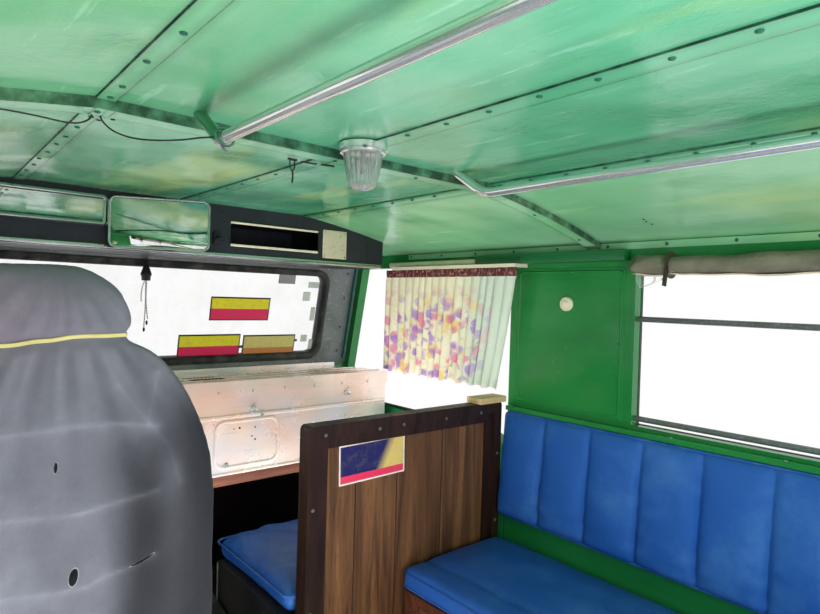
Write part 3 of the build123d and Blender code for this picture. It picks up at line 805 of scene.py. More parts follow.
@dataclass(frozen=True)
class Weathered(Finish):
    """Old matt paint or bare steel with stains, scuffs and speckled dirt."""

    colour: Colour
    stain: Colour
    edge: Colour
    rough: float = 0.55
    metal: float = 0.0
    scale: float = 1.0

    def lay(self, r: Recipe) -> None:
        """Large stains, small speckles and fine scratches over the colour."""
        where = r.place()
        stain = r.spread(r.noise(where, 5.5 * self.scale, 6, 0.68), 0.46, 0.7)
        speck = r.spread(r.noise(where, 85 * self.scale, 3, 0.6), 0.6, 0.7)
        scratch = r.spread(r.noise(r.place((160, 6, 9)), 1.3, 2, 0.6), 0.66, 0.72)
        tone = r.over(self.colour, self.stain, stain, 0.7)
        tone = r.over(tone, self.edge, speck, 0.5)
        tone = r.over(tone, self.edge, scratch, 0.35)
        normal = r.bump(r.noise(where, 60 * self.scale, 4, 0.65), 0.0008)
        rough = r.spread(stain, 0, 1, self.rough, min(1.0, self.rough + 0.22))
        r.set(Base_Color=tone, Roughness=rough, Metallic=self.metal, Normal=normal)


@dataclass(frozen=True)
class Metal(Finish):
    """Bright metal with fingermarks, fine rub lines along X and a few dull spots."""

    colour: Colour
    rough: float = 0.1
    dull: Colour = paint(120, 116, 108)
    lines: Point = (4, 260, 260)
    metal: float = 1.0
    spots: float = 0.45
    rub: float = 0.00025

    def lay(self, r: Recipe) -> None:
        """Smears change the roughness, rub lines the direction, dull spots the colour."""
        where = r.place()
        smear = r.noise(where, 14, 5, 0.65)
        spot = r.spread(r.noise(where, 46, 5, 0.7), 0.62, 0.72)
        normal = r.bump(r.noise(r.place(self.lines), 1.0, 3, 0.6), self.rub)
        rough = r.spread(smear, 0.3, 0.7, self.rough * 0.6, self.rough * 1.9)
        tone = r.over(self.colour, self.dull, spot, self.spots)
        r.set(Base_Color=tone, Roughness=rough, Metallic=self.metal, Normal=normal)


@dataclass(frozen=True)
class PolishedSheet(Finish):
    """Polished thin sheet: slow waves and small dents bend what it mirrors; its three pale tints lie in broad
    clouds of painted reflection.
    """

    colour: Colour
    warm: Colour
    cool: Colour
    rough: float = 0.22
    metal: float = 0.62

    def lay(self, r: Recipe) -> None:
        """Broad clouds of painted reflection tint it, smears dull it, and a few fine scratches run across it.
        """
        where = r.place()
        # Warm and cool clouds: painted reflections in warm and cool tints over the sheet's own pale colour.
        warm = r.spread(r.noise(where, 2.6, 2, 0.5, 0.4), 0.42, 0.62, 0, 0.8)
        cool = r.spread(r.noise(r.place((1, 1, 1), (0, 0.7, 0.2)), 3.4, 2, 0.5, 0.3), 0.52, 0.66, 0, 0.8)
        tone = r.blend(cool, r.blend(warm, self.colour, self.warm), self.cool)
        scratch = r.spread(r.noise(r.place((30, 7, 240)), 1.0, 2, 0.5), 0.66, 0.74, 0, 0.25)
        tone = r.blend(scratch, tone, (0.05, 0.04, 0.03))
        smear = r.spread(r.noise(where, 9, 3, 0.55), 0.3, 0.7, self.rough * 0.6, self.rough * 1.6)
        normal = r.bump(r.noise(where, 4.5, 1, 0.4), 0.010)
        normal = r.bump(r.noise(where, 15, 0, 0.5), 0.0012, normal)
        r.set(Base_Color=tone, Roughness=smear, Metallic=self.metal, Normal=normal)
        r.set(Coat_Weight=0.3, Coat_Roughness=0.06)


@dataclass(frozen=True)
class Wood(Finish):
    """Varnished boards: long grain, pores, and a change of tone from board to board."""

    light: Colour
    dark: Colour
    seams: tuple[float, ...] = ()
    rough: float = 0.42
    along: Point = (1, 1, 0.09)
    steps: tuple[float, ...] = (0.9, -1.4, 0.7, 1.1)
    gap: Colour = paint(26, 14, 8)

    def boards(self, r: Recipe) -> tuple[object, object]:
        """A number that steps at every seam across Y, and the grooves at the seams."""
        _, y, _ = r.axes()
        tone_step: object = 0.0
        groove: object = 0.0
        for seam, step in zip(self.seams, self.steps):
            side = r.sum("GREATER_THAN", y, seam)
            tone_step = r.sum("ADD", tone_step, r.times(side, step))
            groove = r.most(groove, r.near(y, seam, 0.0022))
        return tone_step, groove

    def lay(self, r: Recipe) -> None:
        """Grain is a stretched, bent cloud, shifted and darkened from board to board."""
        tone_step, groove = self.boards(r)
        where = r.node("ShaderNodeVectorMath", {"operation": "ADD"})
        r.feed(where.inputs[0], r.place(self.along))
        shift = r.node("ShaderNodeCombineXYZ", X=tone_step, Y=tone_step, Z=tone_step)
        r.feed(where.inputs[1], shift.outputs[0])
        band = r.noise(where.outputs[0], 26, 4, 0.6, 1.3)
        pore = r.noise(r.place(tuple(420 * stretch for stretch in self.along)), 1, 2)
        figure = r.noise(where.outputs[0], 7, 3, 0.55, 2.4)
        tone = r.blend(r.spread(band, 0.32, 0.7), self.light, self.dark)
        tone = r.blend(r.spread(figure, 0.45, 0.75, 0, 0.55), tone, self.dark)
        tone = r.blend(r.spread(pore, 0.56, 0.66, 0, 0.5), tone, self.dark)
        normal = r.bump(band, 0.0006, r.bump(pore, 0.0002))
        if self.seams:
            whole = r.spread(r.sum("FRACT", r.sum("ADD", tone_step, 5.0)), 0, 1, 0.0, 0.35)
            tone = r.blend(whole, tone, self.dark)
            tone = r.over(tone, self.gap, groove, 0.9)
            normal = r.bump(r.sum("SUBTRACT", 1.0, groove), 0.002, normal)
        rough = r.spread(band, 0.3, 0.7, self.rough, self.rough + 0.2)
        r.set(Base_Color=tone, Roughness=rough, Normal=normal)


@dataclass(frozen=True)
class Hide(Finish):
    """Vinyl or leathercloth: pebble grain, soft folds, worn paler in patches."""

    colour: Colour
    worn: Colour
    rough: float = 0.4
    pebble: float = 620
    fold: float = 0.0012

    def lay(self, r: Recipe) -> None:
        """Cell edges are the grain; broad noise is the wear and the folds."""
        where = r.place()
        grain = r.spread(r.cells(where, self.pebble, "DISTANCE_TO_EDGE"), 0, 0.22)
        fold = r.noise(where, 11, 3, 0.55, 0.6)
        wear = r.spread(r.noise(where, 5, 5, 0.7), 0.48, 0.78)
        normal = r.bump(grain, 0.00022, r.bump(fold, self.fold))
        tone = r.over(self.colour, self.worn, wear, 0.55)
        tone = r.blend(r.spread(grain, 0, 1, 0.3, 0), tone, (0.0, 0.0, 0.0))
        rough = r.spread(wear, 0, 1, self.rough, self.rough + 0.2)
        r.set(Base_Color=tone, Roughness=rough, Normal=normal)


@dataclass(frozen=True)
class Plain(Finish):
    """Rubber, plastic or paint in one tone with dust and a fine skin."""

    colour: Colour
    rough: float = 0.5
    dust: Colour = paint(150, 146, 136)
    dusty: float = 0.16

    def lay(self, r: Recipe) -> None:
        """A dusty cloud over the tone, and a fine skin."""
        where = r.place()
        cloud = r.spread(r.noise(where, 21, 5, 0.7), 0.42, 0.75, 0, self.dusty)
        normal = r.bump(r.noise(where, 420, 2), 0.00025)
        tone = r.blend(cloud, self.colour, self.dust)
        rough = r.spread(cloud, 0, 0.4, self.rough, self.rough + 0.25)
        r.set(Base_Color=tone, Roughness=rough, Normal=normal)


@dataclass(frozen=True)
class Pane(Finish):
    """Thin clear sheet that lets light straight through, with gloss and a film of dirt."""

    film: float = 0.05
    haze: Colour = paint(214, 214, 206)

    def lay(self, r: Recipe) -> None:
        """Clear where alpha is low; gloss grows at a slant, and the film is cloudy."""
        where = r.place()
        film = r.spread(r.noise(where, 6, 5, 0.7), 0.42, 0.8, self.film * 0.3, self.film * 2.2)
        glint = r.node("ShaderNodeLayerWeight", Blend=0.25).outputs["Fresnel"]
        solid = r.sum("MINIMUM", r.sum("ADD", film, r.times(glint, 0.55)), 1.0)
        r.set(Base_Color=self.haze, Roughness=0.06, Alpha=solid)


@dataclass(frozen=True)
class Glass(Finish):
    """Thick moulded glass."""

    tint: Colour = (0.96, 0.97, 0.955)

    def lay(self, r: Recipe) -> None:
        """Clear glass with a slightly uneven skin."""
        normal = r.bump(r.noise(r.place(), 60, 2), 0.0008)
        r.set(Base_Color=self.tint, Roughness=0.05, Transmission_Weight=0.9, IOR=1.45, Normal=normal)


@dataclass(frozen=True)
class Silvered(Finish):
    """Mirror glass with specks and a dull film near its edges."""

    bright: Colour = (0.86, 0.88, 0.87)
    dull: Colour = paint(120, 124, 120)

    def lay(self, r: Recipe) -> None:
        """Nearly perfect gloss, dulled by a cloudy film."""
        film = r.spread(r.noise(r.place(), 25, 6, 0.7), 0.45, 0.8)
        tone = r.over(self.bright, self.dull, film, 0.3)
        r.set(Base_Color=tone, Roughness=r.spread(film, 0, 1, 0.015, 0.14), Metallic=1.0)


@dataclass(frozen=True)
class Bands(Finish):
    """A printed card without lettering: flat bands from the bottom up inside a thin border."""

    bands: tuple[tuple[float, Colour], ...]
    border: Colour = paint(24, 22, 20)
    far: Colour | None = None
    dirt: Colour = paint(120, 112, 100)

    def lay(self, r: Recipe) -> None:
        """Each band ends at its height; far, if given, takes the right side over."""
        u, v, _ = r.axes(uv=True)
        tone: object = self.border
        for top, colour in reversed(self.bands):
            tone = r.blend(r.sum("LESS_THAN", v, top), tone, colour)
        if self.far:
            slant = r.spread(r.sum("ADD", u, r.times(v, -0.25)), 0.48, 0.62)
            tone = r.over(tone, self.far, slant, r.sum("GREATER_THAN", v, self.bands[0][0]))
        beside = r.spread(r.near(u, 0.5, 0.5), 0.02, 0.05)
        tone = r.over(self.border, tone, beside, r.spread(r.near(v, 0.5, 0.5), 0.05, 0.1))
        dirt = r.spread(r.noise(r.place(), 60, 5, 0.7), 0.5, 0.72)
        r.set(Base_Color=r.over(tone, self.dirt, dirt, 0.3), Roughness=0.42)


@dataclass(frozen=True)
class Cover(Finish):
    """Loose knitted seat cloth: its point attribute goes from dark folds, painted shade, to pale creases,
    painted highlights.
    """

    dark: Colour
    pale: Colour
    warm: Colour

    def lay(self, r: Recipe) -> None:
        """Two crossed waves are the weave; the attribute's painted light and shade, height and noise move the
        tone.
        """
        where = r.place()
        _, y, z = r.axes()
        # This attribute holds painted light and shade, written on the seat's points.
        painted_light_and_tone = r.node("ShaderNodeAttribute", {"attribute_name": "painted_light_and_tone"}).outputs["Fac"]
        tone = r.blend(painted_light_and_tone, self.dark, self.pale)
        blush = r.times(r.spread(r.noise(where, 3.1, 3, 0.5), 0.40, 0.66), r.spread(z, 0.75, 1.1))
        blush = r.times(blush, r.spread(y, 0.34, 0.56))
        tone = r.over(tone, self.warm, blush, 0.6)
        mottle = r.spread(r.noise(where, 26, 5, 0.7), 0.35, 0.75, 0.0, 0.2)
        tone = r.blend(mottle, tone, self.dark)
        weave = r.weave(z, y, 2600)
        tone = r.blend(r.spread(weave, 0.2, 1.0, 0, 0.18), tone, self.dark)
        soft = r.bump(r.noise(where, 34, 4, 0.6), 0.0014)
        r.set(Base_Color=tone, Roughness=0.68, Normal=r.bump(weave, 0.0002, soft))
        r.set(Specular_IOR_Level=0.18, Sheen_Weight=0.04, Sheen_Roughness=0.5)


@dataclass(frozen=True)
class Print(Finish):
    """Printed curtain cotton on its own UV map: dark heading, pale top, blotched flowers below."""

    ground: Colour = paint(246, 236, 208)
    shade: Colour = paint(226, 206, 150)
    green: Colour = paint(196, 212, 200)
    pink: Colour = paint(228, 120, 158)
    gold: Colour = paint(240, 200, 104)
    violet: Colour = paint(168, 118, 202)
    heading: Colour = paint(86, 32, 38)
    heading_spots: Colour = paint(176, 120, 110)
    outline: Colour = paint(120, 84, 130)

    def flowers(self, r: Recipe, tone: Socket, down: Socket) -> Socket:
        """Three layers of blotches on scattered cells, and broken lines round them.

        Args:
            r: the recipe that gets the nodes.
            tone: the cloth's colour so far.
            down: where the flowers show.

        Returns:
            The colour with the flowers on it.
        """
        where = r.place(uv=True)
        for n, colour in enumerate((self.gold, self.pink, self.violet)):
            cell = r.cells(r.place((1, 1.2, 1), (0, 0, 0.4 + n), True), 14 + 3 * n)
            ragged = r.sum("ADD", cell, r.times(r.noise(where, 60 + n, 3), 0.35))
            bed = r.noise(r.place((1, 1, 1), (0, 0, 1.1 * n), True), 11 + n, 1)
            spot = r.times(r.spread(ragged, 0.66, 0.52), r.spread(bed, 0.43, 0.50))
            tone = r.over(tone, colour, spot, r.times(down, 0.8))
        edge = r.cells(r.place((1, 1.4, 1), (0, 0, 0.9), True), 30, "DISTANCE_TO_EDGE")
        ink = r.times(r.spread(edge, 0.035, 0.0), down)
        ink = r.times(ink, r.spread(r.noise(where, 18, 2), 0.5, 0.6))
        return r.over(tone, self.outline, ink, 0.6)

    def lay(self, r: Recipe) -> None:
        """Pale at the top and green at the far side, with a spotted heading along the rail."""
        u, v, _ = r.axes(uv=True)
        where = r.place(uv=True)
        tone = r.blend(r.spread(r.noise(where, 9, 4, 0.6), 0.4, 0.7, 0, 0.5), self.ground, self.shade)
        tone = r.blend(r.spread(u, 0.50, 0.66, 0, 0.75), tone, self.green)
        tone = self.flowers(r, tone, r.times(r.spread(v, 0.05, 0.16), r.spread(u, 0.74, 0.60)))
        mark = r.spread(r.noise(r.place((1, 0.7, 1), uv=True), 120, 2), 0.52, 0.60, 0, 0.8)
        band = r.blend(mark, self.heading, self.heading_spots)
        tone = r.blend(r.sum("LESS_THAN", v, 0.027), tone, band)
        normal = r.bump(r.weave(u, v, 5200), 0.00012, r.bump(r.noise(where, 90, 3), 0.0006))
        r.set(Base_Color=tone, Roughness=0.8, Normal=normal, Sheen_Weight=0.15)


@dataclass(frozen=True)
class Canvas(Finish):
    """Rolled tarpaulin on its own UV map: olive brown, with a beige band along its free hem."""

    ground: Colour
    lining: Colour
    hem_at: float
    cloud: Colour = paint(96, 92, 78)
    hem: Colour = paint(232, 222, 200)
    stain: Colour = paint(84, 74, 58)

    def lay(self, r: Recipe) -> None:
        """The hem starts at a length along the spiral; stains and a coarse weave lie over both."""
        u, v, _ = r.axes(uv=True)
        where = r.place()
        tone = r.blend(r.spread(r.noise(where, 14, 5, 0.65), 0.4, 0.7), self.ground, self.cloud)
        tone = r.blend(r.spread(u, self.hem_at, self.hem_at + 0.001), tone, self.lining)
        tone = r.blend(r.near(u, self.hem_at + 0.003, 0.003), tone, self.hem)
        stain = r.spread(r.noise(where, 45, 5, 0.7), 0.56, 0.72, 0, 0.5)
        tone = r.blend(stain, tone, self.stain)
        normal = r.bump(r.weave(u, v, 3600), 0.00018, r.bump(r.noise(where, 70, 4, 0.6), 0.0016))
        r.set(Base_Color=tone, Roughness=0.5, Normal=normal)


GREEN = SeamedGloss("ceiling green", paint(52, 138, 96), paint(156, 200, 178), paint(20, 94, 62), 0.13)
# A lighter copy of the ceiling green with more pale cloud, for the light that the bows catch: painted light.
LIT_BOW_GREEN = SeamedGloss(
    "lit bow green", paint(60, 142, 100), paint(156, 198, 172), paint(16, 84, 54), 0.14, 0.6, 0.0006
)
BODY_GREEN = Gloss(
    "inside green", paint(26, 116, 54), paint(58, 150, 76), paint(12, 78, 38), 0.18, 0.4, 0.0012
)
COACH_GREEN = CoachPaint(
    "coach green", paint(24, 112, 56), paint(48, 138, 78), paint(12, 76, 40), 0.16, 0.35, 0.0008
)
JOINT_TAPE = Gloss(
    "roof joint tape", paint(92, 98, 94), paint(134, 138, 132), paint(52, 54, 50), 0.45, 0.5, 0.0012
)
ROOF_PAINT = Gloss(
    "roof paint",
    paint(150, 156, 146),
    paint(184, 188, 180),
    paint(96, 98, 88),
    0.38,
    0.6,
    0.001,
    dirt=paint(92, 76, 56),
    dirty=0.6,
)
SCREW_GREEN = Plain("painted screw", paint(26, 84, 62), 0.35, paint(70, 66, 44), 0.5)
PILLAR = Weathered("weathered pillar", paint(112, 118, 116), paint(62, 66, 64), paint(176, 180, 174), 0.5)
BLACK_PAINT = Weathered("black paint", paint(26, 26, 28), paint(58, 54, 50), paint(92, 88, 82), 0.42)
STEEL = Weathered("grey steel", paint(124, 128, 128), paint(92, 80, 66), paint(168, 170, 168), 0.42, 0.6)
CHROME = Metal("polished tube", paint(240, 240, 238), 0.12, metal=0.82, spots=0.25, rub=0.00003)
ZINC = Metal("zinc plate", paint(176, 180, 184), 0.32, paint(120, 108, 92))
DASH_METAL = PolishedSheet("dash sheet", paint(252, 238, 228), paint(246, 206, 188), paint(214, 222, 236))
CONSOLE = Hide("dark leathercloth", paint(40, 41, 48), paint(74, 76, 84), 0.42, 520, 0.0016)
SEAT_COVER = Cover("grey seat cover", paint(23, 23, 28), paint(192, 192, 206), paint(150, 116, 132))
BLUE_VINYL = Hide("blue vinyl", paint(34, 92, 176), paint(84, 142, 206), 0.34)
DARK_WOOD = Wood("stained frame wood", paint(54, 32, 23), paint(22, 12, 9), (), 0.4, (1, 1, 0.12))
PLANKS = Wood(
    "plank wood", paint(128, 88, 56), paint(60, 36, 22), (-0.274, -0.405, -0.565), 0.4, (1, 1, 0.07)
)
BOX_WOOD = Wood("bench board", paint(120, 78, 50), paint(66, 40, 26), (), 0.5, (0.08, 1, 1))
RAW_WOOD = Wood("bare wood", paint(222, 196, 150), paint(184, 148, 100), (), 0.6, (1, 0.1, 1))
RUBBER = Plain("black rubber", paint(30, 30, 31), 0.55)
BLACK_PLASTIC = Plain("black plastic", paint(24, 24, 26), 0.35, dusty=0.08)
CREAM = Plain("cream paint", paint(226, 216, 188), 0.45, paint(150, 136, 104), 0.3)
SILVER_TRIM = Metal("silver trim", paint(222, 222, 224), 0.16, rub=0.00005)
FLOOR_METAL = Weathered(
    "floor sheet", paint(120, 122, 122), paint(74, 66, 56), paint(170, 170, 166), 0.46, 0.7
)
SCREEN_GLASS = Pane("windscreen glass")
LENS_GLASS = Glass("lamp glass")
MIRROR_GLASS = Silvered("mirror glass")

NECK_TIE = Plain("pale ribbon", paint(196, 182, 118), 0.5, paint(150, 134, 84), 0.4)
FRAY = Plain("frayed edge", paint(132, 130, 140), 0.8)
BLUE_PIPING = Plain("blue piping", paint(26, 74, 150), 0.4, paint(110, 150, 200), 0.25)
CURTAIN_CLOTH = Print("printed curtain")
TARPAULIN = Canvas("rolled tarpaulin", paint(128, 124, 104), paint(212, 196, 166), 0.355)
AMBER = Plain("amber lens", paint(232, 128, 26), 0.12, dusty=0.08)
RED_LENS = Plain("red lens", paint(176, 18, 22), 0.12, dusty=0.08)
STRAP = Plain("webbing tie", paint(58, 50, 40), 0.7, paint(120, 110, 92), 0.4)
CLEAR_SHEET = Pane("clear sheet", film=0.22)
DARK_GREEN = Gloss(
    "header green", paint(20, 92, 48), paint(40, 118, 66), paint(10, 60, 34), 0.2, 0.35, 0.0008
)
# Dark discs and slots laid where holes, vents and tears are: the dark is painted shade inside them.
HOLE_SHADE = Plain("painted hole shade", paint(8, 9, 9), 0.8, dusty=0.05)
FROSTED = Plain("frosted bulb", paint(236, 232, 220), 0.3, dusty=0.05)
OLD_RUBBER = Plain("old seal rubber", paint(26, 26, 28), 0.48, paint(120, 118, 110), 0.4)
BEAD_GREY = Plain("grey beads", paint(120, 116, 112), 0.3)
LINING = Hide("firewall lining", paint(34, 18, 18), paint(58, 34, 30), 0.6, 300, 0.003)
DARK_STRIP_WOOD = Wood("dash strip wood", paint(120, 64, 40), paint(58, 30, 20), (), 0.45, (1, 0.08, 1))
PALE_BATTEN = Wood("pale batten", paint(150, 116, 84), paint(96, 66, 44), (), 0.55, (1, 0.08, 1))
PILLAR_BLUE = Weathered("pillar edge", paint(36, 104, 96), paint(48, 84, 130), paint(20, 40, 44), 0.4)
PLATE = Weathered("blank plate", paint(206, 196, 168), paint(176, 162, 130), paint(120, 108, 84), 0.5)
BOARD_YELLOW_PINK = Bands("route board", ((0.50, paint(226, 40, 92)), (0.94, paint(232, 220, 52))))
BOARD_YELLOW_PINK_TALL = Bands("route board tall", ((0.50, paint(232, 46, 98)), (0.94, paint(236, 224, 48))))
BOARD_SAND = Bands("route board sand", ((0.42, paint(196, 128, 72)), (0.94, paint(212, 198, 120))))
STICKER_GREY = Bands("grey sticker", ((0.92, paint(152, 150, 148)),), paint(92, 92, 92))
STICKER_PALE = Bands("pale sticker", ((0.95, paint(206, 214, 202)),), paint(168, 176, 164))
STICKER_BANDS = Bands(
    "blank sticker",
    ((0.22, paint(214, 52, 86)), (0.97, paint(36, 34, 84))),
    paint(226, 214, 206),
    paint(206, 178, 104),
)


# Pieces


def make(
    name: str,
    skin: Skin,
    finish: Finish,
    body: str = "cabin",
    replaces: tuple[str, ...] = (),
    solid: bool = True,
    crease: float = 38.0,
) -> bpy.types.Object:
    """Puts a surface into the scene as a finished piece.

    Args:
        name: the piece's name.
        skin: its surface, in its place.
        finish: what it is made of.
        body: the body it moves with.
        replaces: the CAD nodes it stands for.
        solid: closed, so that its faces can be turned outwards.
        crease: edges that turn by more degrees than this stay sharp.

    Returns:
        The piece's object, at the origin.
    """
    mesh = bpy.data.meshes.new(name)
    mesh.from_pydata(skin.points.tolist(), [], skin.quads.tolist() + skin.lids)
    layer = mesh.uv_layers.new(name="UVMap")
    pairs = np.zeros((len(mesh.loops), 2))
    pairs[: skin.corners.size // 2] = skin.corners.reshape(-1, 2)
    layer.data.foreach_set("uv", pairs.ravel())
    if solid:
        work = bmesh.new()
        work.from_mesh(mesh)
        bmesh.ops.recalc_face_normals(work, faces=work.faces)
        work.to_mesh(mesh)
        work.free()
    mesh.polygons.foreach_set("use_smooth", [True] * len(mesh.polygons))
    mesh.set_sharp_from_angle(angle=math.radians(crease))
    mesh.materials.append(finish.material())
    piece = bpy.data.objects.new(name, mesh)
    bpy.context.scene.collection.objects.link(piece)
    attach(piece, body)
    if replaces:
        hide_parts(*replaces)
    log.info("%s: %d faces on %s", name, len(mesh.polygons), body)
    return piece


def heads(
    name: str,
    places: Array,
    way: Point | Array,
    finish: Finish,
    radius: float = 0.0042,
    height: float = 0.0022,
    body: str = "cabin",
) -> None:
    """Makes one piece of many screw or rivet heads.

    Args:
        name: the piece's name.
        places: where they sit, shape (k, 3).
        way: the way that all of them face, or one way each, shape (k, 3).
        finish: what they are made of.
        radius: of a head.
        height: of a head.
        body: the body they move with.
    """
    ways = np.broadcast_to(np.asarray(way, float), places.shape)
    make(name, repeated(screw_head(radius, height), places, facing(ways)), finish, body)


def dress(finish: Finish, *nodes: str) -> None:
    """Gives carried-over CAD nodes their material.

    Args:
        finish: what they are made of.
        *nodes: their names.
    """
    for name in nodes:
        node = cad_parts[name]
        if not node.material_slots:
            node.data.materials.append(finish.material())
        for place in node.material_slots:
            place.material = finish.material()


def seen_rays(nodes: bpy.types.Nodes, links: bpy.types.NodeLinks) -> Socket:
    """1 for rays from the camera, out of a gloss or through clear sheet.

    Args:
        nodes: the node tree's nodes.
        links: the node tree's links.

    Returns:
        The largest of the three kinds of ray.
    """
    rays = nodes.new("ShaderNodeLightPath").outputs
    seen = rays["Is Camera Ray"]
    for kind in ("Is Glossy Ray", "Is Transmission Ray"):
        most = nodes.new("ShaderNodeMath")
        most.operation = "MAXIMUM"
        links.new(seen, most.inputs[0])
        links.new(rays[kind], most.inputs[1])
        seen = most.outputs[0]
    return seen


@dataclass
class Studio:
    """Camera, lamps, world and the pale floor."""

    eye: Point = (0.020, 0.575, 1.150)
    ahead: Point = (0.7587, -0.6510, -0.01308)
    above: Point = (0.0295, 0.0143, 0.9995)
    focal_pixels: float = 591.0
    frame_pixels: float = 820.0
    sensor: float = 36.0
    floor_half: float = 14.0
    pool: Point = (1 / 2.6, 1 / 1.5, 1)
    sky: float = 0.7

    def camera(self) -> None:
        """Sets the camera where the photograph was taken from."""
        data = bpy.data.cameras.new("seat view")
        data.sensor_width = self.sensor
        data.lens = self.focal_pixels * self.sensor / self.frame_pixels
        data.clip_start = 0.01
        camera = bpy.data.objects.new("seat view", data)
        ahead = np.array(self.ahead) / np.linalg.norm(self.ahead)
        right = np.cross(ahead, self.above)
        right /= np.linalg.norm(right)
        turn = np.column_stack([right, np.cross(right, ahead), -ahead])
        camera.matrix_world = Matrix.Translation(self.eye) @ Matrix(turn.tolist()).to_4x4()
        bpy.context.scene.collection.objects.link(camera)
        bpy.context.scene.camera = camera

    def lamp(self, name: str, place: Point, aim: Point, size: tuple[float, float], watts: float) -> None:
        """A soft area lamp that neither the camera nor gloss sees.

        Args:
            name: the lamp's name.
            place: its middle.
            aim: the point it faces.
            size: its sides.
            watts: its power.
        """
        data = bpy.data.lights.new(name, "AREA")
        data.shape, data.size, data.size_y, data.energy = "RECTANGLE", *size, watts
        lamp = bpy.data.objects.new(name, data)
        turn = facing((np.array(place) - np.array(aim))[None])[0]
        lamp.matrix_world = Matrix.Translation(place) @ Matrix(turn.tolist()).to_4x4()
        lamp.visible_camera = lamp.visible_glossy = lamp.visible_transmission = False
        bpy.context.scene.collection.objects.link(lamp)

    def lamps(self) -> None:
        """Daylight from both sides, and the bounced light that fills the inside."""
        self.lamp("left daylight", (0.6, 5.0, 2.6), (0.3, 0, 0.9), (4.5, 2.2), 135)
        self.lamp("right daylight", (0.2, -5.0, 2.4), (0.2, 0, 0.9), (4.5, 2.2), 135)
        self.lamp("overhead", (0.0, 0.0, 6.0), (0, 0, 0), (5.0, 4.0), 70)
        self.lamp("front daylight", (5.4, -0.3, 2.0), (0.6, 0, 1.0), (3.0, 2.0), 80)
        self.lamp("rear daylight", (-5.6, 0.4, 2.0), (0, 0, 0.9), (3.0, 2.0), 80)
        self.lamp("bounce to the ceiling", (0.05, 0.22, 0.5), (0.40, 0.34, 1.4), (2.4, 0.6), 27)
        self.lamp("bounce to the cab", (-0.35, 0.15, 1.05), (1.4, 0.0, 0.85), (0.5, 0.45), 10.5)
        self.lamp("cab floor bounce", (1.52, -0.35, 0.52), (1.5, -0.35, 1.4), (0.35, 0.7), 5.5)

    def world(self) -> None:
        """Even light, and white behind the windows to the camera, gloss and clear sheet."""
        world = bpy.data.worlds.new("studio")
        world.use_nodes = True
        nodes, links = world.node_tree.nodes, world.node_tree.links
        nodes.clear()
        mix, out = nodes.new("ShaderNodeMixShader"), nodes.new("ShaderNodeOutputWorld")
        links.new(seen_rays(nodes, links), mix.inputs[0])
        for n, (colour, strength) in enumerate((((0.95, 0.98, 1.0, 1), self.sky), ((1, 1, 1, 1), 1.0))):
            light = nodes.new("ShaderNodeBackground")
            light.inputs["Color"].default_value = colour
            light.inputs["Strength"].default_value = strength
            links.new(light.outputs[0], mix.inputs[n + 1])
        links.new(mix.outputs[0], out.inputs["Surface"])
        bpy.context.scene.world = world

    def floor(self) -> None:
        """The plain pale floor, which fades to white round the cabin's pool of shadow."""
        mesh = bpy.data.meshes.new("studio_floor")
        mesh.from_pydata(laid(strap(self.floor_half, self.floor_half), 0).tolist(), [], [(0, 1, 2, 3)])
        r = Recipe("pale floor")
        r.set(Base_Color=(0.88, 0.88, 0.88), Roughness=0.9)
        far = r.node("ShaderNodeVectorMath", {"operation": "LENGTH"}, Vector=r.place(self.pool))
        white = r.node("ShaderNodeEmission", Color=(1.0, 1.0, 1.0, 1.0), Strength=1.0).outputs[0]
        mix = r.nodes.new("ShaderNodeMixShader")
        share = r.times(seen_rays(r.nodes, r.links), r.spread(far.outputs["Value"], 1.05, 2.0))
        for socket, value in zip(mix.inputs, (share, r.surface.outputs[0], white)):
            r.feed(socket, value)
        r.feed(r.output.inputs["Surface"], mix.outputs[0])
        mesh.materials.append(r.material)
        plane = bpy.data.objects.new("studio_floor", mesh)
        bpy.context.scene.collection.objects.link(plane)

    def build(self) -> None:
        """Sets up everything that isn't part of the cabin."""
        self.camera()
        self.world()
        self.floor()
        self.lamps()
        bpy.context.scene.view_settings.view_transform = "Standard"


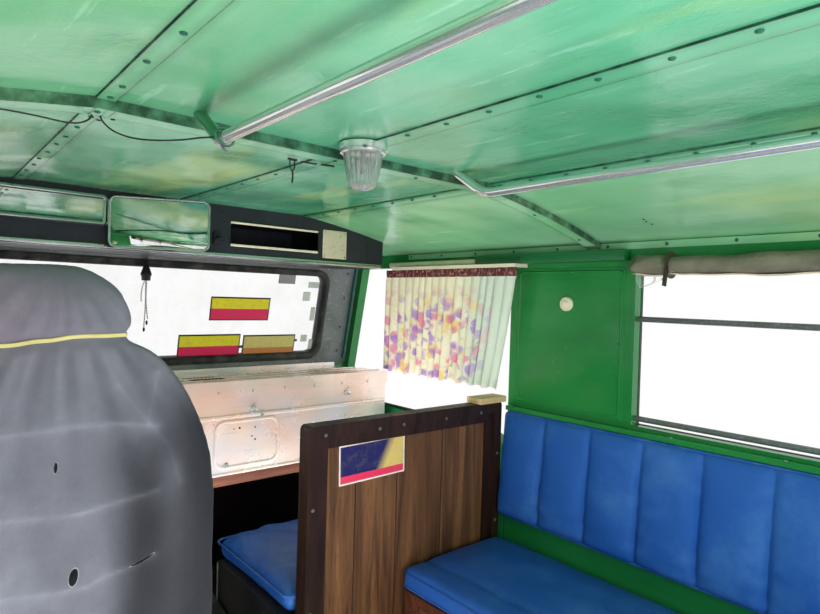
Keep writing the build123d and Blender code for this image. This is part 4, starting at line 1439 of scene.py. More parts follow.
@dataclass
class LooseWires:
    """The two thin wires that hang under the cab bow, each out of the left cover strip."""

    radius: float = 0.0012
    rail_route: tuple[Point, ...] = (
        (0.934, 0.372, 1.4025),
        (0.934, 0.372, 1.3905),
        (0.929, 0.358, 1.374),
        (0.908, 0.336, 1.363),
        (0.872, 0.312, 1.358),
        (0.836, 0.289, 1.357),
        (0.806, 0.274, 1.358),
        (0.786, 0.2655, 1.356),
    )
    bow_route: tuple[Point, ...] = (
        (0.941, 0.378, 1.4025),
        (0.941, 0.378, 1.3905),
        (0.936, 0.392, 1.378),
        (0.922, 0.414, 1.371),
        (0.906, 0.446, 1.369),
        (0.893, 0.486, 1.366),
        (0.884, 0.526, 1.361),
        (0.877, 0.562, 1.361),
        (0.872, 0.590, 1.368),
        (0.870, 0.600, 1.3706),
    )
    rail_length: float = 0.2068
    bow_length: float = 0.2528

    def wire(self, name: str, route: tuple[Point, ...], length: float) -> bpy.types.Object:
        """A smooth curve with the route's points as its control points.

        Args:
            name: the CAD node that it replaces.
            route: its control points.
            length: its real length; not used.

        Returns:
            The wire's object.
        """
        curve = bpy.data.curves.new(name, "CURVE")
        curve.dimensions = "3D"
        curve.bevel_depth = self.radius
        curve.bevel_resolution = 3
        curve.use_fill_caps = True
        curve.resolution_u = 12
        spline = curve.splines.new("NURBS")
        spline.points.add(len(route) - 1)
        for point, place in zip(spline.points, route):
            point.co = (*place, 1)
        spline.order_u = 3
        spline.use_endpoint_u = True
        curve.materials.append(RUBBER.material())
        wire = bpy.data.objects.new(name, curve)
        bpy.context.scene.collection.objects.link(wire)
        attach(wire, "cabin")
        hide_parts(name)
        return wire

    def build(self) -> None:
        """Makes both wires."""
        self.wire("rail_wire", self.rail_route, self.rail_length).name = "rail_wire_cord"
        self.wire("bow_wire", self.bow_route, self.bow_length).name = "bow_wire_cord"


def ceiling_height(y: Array | float) -> Array:
    """Height of the ceiling's underside: flat to the kink, then the slope bowed by 9 mm."""
    along = np.clip((np.abs(y) - 0.383) / (0.830 - 0.383), 0, 1)
    return 1.405 - 0.091 * along + 0.009 * (1 - (2 * along - 1) ** 2) * (along > 0)


@dataclass
class Ceiling:
    """Screws, holes and the small fittings on the ceiling's sheets and strips."""

    strip_z: float = 1.4025
    head: float = 0.0042
    bows: tuple[float, ...] = (0.906, -0.140, -1.180)
    left_seam: tuple[float, ...] = (0.708, 0.812, 0.870, 0.938, 0.984, 1.060, 1.141, 1.212, 1.292)
    left_pitch: float = 0.078
    middle_pitch: float = 0.0817
    right_pitch: float = 0.083
    rear_pitch: float = 0.1
    header_x: float = 1.66
    rear_x: float = -1.98
    bow_half: float = 0.026
    scatter: float = 0.0016

    def seam(self, ahead: float, behind: float, pitch: float, y: float, z: float) -> Array:
        """Places along a seam.

        Args:
            ahead: where the run to the header starts.
            behind: where the run to the rear starts.
            pitch: the step between two places.
            y: the seam's place across the cabin.
            z: the seam's height.

        Returns:
            Places, shape (k, 3).
        """
        ways = [np.arange(ahead, self.header_x, pitch), np.arange(behind, self.rear_x, -pitch)]
        x = np.concatenate(ways)
        return np.column_stack([x, 0 * x + y, 0 * x + z])

    def screws(self) -> tuple[Array, Array]:
        """Places and outward directions of every screw head."""
        draw = np.random.default_rng(11)
        seam = list(self.left_seam)
        seam += list(np.arange(seam[-1] + self.left_pitch, self.header_x - 0.01, self.left_pitch))
        seam += list(np.arange(seam[0] - self.rear_pitch, self.rear_x, -self.rear_pitch))
        left = np.array([(x, 0.3735 + 0.004 * max(0, x - 1.1) / 0.3, self.strip_z) for x in seam])
        middle = self.seam(1.145, 0.80, self.middle_pitch, -0.0115, self.strip_z)
        right = self.seam(1.075, 0.868, self.right_pitch, -0.399, ceiling_height(0.399) - 0.0025)
        flat = np.concatenate([left, middle, right])
        flat[:, :2] += draw.normal(0, self.scatter, (len(flat), 2))
        flat = flat[np.all([np.abs(flat[:, 0] - x) > self.bow_half for x in self.bows], axis=0)]
        along = np.arange(self.rear_x, self.header_x, 0.158)
        eaves = two_sided(np.column_stack([along, 0 * along - 0.8275, 0 * along + 1.3035]))
        y = np.linspace(-0.76, 0.76, 9)
        bows = [np.column_stack([0 * y + x, y, ceiling_height(y) - 0.015]) for x in self.bows]
        places = np.concatenate([flat, eaves, *bows])
        ways = np.tile((0.0, 0.0, -1.0), (len(places), 1))
        ways[len(flat) : len(flat) + len(eaves)] = sideways(eaves, -1)
        return places, ways

    def holes(self) -> Skin:
        """A slot and three holes in the right slope, and four holes by the left strip."""
        slope = math.atan2(0.091, 0.447)
        turn = basis((1, 0, 0), (0, -math.cos(slope), -math.sin(slope)))
        small, large = (turned([(r, -0.0006), (r, 0.0006)], 10) for r in (0.0026, 0.0032))
        holes = [moved(slab(0.020, 0.012, 0.0016, 0.002, 0.0003), (0.746, -0.745, 1.3392), turn)]
        for x, y in ((0.700, -0.700), (0.702, -0.715), (0.697, -0.732)):
            holes.append(moved(small, (x, y, float(ceiling_height(y)) - 0.0002), turn))
        for x, y in ((0.893, 0.343), (1.006, 0.356), (0.986, 0.341), (0.950, 0.357)):
            holes.append(moved(large, (x, y, 1.4048)))
        return joined(holes)

    def hook(self) -> Skin:
        """The wire hook that hangs out of the middle seam."""
        shapes = [rod((0.994, 0.026, 1.4005), (0.994, 0.044, 1.4005), 0.0022)]
        for y in (0.030, 0.040):
            leg = [(0.994, y, 1.402), (0.994, y, 1.386), (0.993, 0.035, 1.378)]
            shapes.append(bent_tube(leg, 0.006, 0.0013, count=8))
        tail = [(0.993, 0.035, 1.380), (0.9925, 0.034, 1.370), (0.991, 0.036, 1.357)]
        return joined([*shapes, bent_tube(tail, 0.005, 0.0016, count=8)])

    def build(self) -> None:
        """Makes the screws, the holes, the hook and two ends of tape beside it."""
        places, ways = self.screws()
        heads("ceiling_screws", places, ways, SCREW_GREEN, self.head)
        make("ceiling_holes", self.holes(), HOLE_SHADE)
        make("seam_hook", self.hook(), BLACK_PLASTIC)
        tape = [
            rod((0.993, 0.018, 1.3995), (0.985, -0.012, 1.3985), 0.0016, 8),
            rod((0.983, -0.020, 1.3990), (0.975, -0.044, 1.3985), 0.0018, 8),
        ]
        make("seam_tape_ends", joined(tape), BLACK_PLASTIC)


@dataclass
class GrabRails:
    """The two polished rails, the green end of the left one, their fixings, and the door poles."""

    y: float = 0.258
    z: float = 1.355
    r: float = 0.0085
    foot_z: float = 1.4055
    front: float = 0.862
    knee: float = 0.787
    rear: float = -1.900
    rear_knee: float = -1.795
    bend: float = 0.026
    hangers: tuple[float, ...] = (-0.520, -1.400)
    wall_x: float = -2.050
    pole_x: float = -2.110
    pole_y: float = 0.372
    pole_z: tuple[float, float] = (0.560, 1.250)

    def rails(self) -> list[Skin]:
        """The whole right rail, and the left one from its painted end back."""
        sides = []
        for y in (-self.y, self.y):
            low = [(self.knee, y, self.z), (self.rear_knee, y, self.z)]
            corners = [(self.front, y, self.foot_z), *low, (self.rear, y, self.foot_z)]
            sides.append(rounded_path(corners, self.bend, 12))
        right, left = sides
        cut = int(np.argmin(np.abs(left[:, 0] - self.knee) + (left[:, 2] > self.z + 1e-4)))
        behind = left[cut + 1 :]
        chrome = np.concatenate([[(0.792, self.y, self.z)], behind[behind[:, 0] < 0.78]])
        return [tube(path, self.r, 24) for path in (right, chrome)]

    def fixings(self) -> tuple[list[Skin], Array]:
        """The left rail's hangers with their flanges, and the places of their screws."""
        shapes, screws = [], []
        flange = turned([(0.020, 0), (0.020, 0.0022), (0.0185, 0.004), (0.006, 0.005)], 24)
        ring = 0.013 * np.column_stack([np.cos(angles(3, 0.4)), np.sin(angles(3, 0.4))])
        for x in self.hangers:
            shapes.append(rod((x, self.y, self.z), (x, self.y, 1.404), 0.005))
            shapes.append(moved(flange, (x, self.y, 1.405), np.diag([1.0, -1.0, -1.0])))
            screws.append(laid(ring + (x, self.y), 1.4012))
        return shapes, np.concatenate(screws)

    def clamp(self) -> Skin:
        """A wire twisted round the left rail, with a short free end."""
        x, angle = 0.772, angles(28)
        ring = [x + 0.004 * np.sin(angle), self.y + 0.0122 * np.cos(angle), self.z + 0.0122 * np.sin(angle)]
        end = rod((x, self.y + 0.006, self.z - 0.011), (x - 0.002, self.y - 0.002, self.z - 0.019), 0.0016, 8)
        return joined([tube(np.column_stack(ring), 0.0016, 10, closed=True), end])

    def build(self) -> None:
        """Makes the rails and what holds them."""
        low, high = self.pole_z
        corners = [(self.wall_x, self.pole_y, low), (self.pole_x, self.pole_y, low)]
        corners += [(self.pole_x, self.pole_y, high), (self.wall_x, self.pole_y, high)]
        pole = bent_tube(corners, 0.032, 0.0125, 10, 20)
        fixings, screws = self.fixings()
        tubes = joined([*self.rails(), both(joined([*fixings, pole]))])
        make("grab_rail_tubes", tubes, CHROME, replaces=("grab_rails",), crease=50)
        corners = [(0.768, self.y, self.z), (self.knee, self.y, self.z), (self.front, self.y, self.foot_z)]
        end = bent_tube(corners, 0.02, self.r + 0.0003, 12, 24)
        make("left_rail_end", end, GREEN, replaces=("left_rail_elbow",))
        heads("hanger_screws", two_sided(screws), (0, 0, -1), ZINC, 0.003, 0.0018)
        make("rail_wire_clamp", self.clamp(), ZINC)
        foot = turned([(0.028, 0), (0.028, 0.003), (0.015, 0.006)], 24)
        turn = basis((0, 1, 0), (0, 0, -1))
        feet = [moved(foot, (self.wall_x, self.pole_y, z), turn) for z in self.pole_z]
        make("pole_flanges", both(joined(feet)), CHROME)


@dataclass
class DomeLamp:
    """The jar lamp behind the cab bow: chromed collar, fluted glass and a small bulb."""

    x: float = 0.821
    ring_z: float = 1.3935
    tip_z: float = 1.327
    top_r: float = 0.0315
    flutes: int = 20

    def glass(self) -> Skin:
        """The jar: its radius runs down a bowed line into a round tip, waved round by flutes.

        The inner wall is the same line 2.4 mm further in, without flutes.
        """
        down = np.linspace(0, 1, 40)
        bend = np.clip((down - 0.80) / 0.20, 0, 1)
        radius = (self.top_r - 0.0118 * down**1.35) * np.sqrt(np.clip(1 - bend**2.2, 0, 1)) + 0.0012
        z = self.ring_z + 0.001 - down * (self.ring_z + 0.001 - self.tip_z)
        angle = angles(160)
        depth = 0.0009 * np.clip(down * 12, 0, 1) * np.clip((1 - down) * 4, 0, 1)
        outer = radius[:, None] + depth[:, None] * np.cos(self.flutes * angle)
        inner = np.maximum(radius - 0.0026, 0.0006)[:, None] + 0 * angle
        r = np.concatenate([inner[::-1], outer])
        height = np.concatenate([(z + 0.0026 * bend + 0.0004)[::-1], z])
        rings = [self.x + r * np.cos(angle), r * np.sin(angle), height[:, None] + 0 * r]
        return lattice(np.stack(rings, -1), around=True, lids=True)

    def build(self) -> None:
        """Makes the jar, the collar's lip and screws, and the bulb."""
        make("dome_lamp_jar", self.glass(), LENS_GLASS, replaces=("dome_lamp_lens",), crease=60)
        profile = [(0.0325, 0), (0.0365, 0), (0.0388, -0.0025), (0.0382, -0.006), (0.0345, -0.0075)]
        lip = turned([*profile, (0.0325, -0.006)], 36)
        make("dome_lamp_lip", moved(lip, (self.x, 0, self.ring_z)), CHROME)
        angle = angles(3, 0.5)
        ears = laid(0.0385 * np.column_stack([np.cos(angle), np.sin(angle)]), self.ring_z - 0.001)
        heads("dome_lamp_screws", ears + (self.x, 0, 0), (0, 0, -1), ZINC, 0.004, 0.003)
        profile = [(0.005, 0.0), (0.0055, -0.012), (0.011, -0.020), (0.0125, -0.027), (0.009, -0.035)]
        bulb = turned([*profile, (0.003, -0.0385)], 20)
        make("dome_lamp_bulb", moved(bulb, (self.x, 0, 1.3925)), FROSTED)


@dataclass
class OverheadConsole:
    """Trim, pocket lips, blank plate and mirror strip of the shelf over the windscreen."""

    x: float = 1.670
    half: float = 0.700
    low: float = 1.258
    pocket_y: tuple[float, float] = (-0.440, -0.145)
    pocket_z: tuple[float, float] = (1.292, 1.360)
    strip_y: tuple[float, float] = (0.190, 0.600)
    strip_z: tuple[float, float] = (1.316, 1.384)
    plate: tuple[float, float] = (-0.504, 1.322)

    def on_face(self, skin: Skin, y: float, z: float, off: float = 0.0) -> Skin:
        """Sets a shape drawn in the XY plane on the console's face."""
        return moved(skin, (self.x - off, y, z), FACING_REAR)

    def ledge(
        self, y: tuple[float, float], z: tuple[float, float], off: float, back: float, bevel: float
    ) -> Skin:
        """A board across the face, from off in front of it to back behind it."""
        return board((self.x - off, y[0], z[0]), (self.x + back, y[1], z[1]), bevel)

    def pocket(self) -> None:
        """The open pocket's cream lips and dark edge."""
        (left, right), (low, high) = self.pocket_y, self.pocket_z
        lips = [
            self.ledge(self.pocket_y, (high - 0.004, high + 0.001), 0.003, 0.012, 0.001),
            self.ledge(self.pocket_y, (low - 0.003, low + 0.004), 0.004, 0.012, 0.001),
        ]
        make("pocket_lips", joined(lips), CREAM)
        section = [(0.0, -0.012), (0.0, 0.0012), (0.006, 0.0012), (0.006, -0.001)]
        edge = rim(right - left, high - low, 0.004, section, 4)
        edge = self.on_face(edge, (left + right) / 2, (low + high) / 2)
        make("pocket_edge", edge, BLACK_PLASTIC)

    def build(self) -> None:
        """Makes everything on the console's face."""
        ends = (-self.half, self.half)
        trim = self.ledge(ends, (self.low - 0.004, self.low + 0.009), 0.004, 0.010, 0.002)
        make("console_edge_trim", trim, SILVER_TRIM)
        self.pocket()
        y, z = self.plate
        plate = self.on_face(slab(0.092, 0.092, 0.003, 0.003, 0.0008), y, z, 0.0015)
        make("console_blank_plate", plate, PLATE)
        pins = np.array([(self.x - 0.003, y + a, z + b) for a in (-0.039, 0.039) for b in (-0.039, 0.039)])
        heads("blank_plate_screws", pins, (-1, 0, 0), ZINC, 0.0028, 0.0016)
        width, height = self.strip_y[1] - self.strip_y[0], self.strip_z[1] - self.strip_z[0]
        section = [(-0.003, 0.0), (-0.003, 0.0145), (0.0, 0.0165), (0.005, 0.0165), (0.008, 0.0145)]
        surround = rim(width - 0.006, height - 0.006, 0.006, [*section, (0.008, 0.0)])
        surround = self.on_face(surround, sum(self.strip_y) / 2, sum(self.strip_z) / 2)
        make("console_mirror_frame", surround, SILVER_TRIM)
        clip = [
            self.ledge((-0.114, -0.092), (1.292, 1.326), 0.010, 0.001, 0.002),
            rod((self.x - 0.008, -0.103, 1.309), (self.x - 0.030, -0.103, 1.304), 0.006, 16),
            self.ledge((-0.117, -0.089), (1.300, 1.309), 0.034, -0.026, 0.0025),
        ]
        make("console_clip", joined(clip), BLACK_PLASTIC)
        spots = [(self.x, y, 1.274) for y in np.linspace(-0.66, 0.66, 9)]
        spots += [(self.x, y, 1.389 - 0.02 * abs(y) / 0.66) for y in (-0.36, -0.12, 0.12)]
        heads("console_screws", np.array(spots), (-1, 0, 0), BLACK_PLASTIC, 0.004, 0.002)
        seams = [
            self.ledge((y, y + 0.003), (1.262, top), 0.0012, 0.001, 0.0005)
            for y, top in ((-0.640, 1.345), (0.150, 1.395))
        ]
        make("console_seams", joined(seams), BLACK_PLASTIC)


@dataclass
class RearViewMirror:
    """The round-cornered mirror on its ball: dark shell, bright frame, glass."""

    ball: Point = (1.606, 0.070, 1.323)
    yaw: float = 25.0
    width: float = 0.242
    height: float = 0.130
    thick: float = 0.016
    corner: float = 0.018
    behind: float = 0.0173

    def turned_to_driver(self, skin: Skin) -> Skin:
        """Takes a shape drawn facing up to the mirror's place, facing the driver."""
        yaw = about_z(math.radians(-self.yaw))
        centre = np.array(self.ball) + yaw @ (-self.behind, 0, 0)
        return moved(skin, tuple(centre), yaw @ FACING_REAR)

    def shell(self) -> Skin:
        """The back: outlines that shrink with the square of the way to its rear."""
        rings = [
            laid(
                round_outline(
                    self.width - 0.004 - 0.05 * d**2, self.height - 0.004 - 0.045 * d**2, self.corner, 8
                ),
                self.thick / 2 - 0.004 - (self.thick - 0.004) * d**0.7,
            )
            for d in np.linspace(0, 1, 6)
        ]
        return lattice(np.array(rings), around=True, lids=True)

    def build(self) -> None:
        """Makes the shell, the bright edge and the glass."""
        half, width, height = self.thick / 2, self.width - 0.008, self.height - 0.008
        shell = self.turned_to_driver(self.shell())
        make("mirror_shell", shell, BLACK_PLASTIC, "mirror", ("rear_view_mirror",), crease=30)
        section = [(-0.002, half - 0.005), (-0.002, half - 0.001), (0.0, half), (0.003, half)]
        section += [(0.004, half - 0.0015), (0.004, half - 0.007), (0.002, half - 0.008)]
        edge = self.turned_to_driver(rim(width, height, self.corner - 0.003, section, 10))
        make("mirror_edge", edge, SILVER_TRIM, "mirror")
        pane = slab(width - 0.001, height - 0.001, 0.003, self.corner - 0.004, 0.0004)
        pane = self.turned_to_driver(moved(pane, (0, 0, half - 0.003)))
        make("mirror_pane", pane, MIRROR_GLASS, "mirror")


@dataclass
class Windscreen:
    """Rubber seal, blank boards and stickers on the glass, hanging ornament, pillar edges."""

    foot: Point = (2.080, 0.0, 0.918)
    lean: float = 12.1
    half_width: float = 0.688
    top_z: float = 1.244
    corner: float = 0.045

    def on_glass(self, skin: Skin, y: float, s: float, off: float = 0.0) -> Skin:
        """Takes a shape drawn in the XY plane to the leaning glass, s up from its foot."""
        a = math.radians(self.lean)
        up, inward = np.array([-math.sin(a), 0, math.cos(a)]), np.array([-math.cos(a), 0, -math.sin(a)])
        place = np.array(self.foot) + up * s + inward * off + np.array([0, y, 0])
        return moved(skin, tuple(place), basis((0, -1, 0), tuple(up)))

    def length(self) -> float:
        """The glass's length up the slope."""
        return (self.top_z - self.foot[2]) / math.cos(math.radians(self.lean))

    def board(self, name: str, y: tuple[float, float], z: tuple[float, float], finish: Finish) -> None:
        """A thin blank board stuck on the inside of the glass.

        Args:
            name: the piece's name.
            y: its two ends across the cabin.
            z: its foot and top.
            finish: its bands.
        """
        a = math.cos(math.radians(self.lean))
        low, high = ((value - self.foot[2]) / a for value in z)
        flat = flat_card(y[1] - y[0], high - low, 0.0016)
        make(name, self.on_glass(flat, sum(y) / 2, (low + high) / 2, 0.0046), finish)

    def boards(self) -> None:
        """The blank boards and stickers at the right of the glass."""
        self.board("route_board_low_left", (-0.362, -0.139), (0.921, 1.006), BOARD_YELLOW_PINK)
        self.board("route_board_low_right", (-0.588, -0.374), (0.918, 1.001), BOARD_SAND)
        self.board("route_board_high", (-0.463, -0.238), (1.056, 1.140), BOARD_YELLOW_PINK_TALL)
        self.board("glass_sticker_square", (-0.556, -0.488), (1.196, 1.236), STICKER_GREY)
        pale = (
            (-0.615, 1.150, 0.030, 0.034),
            (-0.652, 1.082, 0.018, 0.052),
            (-0.640, 1.195, 0.045, 0.022),
            (-0.628, 0.985, 0.026, 0.026),
            (-0.661, 0.960, 0.016, 0.040),
        )
        for n, (y, z, w, h) in enumerate(pale):
            self.board(f"glass_sticker_{n}", (y - w / 2, y + w / 2), (z - h / 2, z + h / 2), STICKER_PALE)

    def ornament(self) -> None:
        """A dark tassel on a cord from the console, with three strings of beads below it."""
        x, y = 1.950, 0.003
        profile = [(0.002, 0.0), (0.005, -0.006), (0.008, -0.014), (0.0135, -0.030), (0.017, -0.040)]
        profile += [(0.014, -0.046), (0.013, -0.058), (0.0125, -0.0595)]
        cap = moved(turned(profile, 18), (x, y, 1.243))
        line = [(x - 0.02, y, 1.262), (x - 0.012, y, 1.262), (x, y, 1.256), (x, y, 1.244)]
        cord = tube(np.array(line), 0.0012, 8)
        angle = angles(20)
        loop = np.column_stack([x + 0 * angle, y + 0.005 * np.cos(angle), 1.249 + 0.006 * np.sin(angle)])
        make("ornament_cap", joined([cap, cord, tube(loop, 0.0014, 8, closed=True)]), BLACK_PLASTIC)
        profile = [(0.0005, -0.0022), (0.0019, -0.0012), (0.0024, 0), (0.0019, 0.0012), (0.0005, 0.0022)]
        ball = turned(profile, 8)
        places = []
        for dy, bottom, sway in ((-0.006, 1.062, 0.0035), (0.0025, 1.040, -0.002), (0.0095, 1.120, 0.004)):
            z = np.arange(1.184, bottom, -0.0049)
            t = (1.184 - z) / (1.184 - bottom)
            places.append(np.column_stack([x + 0 * z, y + dy * (0.4 + 0.9 * t) + sway * np.sin(3.1 * t), z]))
        make("ornament_beads", repeated(ball, np.concatenate(places)), BEAD_GREY)
        tip = turned([(0.001, 0.006), (0.0032, 0.002), (0.0035, -0.004), (0.001, -0.009)], 10)
        ends = np.array([(x, y - 0.0078 + 0.003, 1.054), (x, y + 0.003, 1.033)])
        make("ornament_tips", repeated(tip, ends), BLACK_PLASTIC)

    def seal(self, name: str, section: Profile) -> None:
        """One half of the rubber round the glass, as its section carried round the edge."""
        length = self.length()
        ring = rim(2 * self.half_width, length, self.corner, section, 12)
        make(name, self.on_glass(ring, 0.0, length / 2), OLD_RUBBER, crease=50)

    def pillar(self, side: int, word: str) -> None:
        """The painted strip and the bolts on one pillar beside the glass."""
        a = math.radians(self.lean)
        up, inward = np.array([-math.sin(a), 0, math.cos(a)]), np.array([-math.cos(a), 0, -math.sin(a)])
        start = np.array([2.0795, side * 0.812, 0.905]) + inward * 0.0205
        path = start + np.linspace(0, 0.385, 3)[:, None] * up
        make(f"pillar_edge_{word}", swept(path, strap(0.0025, 0.011)), PILLAR_BLUE)
        bolts = start + np.array([-0.002, side * -0.03, 0]) + np.array([[0.03], [0.13], [0.25], [0.35]]) * up
        heads(f"pillar_bolts_{word}", bolts, inward, STEEL, 0.0055, 0.003)

    def build(self) -> None:
        """Makes the seal, the cards, the ornament and the pillars' edges."""
        inside = [(-0.0135, 0.0028), (-0.0145, 0.008), (-0.0135, 0.016), (-0.008, 0.0235), (0.0, 0.0260)]
        inside += [(0.009, 0.0262), (0.0125, 0.0240), (0.0125, 0.0202), (0.0002, 0.0198), (0.0002, 0.0028)]
        outside = [(-0.012, -0.0028), (0.0002, -0.0028), (0.0002, -0.0198), (0.011, -0.0202)]
        outside += [(0.011, -0.0235), (-0.004, -0.0245), (-0.012, -0.014)]
        self.seal("windscreen_seal", inside)
        self.seal("windscreen_seal_outside", outside)
        self.boards()
        self.ornament()
        for side, word in SIDES:
            self.pillar(side, word)


@dataclass
class Dash:
    """Pressings, rivets, bolts, holes, vents and the wooden strip of the polished dash."""

    nose_x: float = 1.710
    panel_x: float = 1.720
    ledge_x: float = 2.063
    gauges_y: float = 0.45
    gauges_z: float = 0.8665

    def ledge_z(self, x: float) -> float:
        """Height of the falling ledge at x."""
        return 0.888 - 0.020 * (x - self.nose_x) / (self.ledge_x - self.nose_x)

    def on_panel(self, skin: Skin, y: float, z: float) -> Skin:
        """Sets a shape drawn in the XY plane on the knee panel."""
        return moved(skin, (self.panel_x, y, z), FACING_REAR)

    def pressings(self) -> Skin:
        """Two sunk panels, three long beads on the knee panel, and three on the ledge."""
        panel = rim(0.205, 0.138, 0.028, bead(0.011, 0.0034))
        shapes = [self.on_panel(panel, y, 0.694) for y in (-0.239, 0.06)]
        runs = ((-0.770, 0.330, 0.7785, 0.013, 0.0032), (0.520, 0.770, 0.7785, 0.013, 0.0032))
        for start, end, z, width, height in (*runs, (-0.770, 0.770, 0.606, 0.010, 0.004)):
            path = np.array([(self.panel_x, start, z), (self.panel_x, end, z)])
            shapes.append(swept(path, np.array(bead(width, height))[:, ::-1] * (-1, 1)))
        for x in (1.755, 1.835, 1.915):
            path = np.array([(x, -0.765, self.ledge_z(x)), (x, 0.765, self.ledge_z(x))])
            shapes.append(swept(path, np.array(bead(0.016, 0.0035))))
        return joined(shapes)

    def bolts(self) -> Skin:
        """Two knobs and two hexagon bolts on the knee panel."""
        profile = [(0.010, -0.001), (0.010, 0.002), (0.006, 0.004), (0.005, 0.011), (0.0075, 0.013)]
        knob = turned([*profile, (0.0075, 0.018), (0.004, 0.020)], 20)
        profile = [(0.009, -0.001), (0.009, 0.001), (0.0068, 0.0012), (0.0068, 0.006), (0.004, 0.007)]
        nut = turned(profile, 6)
        spots = ((knob, -0.252, 0.7925), (knob, -0.60, 0.82), (nut, -0.171, 0.631), (nut, -0.284, 0.7775))
        return joined([self.on_panel(shape, y, z) for shape, y, z in spots])

    def openings(self) -> None:
        """Small drilled holes in the knee panel, and rows of air slots in the ledge."""
        spots = (
            (-0.212, 0.741, 0.0034),
            (-0.263, 0.738, 0.0026),
            (-0.194, 0.740, 0.0022),
            (-0.253, 0.711, 0.0026),
            (-0.264, 0.700, 0.0032),
            (0.03, 0.71, 0.003),
            (0.09, 0.69, 0.003),
        )
        holes = [self.on_panel(turned([(r, -0.001), (r, 0.0005)], 12), y, z) for y, z, r in spots]
        make("dash_holes", joined(holes), HOLE_SHADE)
        ring = round_outline(0.034, 0.0055, 0.0027, 4)
        slot = lattice(np.array([laid(ring, z) for z in (-0.0005, 0.0005)]), around=True, lids=True)
        slots = [
            moved(slot, (x, y, self.ledge_z(x) + 0.0004))
            for x in (1.795, 1.812, 1.875)
            for y in np.arange(-0.66, 0.72, 0.012)
            if -0.195 < y < -0.09 or 0.22 < y < 0.60
        ]
        make("dash_vents", joined(slots), HOLE_SHADE)

    def switches(self) -> None:
        """The black plate above the column and the toggle switches on it."""
        place = (self.nose_x - 0.001, self.gauges_y, self.gauges_z)
        plate = moved(slab(0.300, 0.036, 0.003, 0.006, 0.001), place, FACING_REAR)
        make("switch_plate", plate, BLACK_PLASTIC)
        profile = [(0.006, 0), (0.006, 0.003), (0.003, 0.004), (0.0025, 0.012), (0.0035, 0.015)]
        toggle = turned([*profile, (0.002, 0.016)], 14)
        places = [(self.nose_x - 0.0025, y, self.gauges_z) for y in np.linspace(0.33, 0.57, 6)]
        toggles = joined([moved(toggle, place, FACING_REAR) for place in places])
        make("dash_switches", toggles, CHROME)

    def build(self) -> None:
        """Makes the details of the dash."""
        make("dash_pressings", self.pressings(), DASH_METAL)
        rivets = [(self.nose_x, y, 0.8535) for y in np.arange(-0.70, 0.76, 0.1095) + 0.0135]
        wall = ((-0.252, 0.7905), (-0.171, 0.631), (-0.60, 0.631), (-0.60, 0.74), (0.16, 0.631))
        places = np.array(rivets + [(self.panel_x, y, z) for y, z in wall])
        heads("dash_rivets", places, (-1, 0, 0), CHROME, 0.0042, 0.0024)
        make("dash_bolts", self.bolts(), CHROME)
        self.openings()
        strip = board((1.7225, -0.772, 0.569), (1.748, 0.772, 0.6013), 0.003)
        make("dash_wood_strip", strip, DARK_STRIP_WOOD)
        flange = board((2.055, -0.772, 0.860), (2.0665, 0.772, 0.8845), 0.002)
        make("dash_flange", flange, DASH_METAL)
        lining = board((2.107, -0.825, 0.150), (2.1155, 0.825, 0.822), 0.002)
        make("firewall_lining", lining, LINING)
        self.switches()


@dataclass
class Partition:
    """Screws, blank sticker and the bare block on the board behind the front bench."""

    x: float = 1.175
    panel_x: float = 1.193

    def build(self) -> None:
        """Makes the details of the partition."""
        spots = [(-0.172, 0.829), (-0.330, 0.826), (-0.408, 0.8275), (-0.56, 0.826), (-0.70, 0.828)]
        spots += [(-0.1425, z) for z in (0.20, 0.42, 0.66)] + [(-0.775, z) for z in (0.25, 0.5, 0.7)]
        places = np.array([(self.x, y, z) for y, z in spots])
        heads("partition_screws", places, (-1, 0, 0), STEEL, 0.0045, 0.0018)
        turn = FACING_REAR @ about_z(math.radians(1.2))
        card = moved(flat_card(0.204, 0.097, 0.0006), (self.panel_x - 0.0005, -0.3245, 0.7465), turn)
        make("partition_blank_sticker", card, STICKER_BANDS)
        block = board((1.166, -0.800, 0.8525), (1.222, -0.686, 0.870), 0.0015)
        make("partition_end_block", block, RAW_WOOD)
        low = board((1.186, -0.730, 0.205), (1.1935, -0.300, 0.262), 0.0012)
        make("partition_low_batten", low, PALE_BATTEN)


def rumple(points: Array, seed: int, size: float, depth: float) -> Array:
    """A smooth uneven height at each point: eight sine waves in drawn directions, added up.

    Args:
        points: places, shape (n, 3).
        seed: which waves are drawn.
        size: the typical length of a wave in metres.
        depth: the typical height in metres.

    Returns:
        Heights, shape (n,).
    """
    draw = np.random.default_rng(seed)
    ways = draw.normal(size=(8, 3))
    ways *= (2 * np.pi / size / draw.uniform(0.6, 1.6, 8) / np.linalg.norm(ways, axis=1))[:, None]
    return depth * np.sin(points @ ways.T + draw.uniform(0, 6.28, 8)).sum(1) / 2.8


def even_outline(width: float, height: float, radius: float, count: int) -> Array:
    """A round-cornered rectangle as points that are evenly spaced along it.

    Args:
        width: its length along X.
        height: its length along Y.
        radius: of its corners.
        count: how many points.

    Returns:
        Points, shape (count, 2).
    """
    ring = round_outline(width, height, radius, 10)
    ring = np.concatenate([ring, ring[:1]])
    along = np.concatenate([[0], np.cumsum(np.linalg.norm(np.diff(ring, axis=0), axis=1))])
    want = np.arange(count) / count * along[-1]
    return np.column_stack([np.interp(want, along, ring[:, k]) for k in (0, 1)])


SEAM_ROWS = np.array([-0.018, -0.009, -0.004, 0.0, 0.004, 0.009, 0.018])


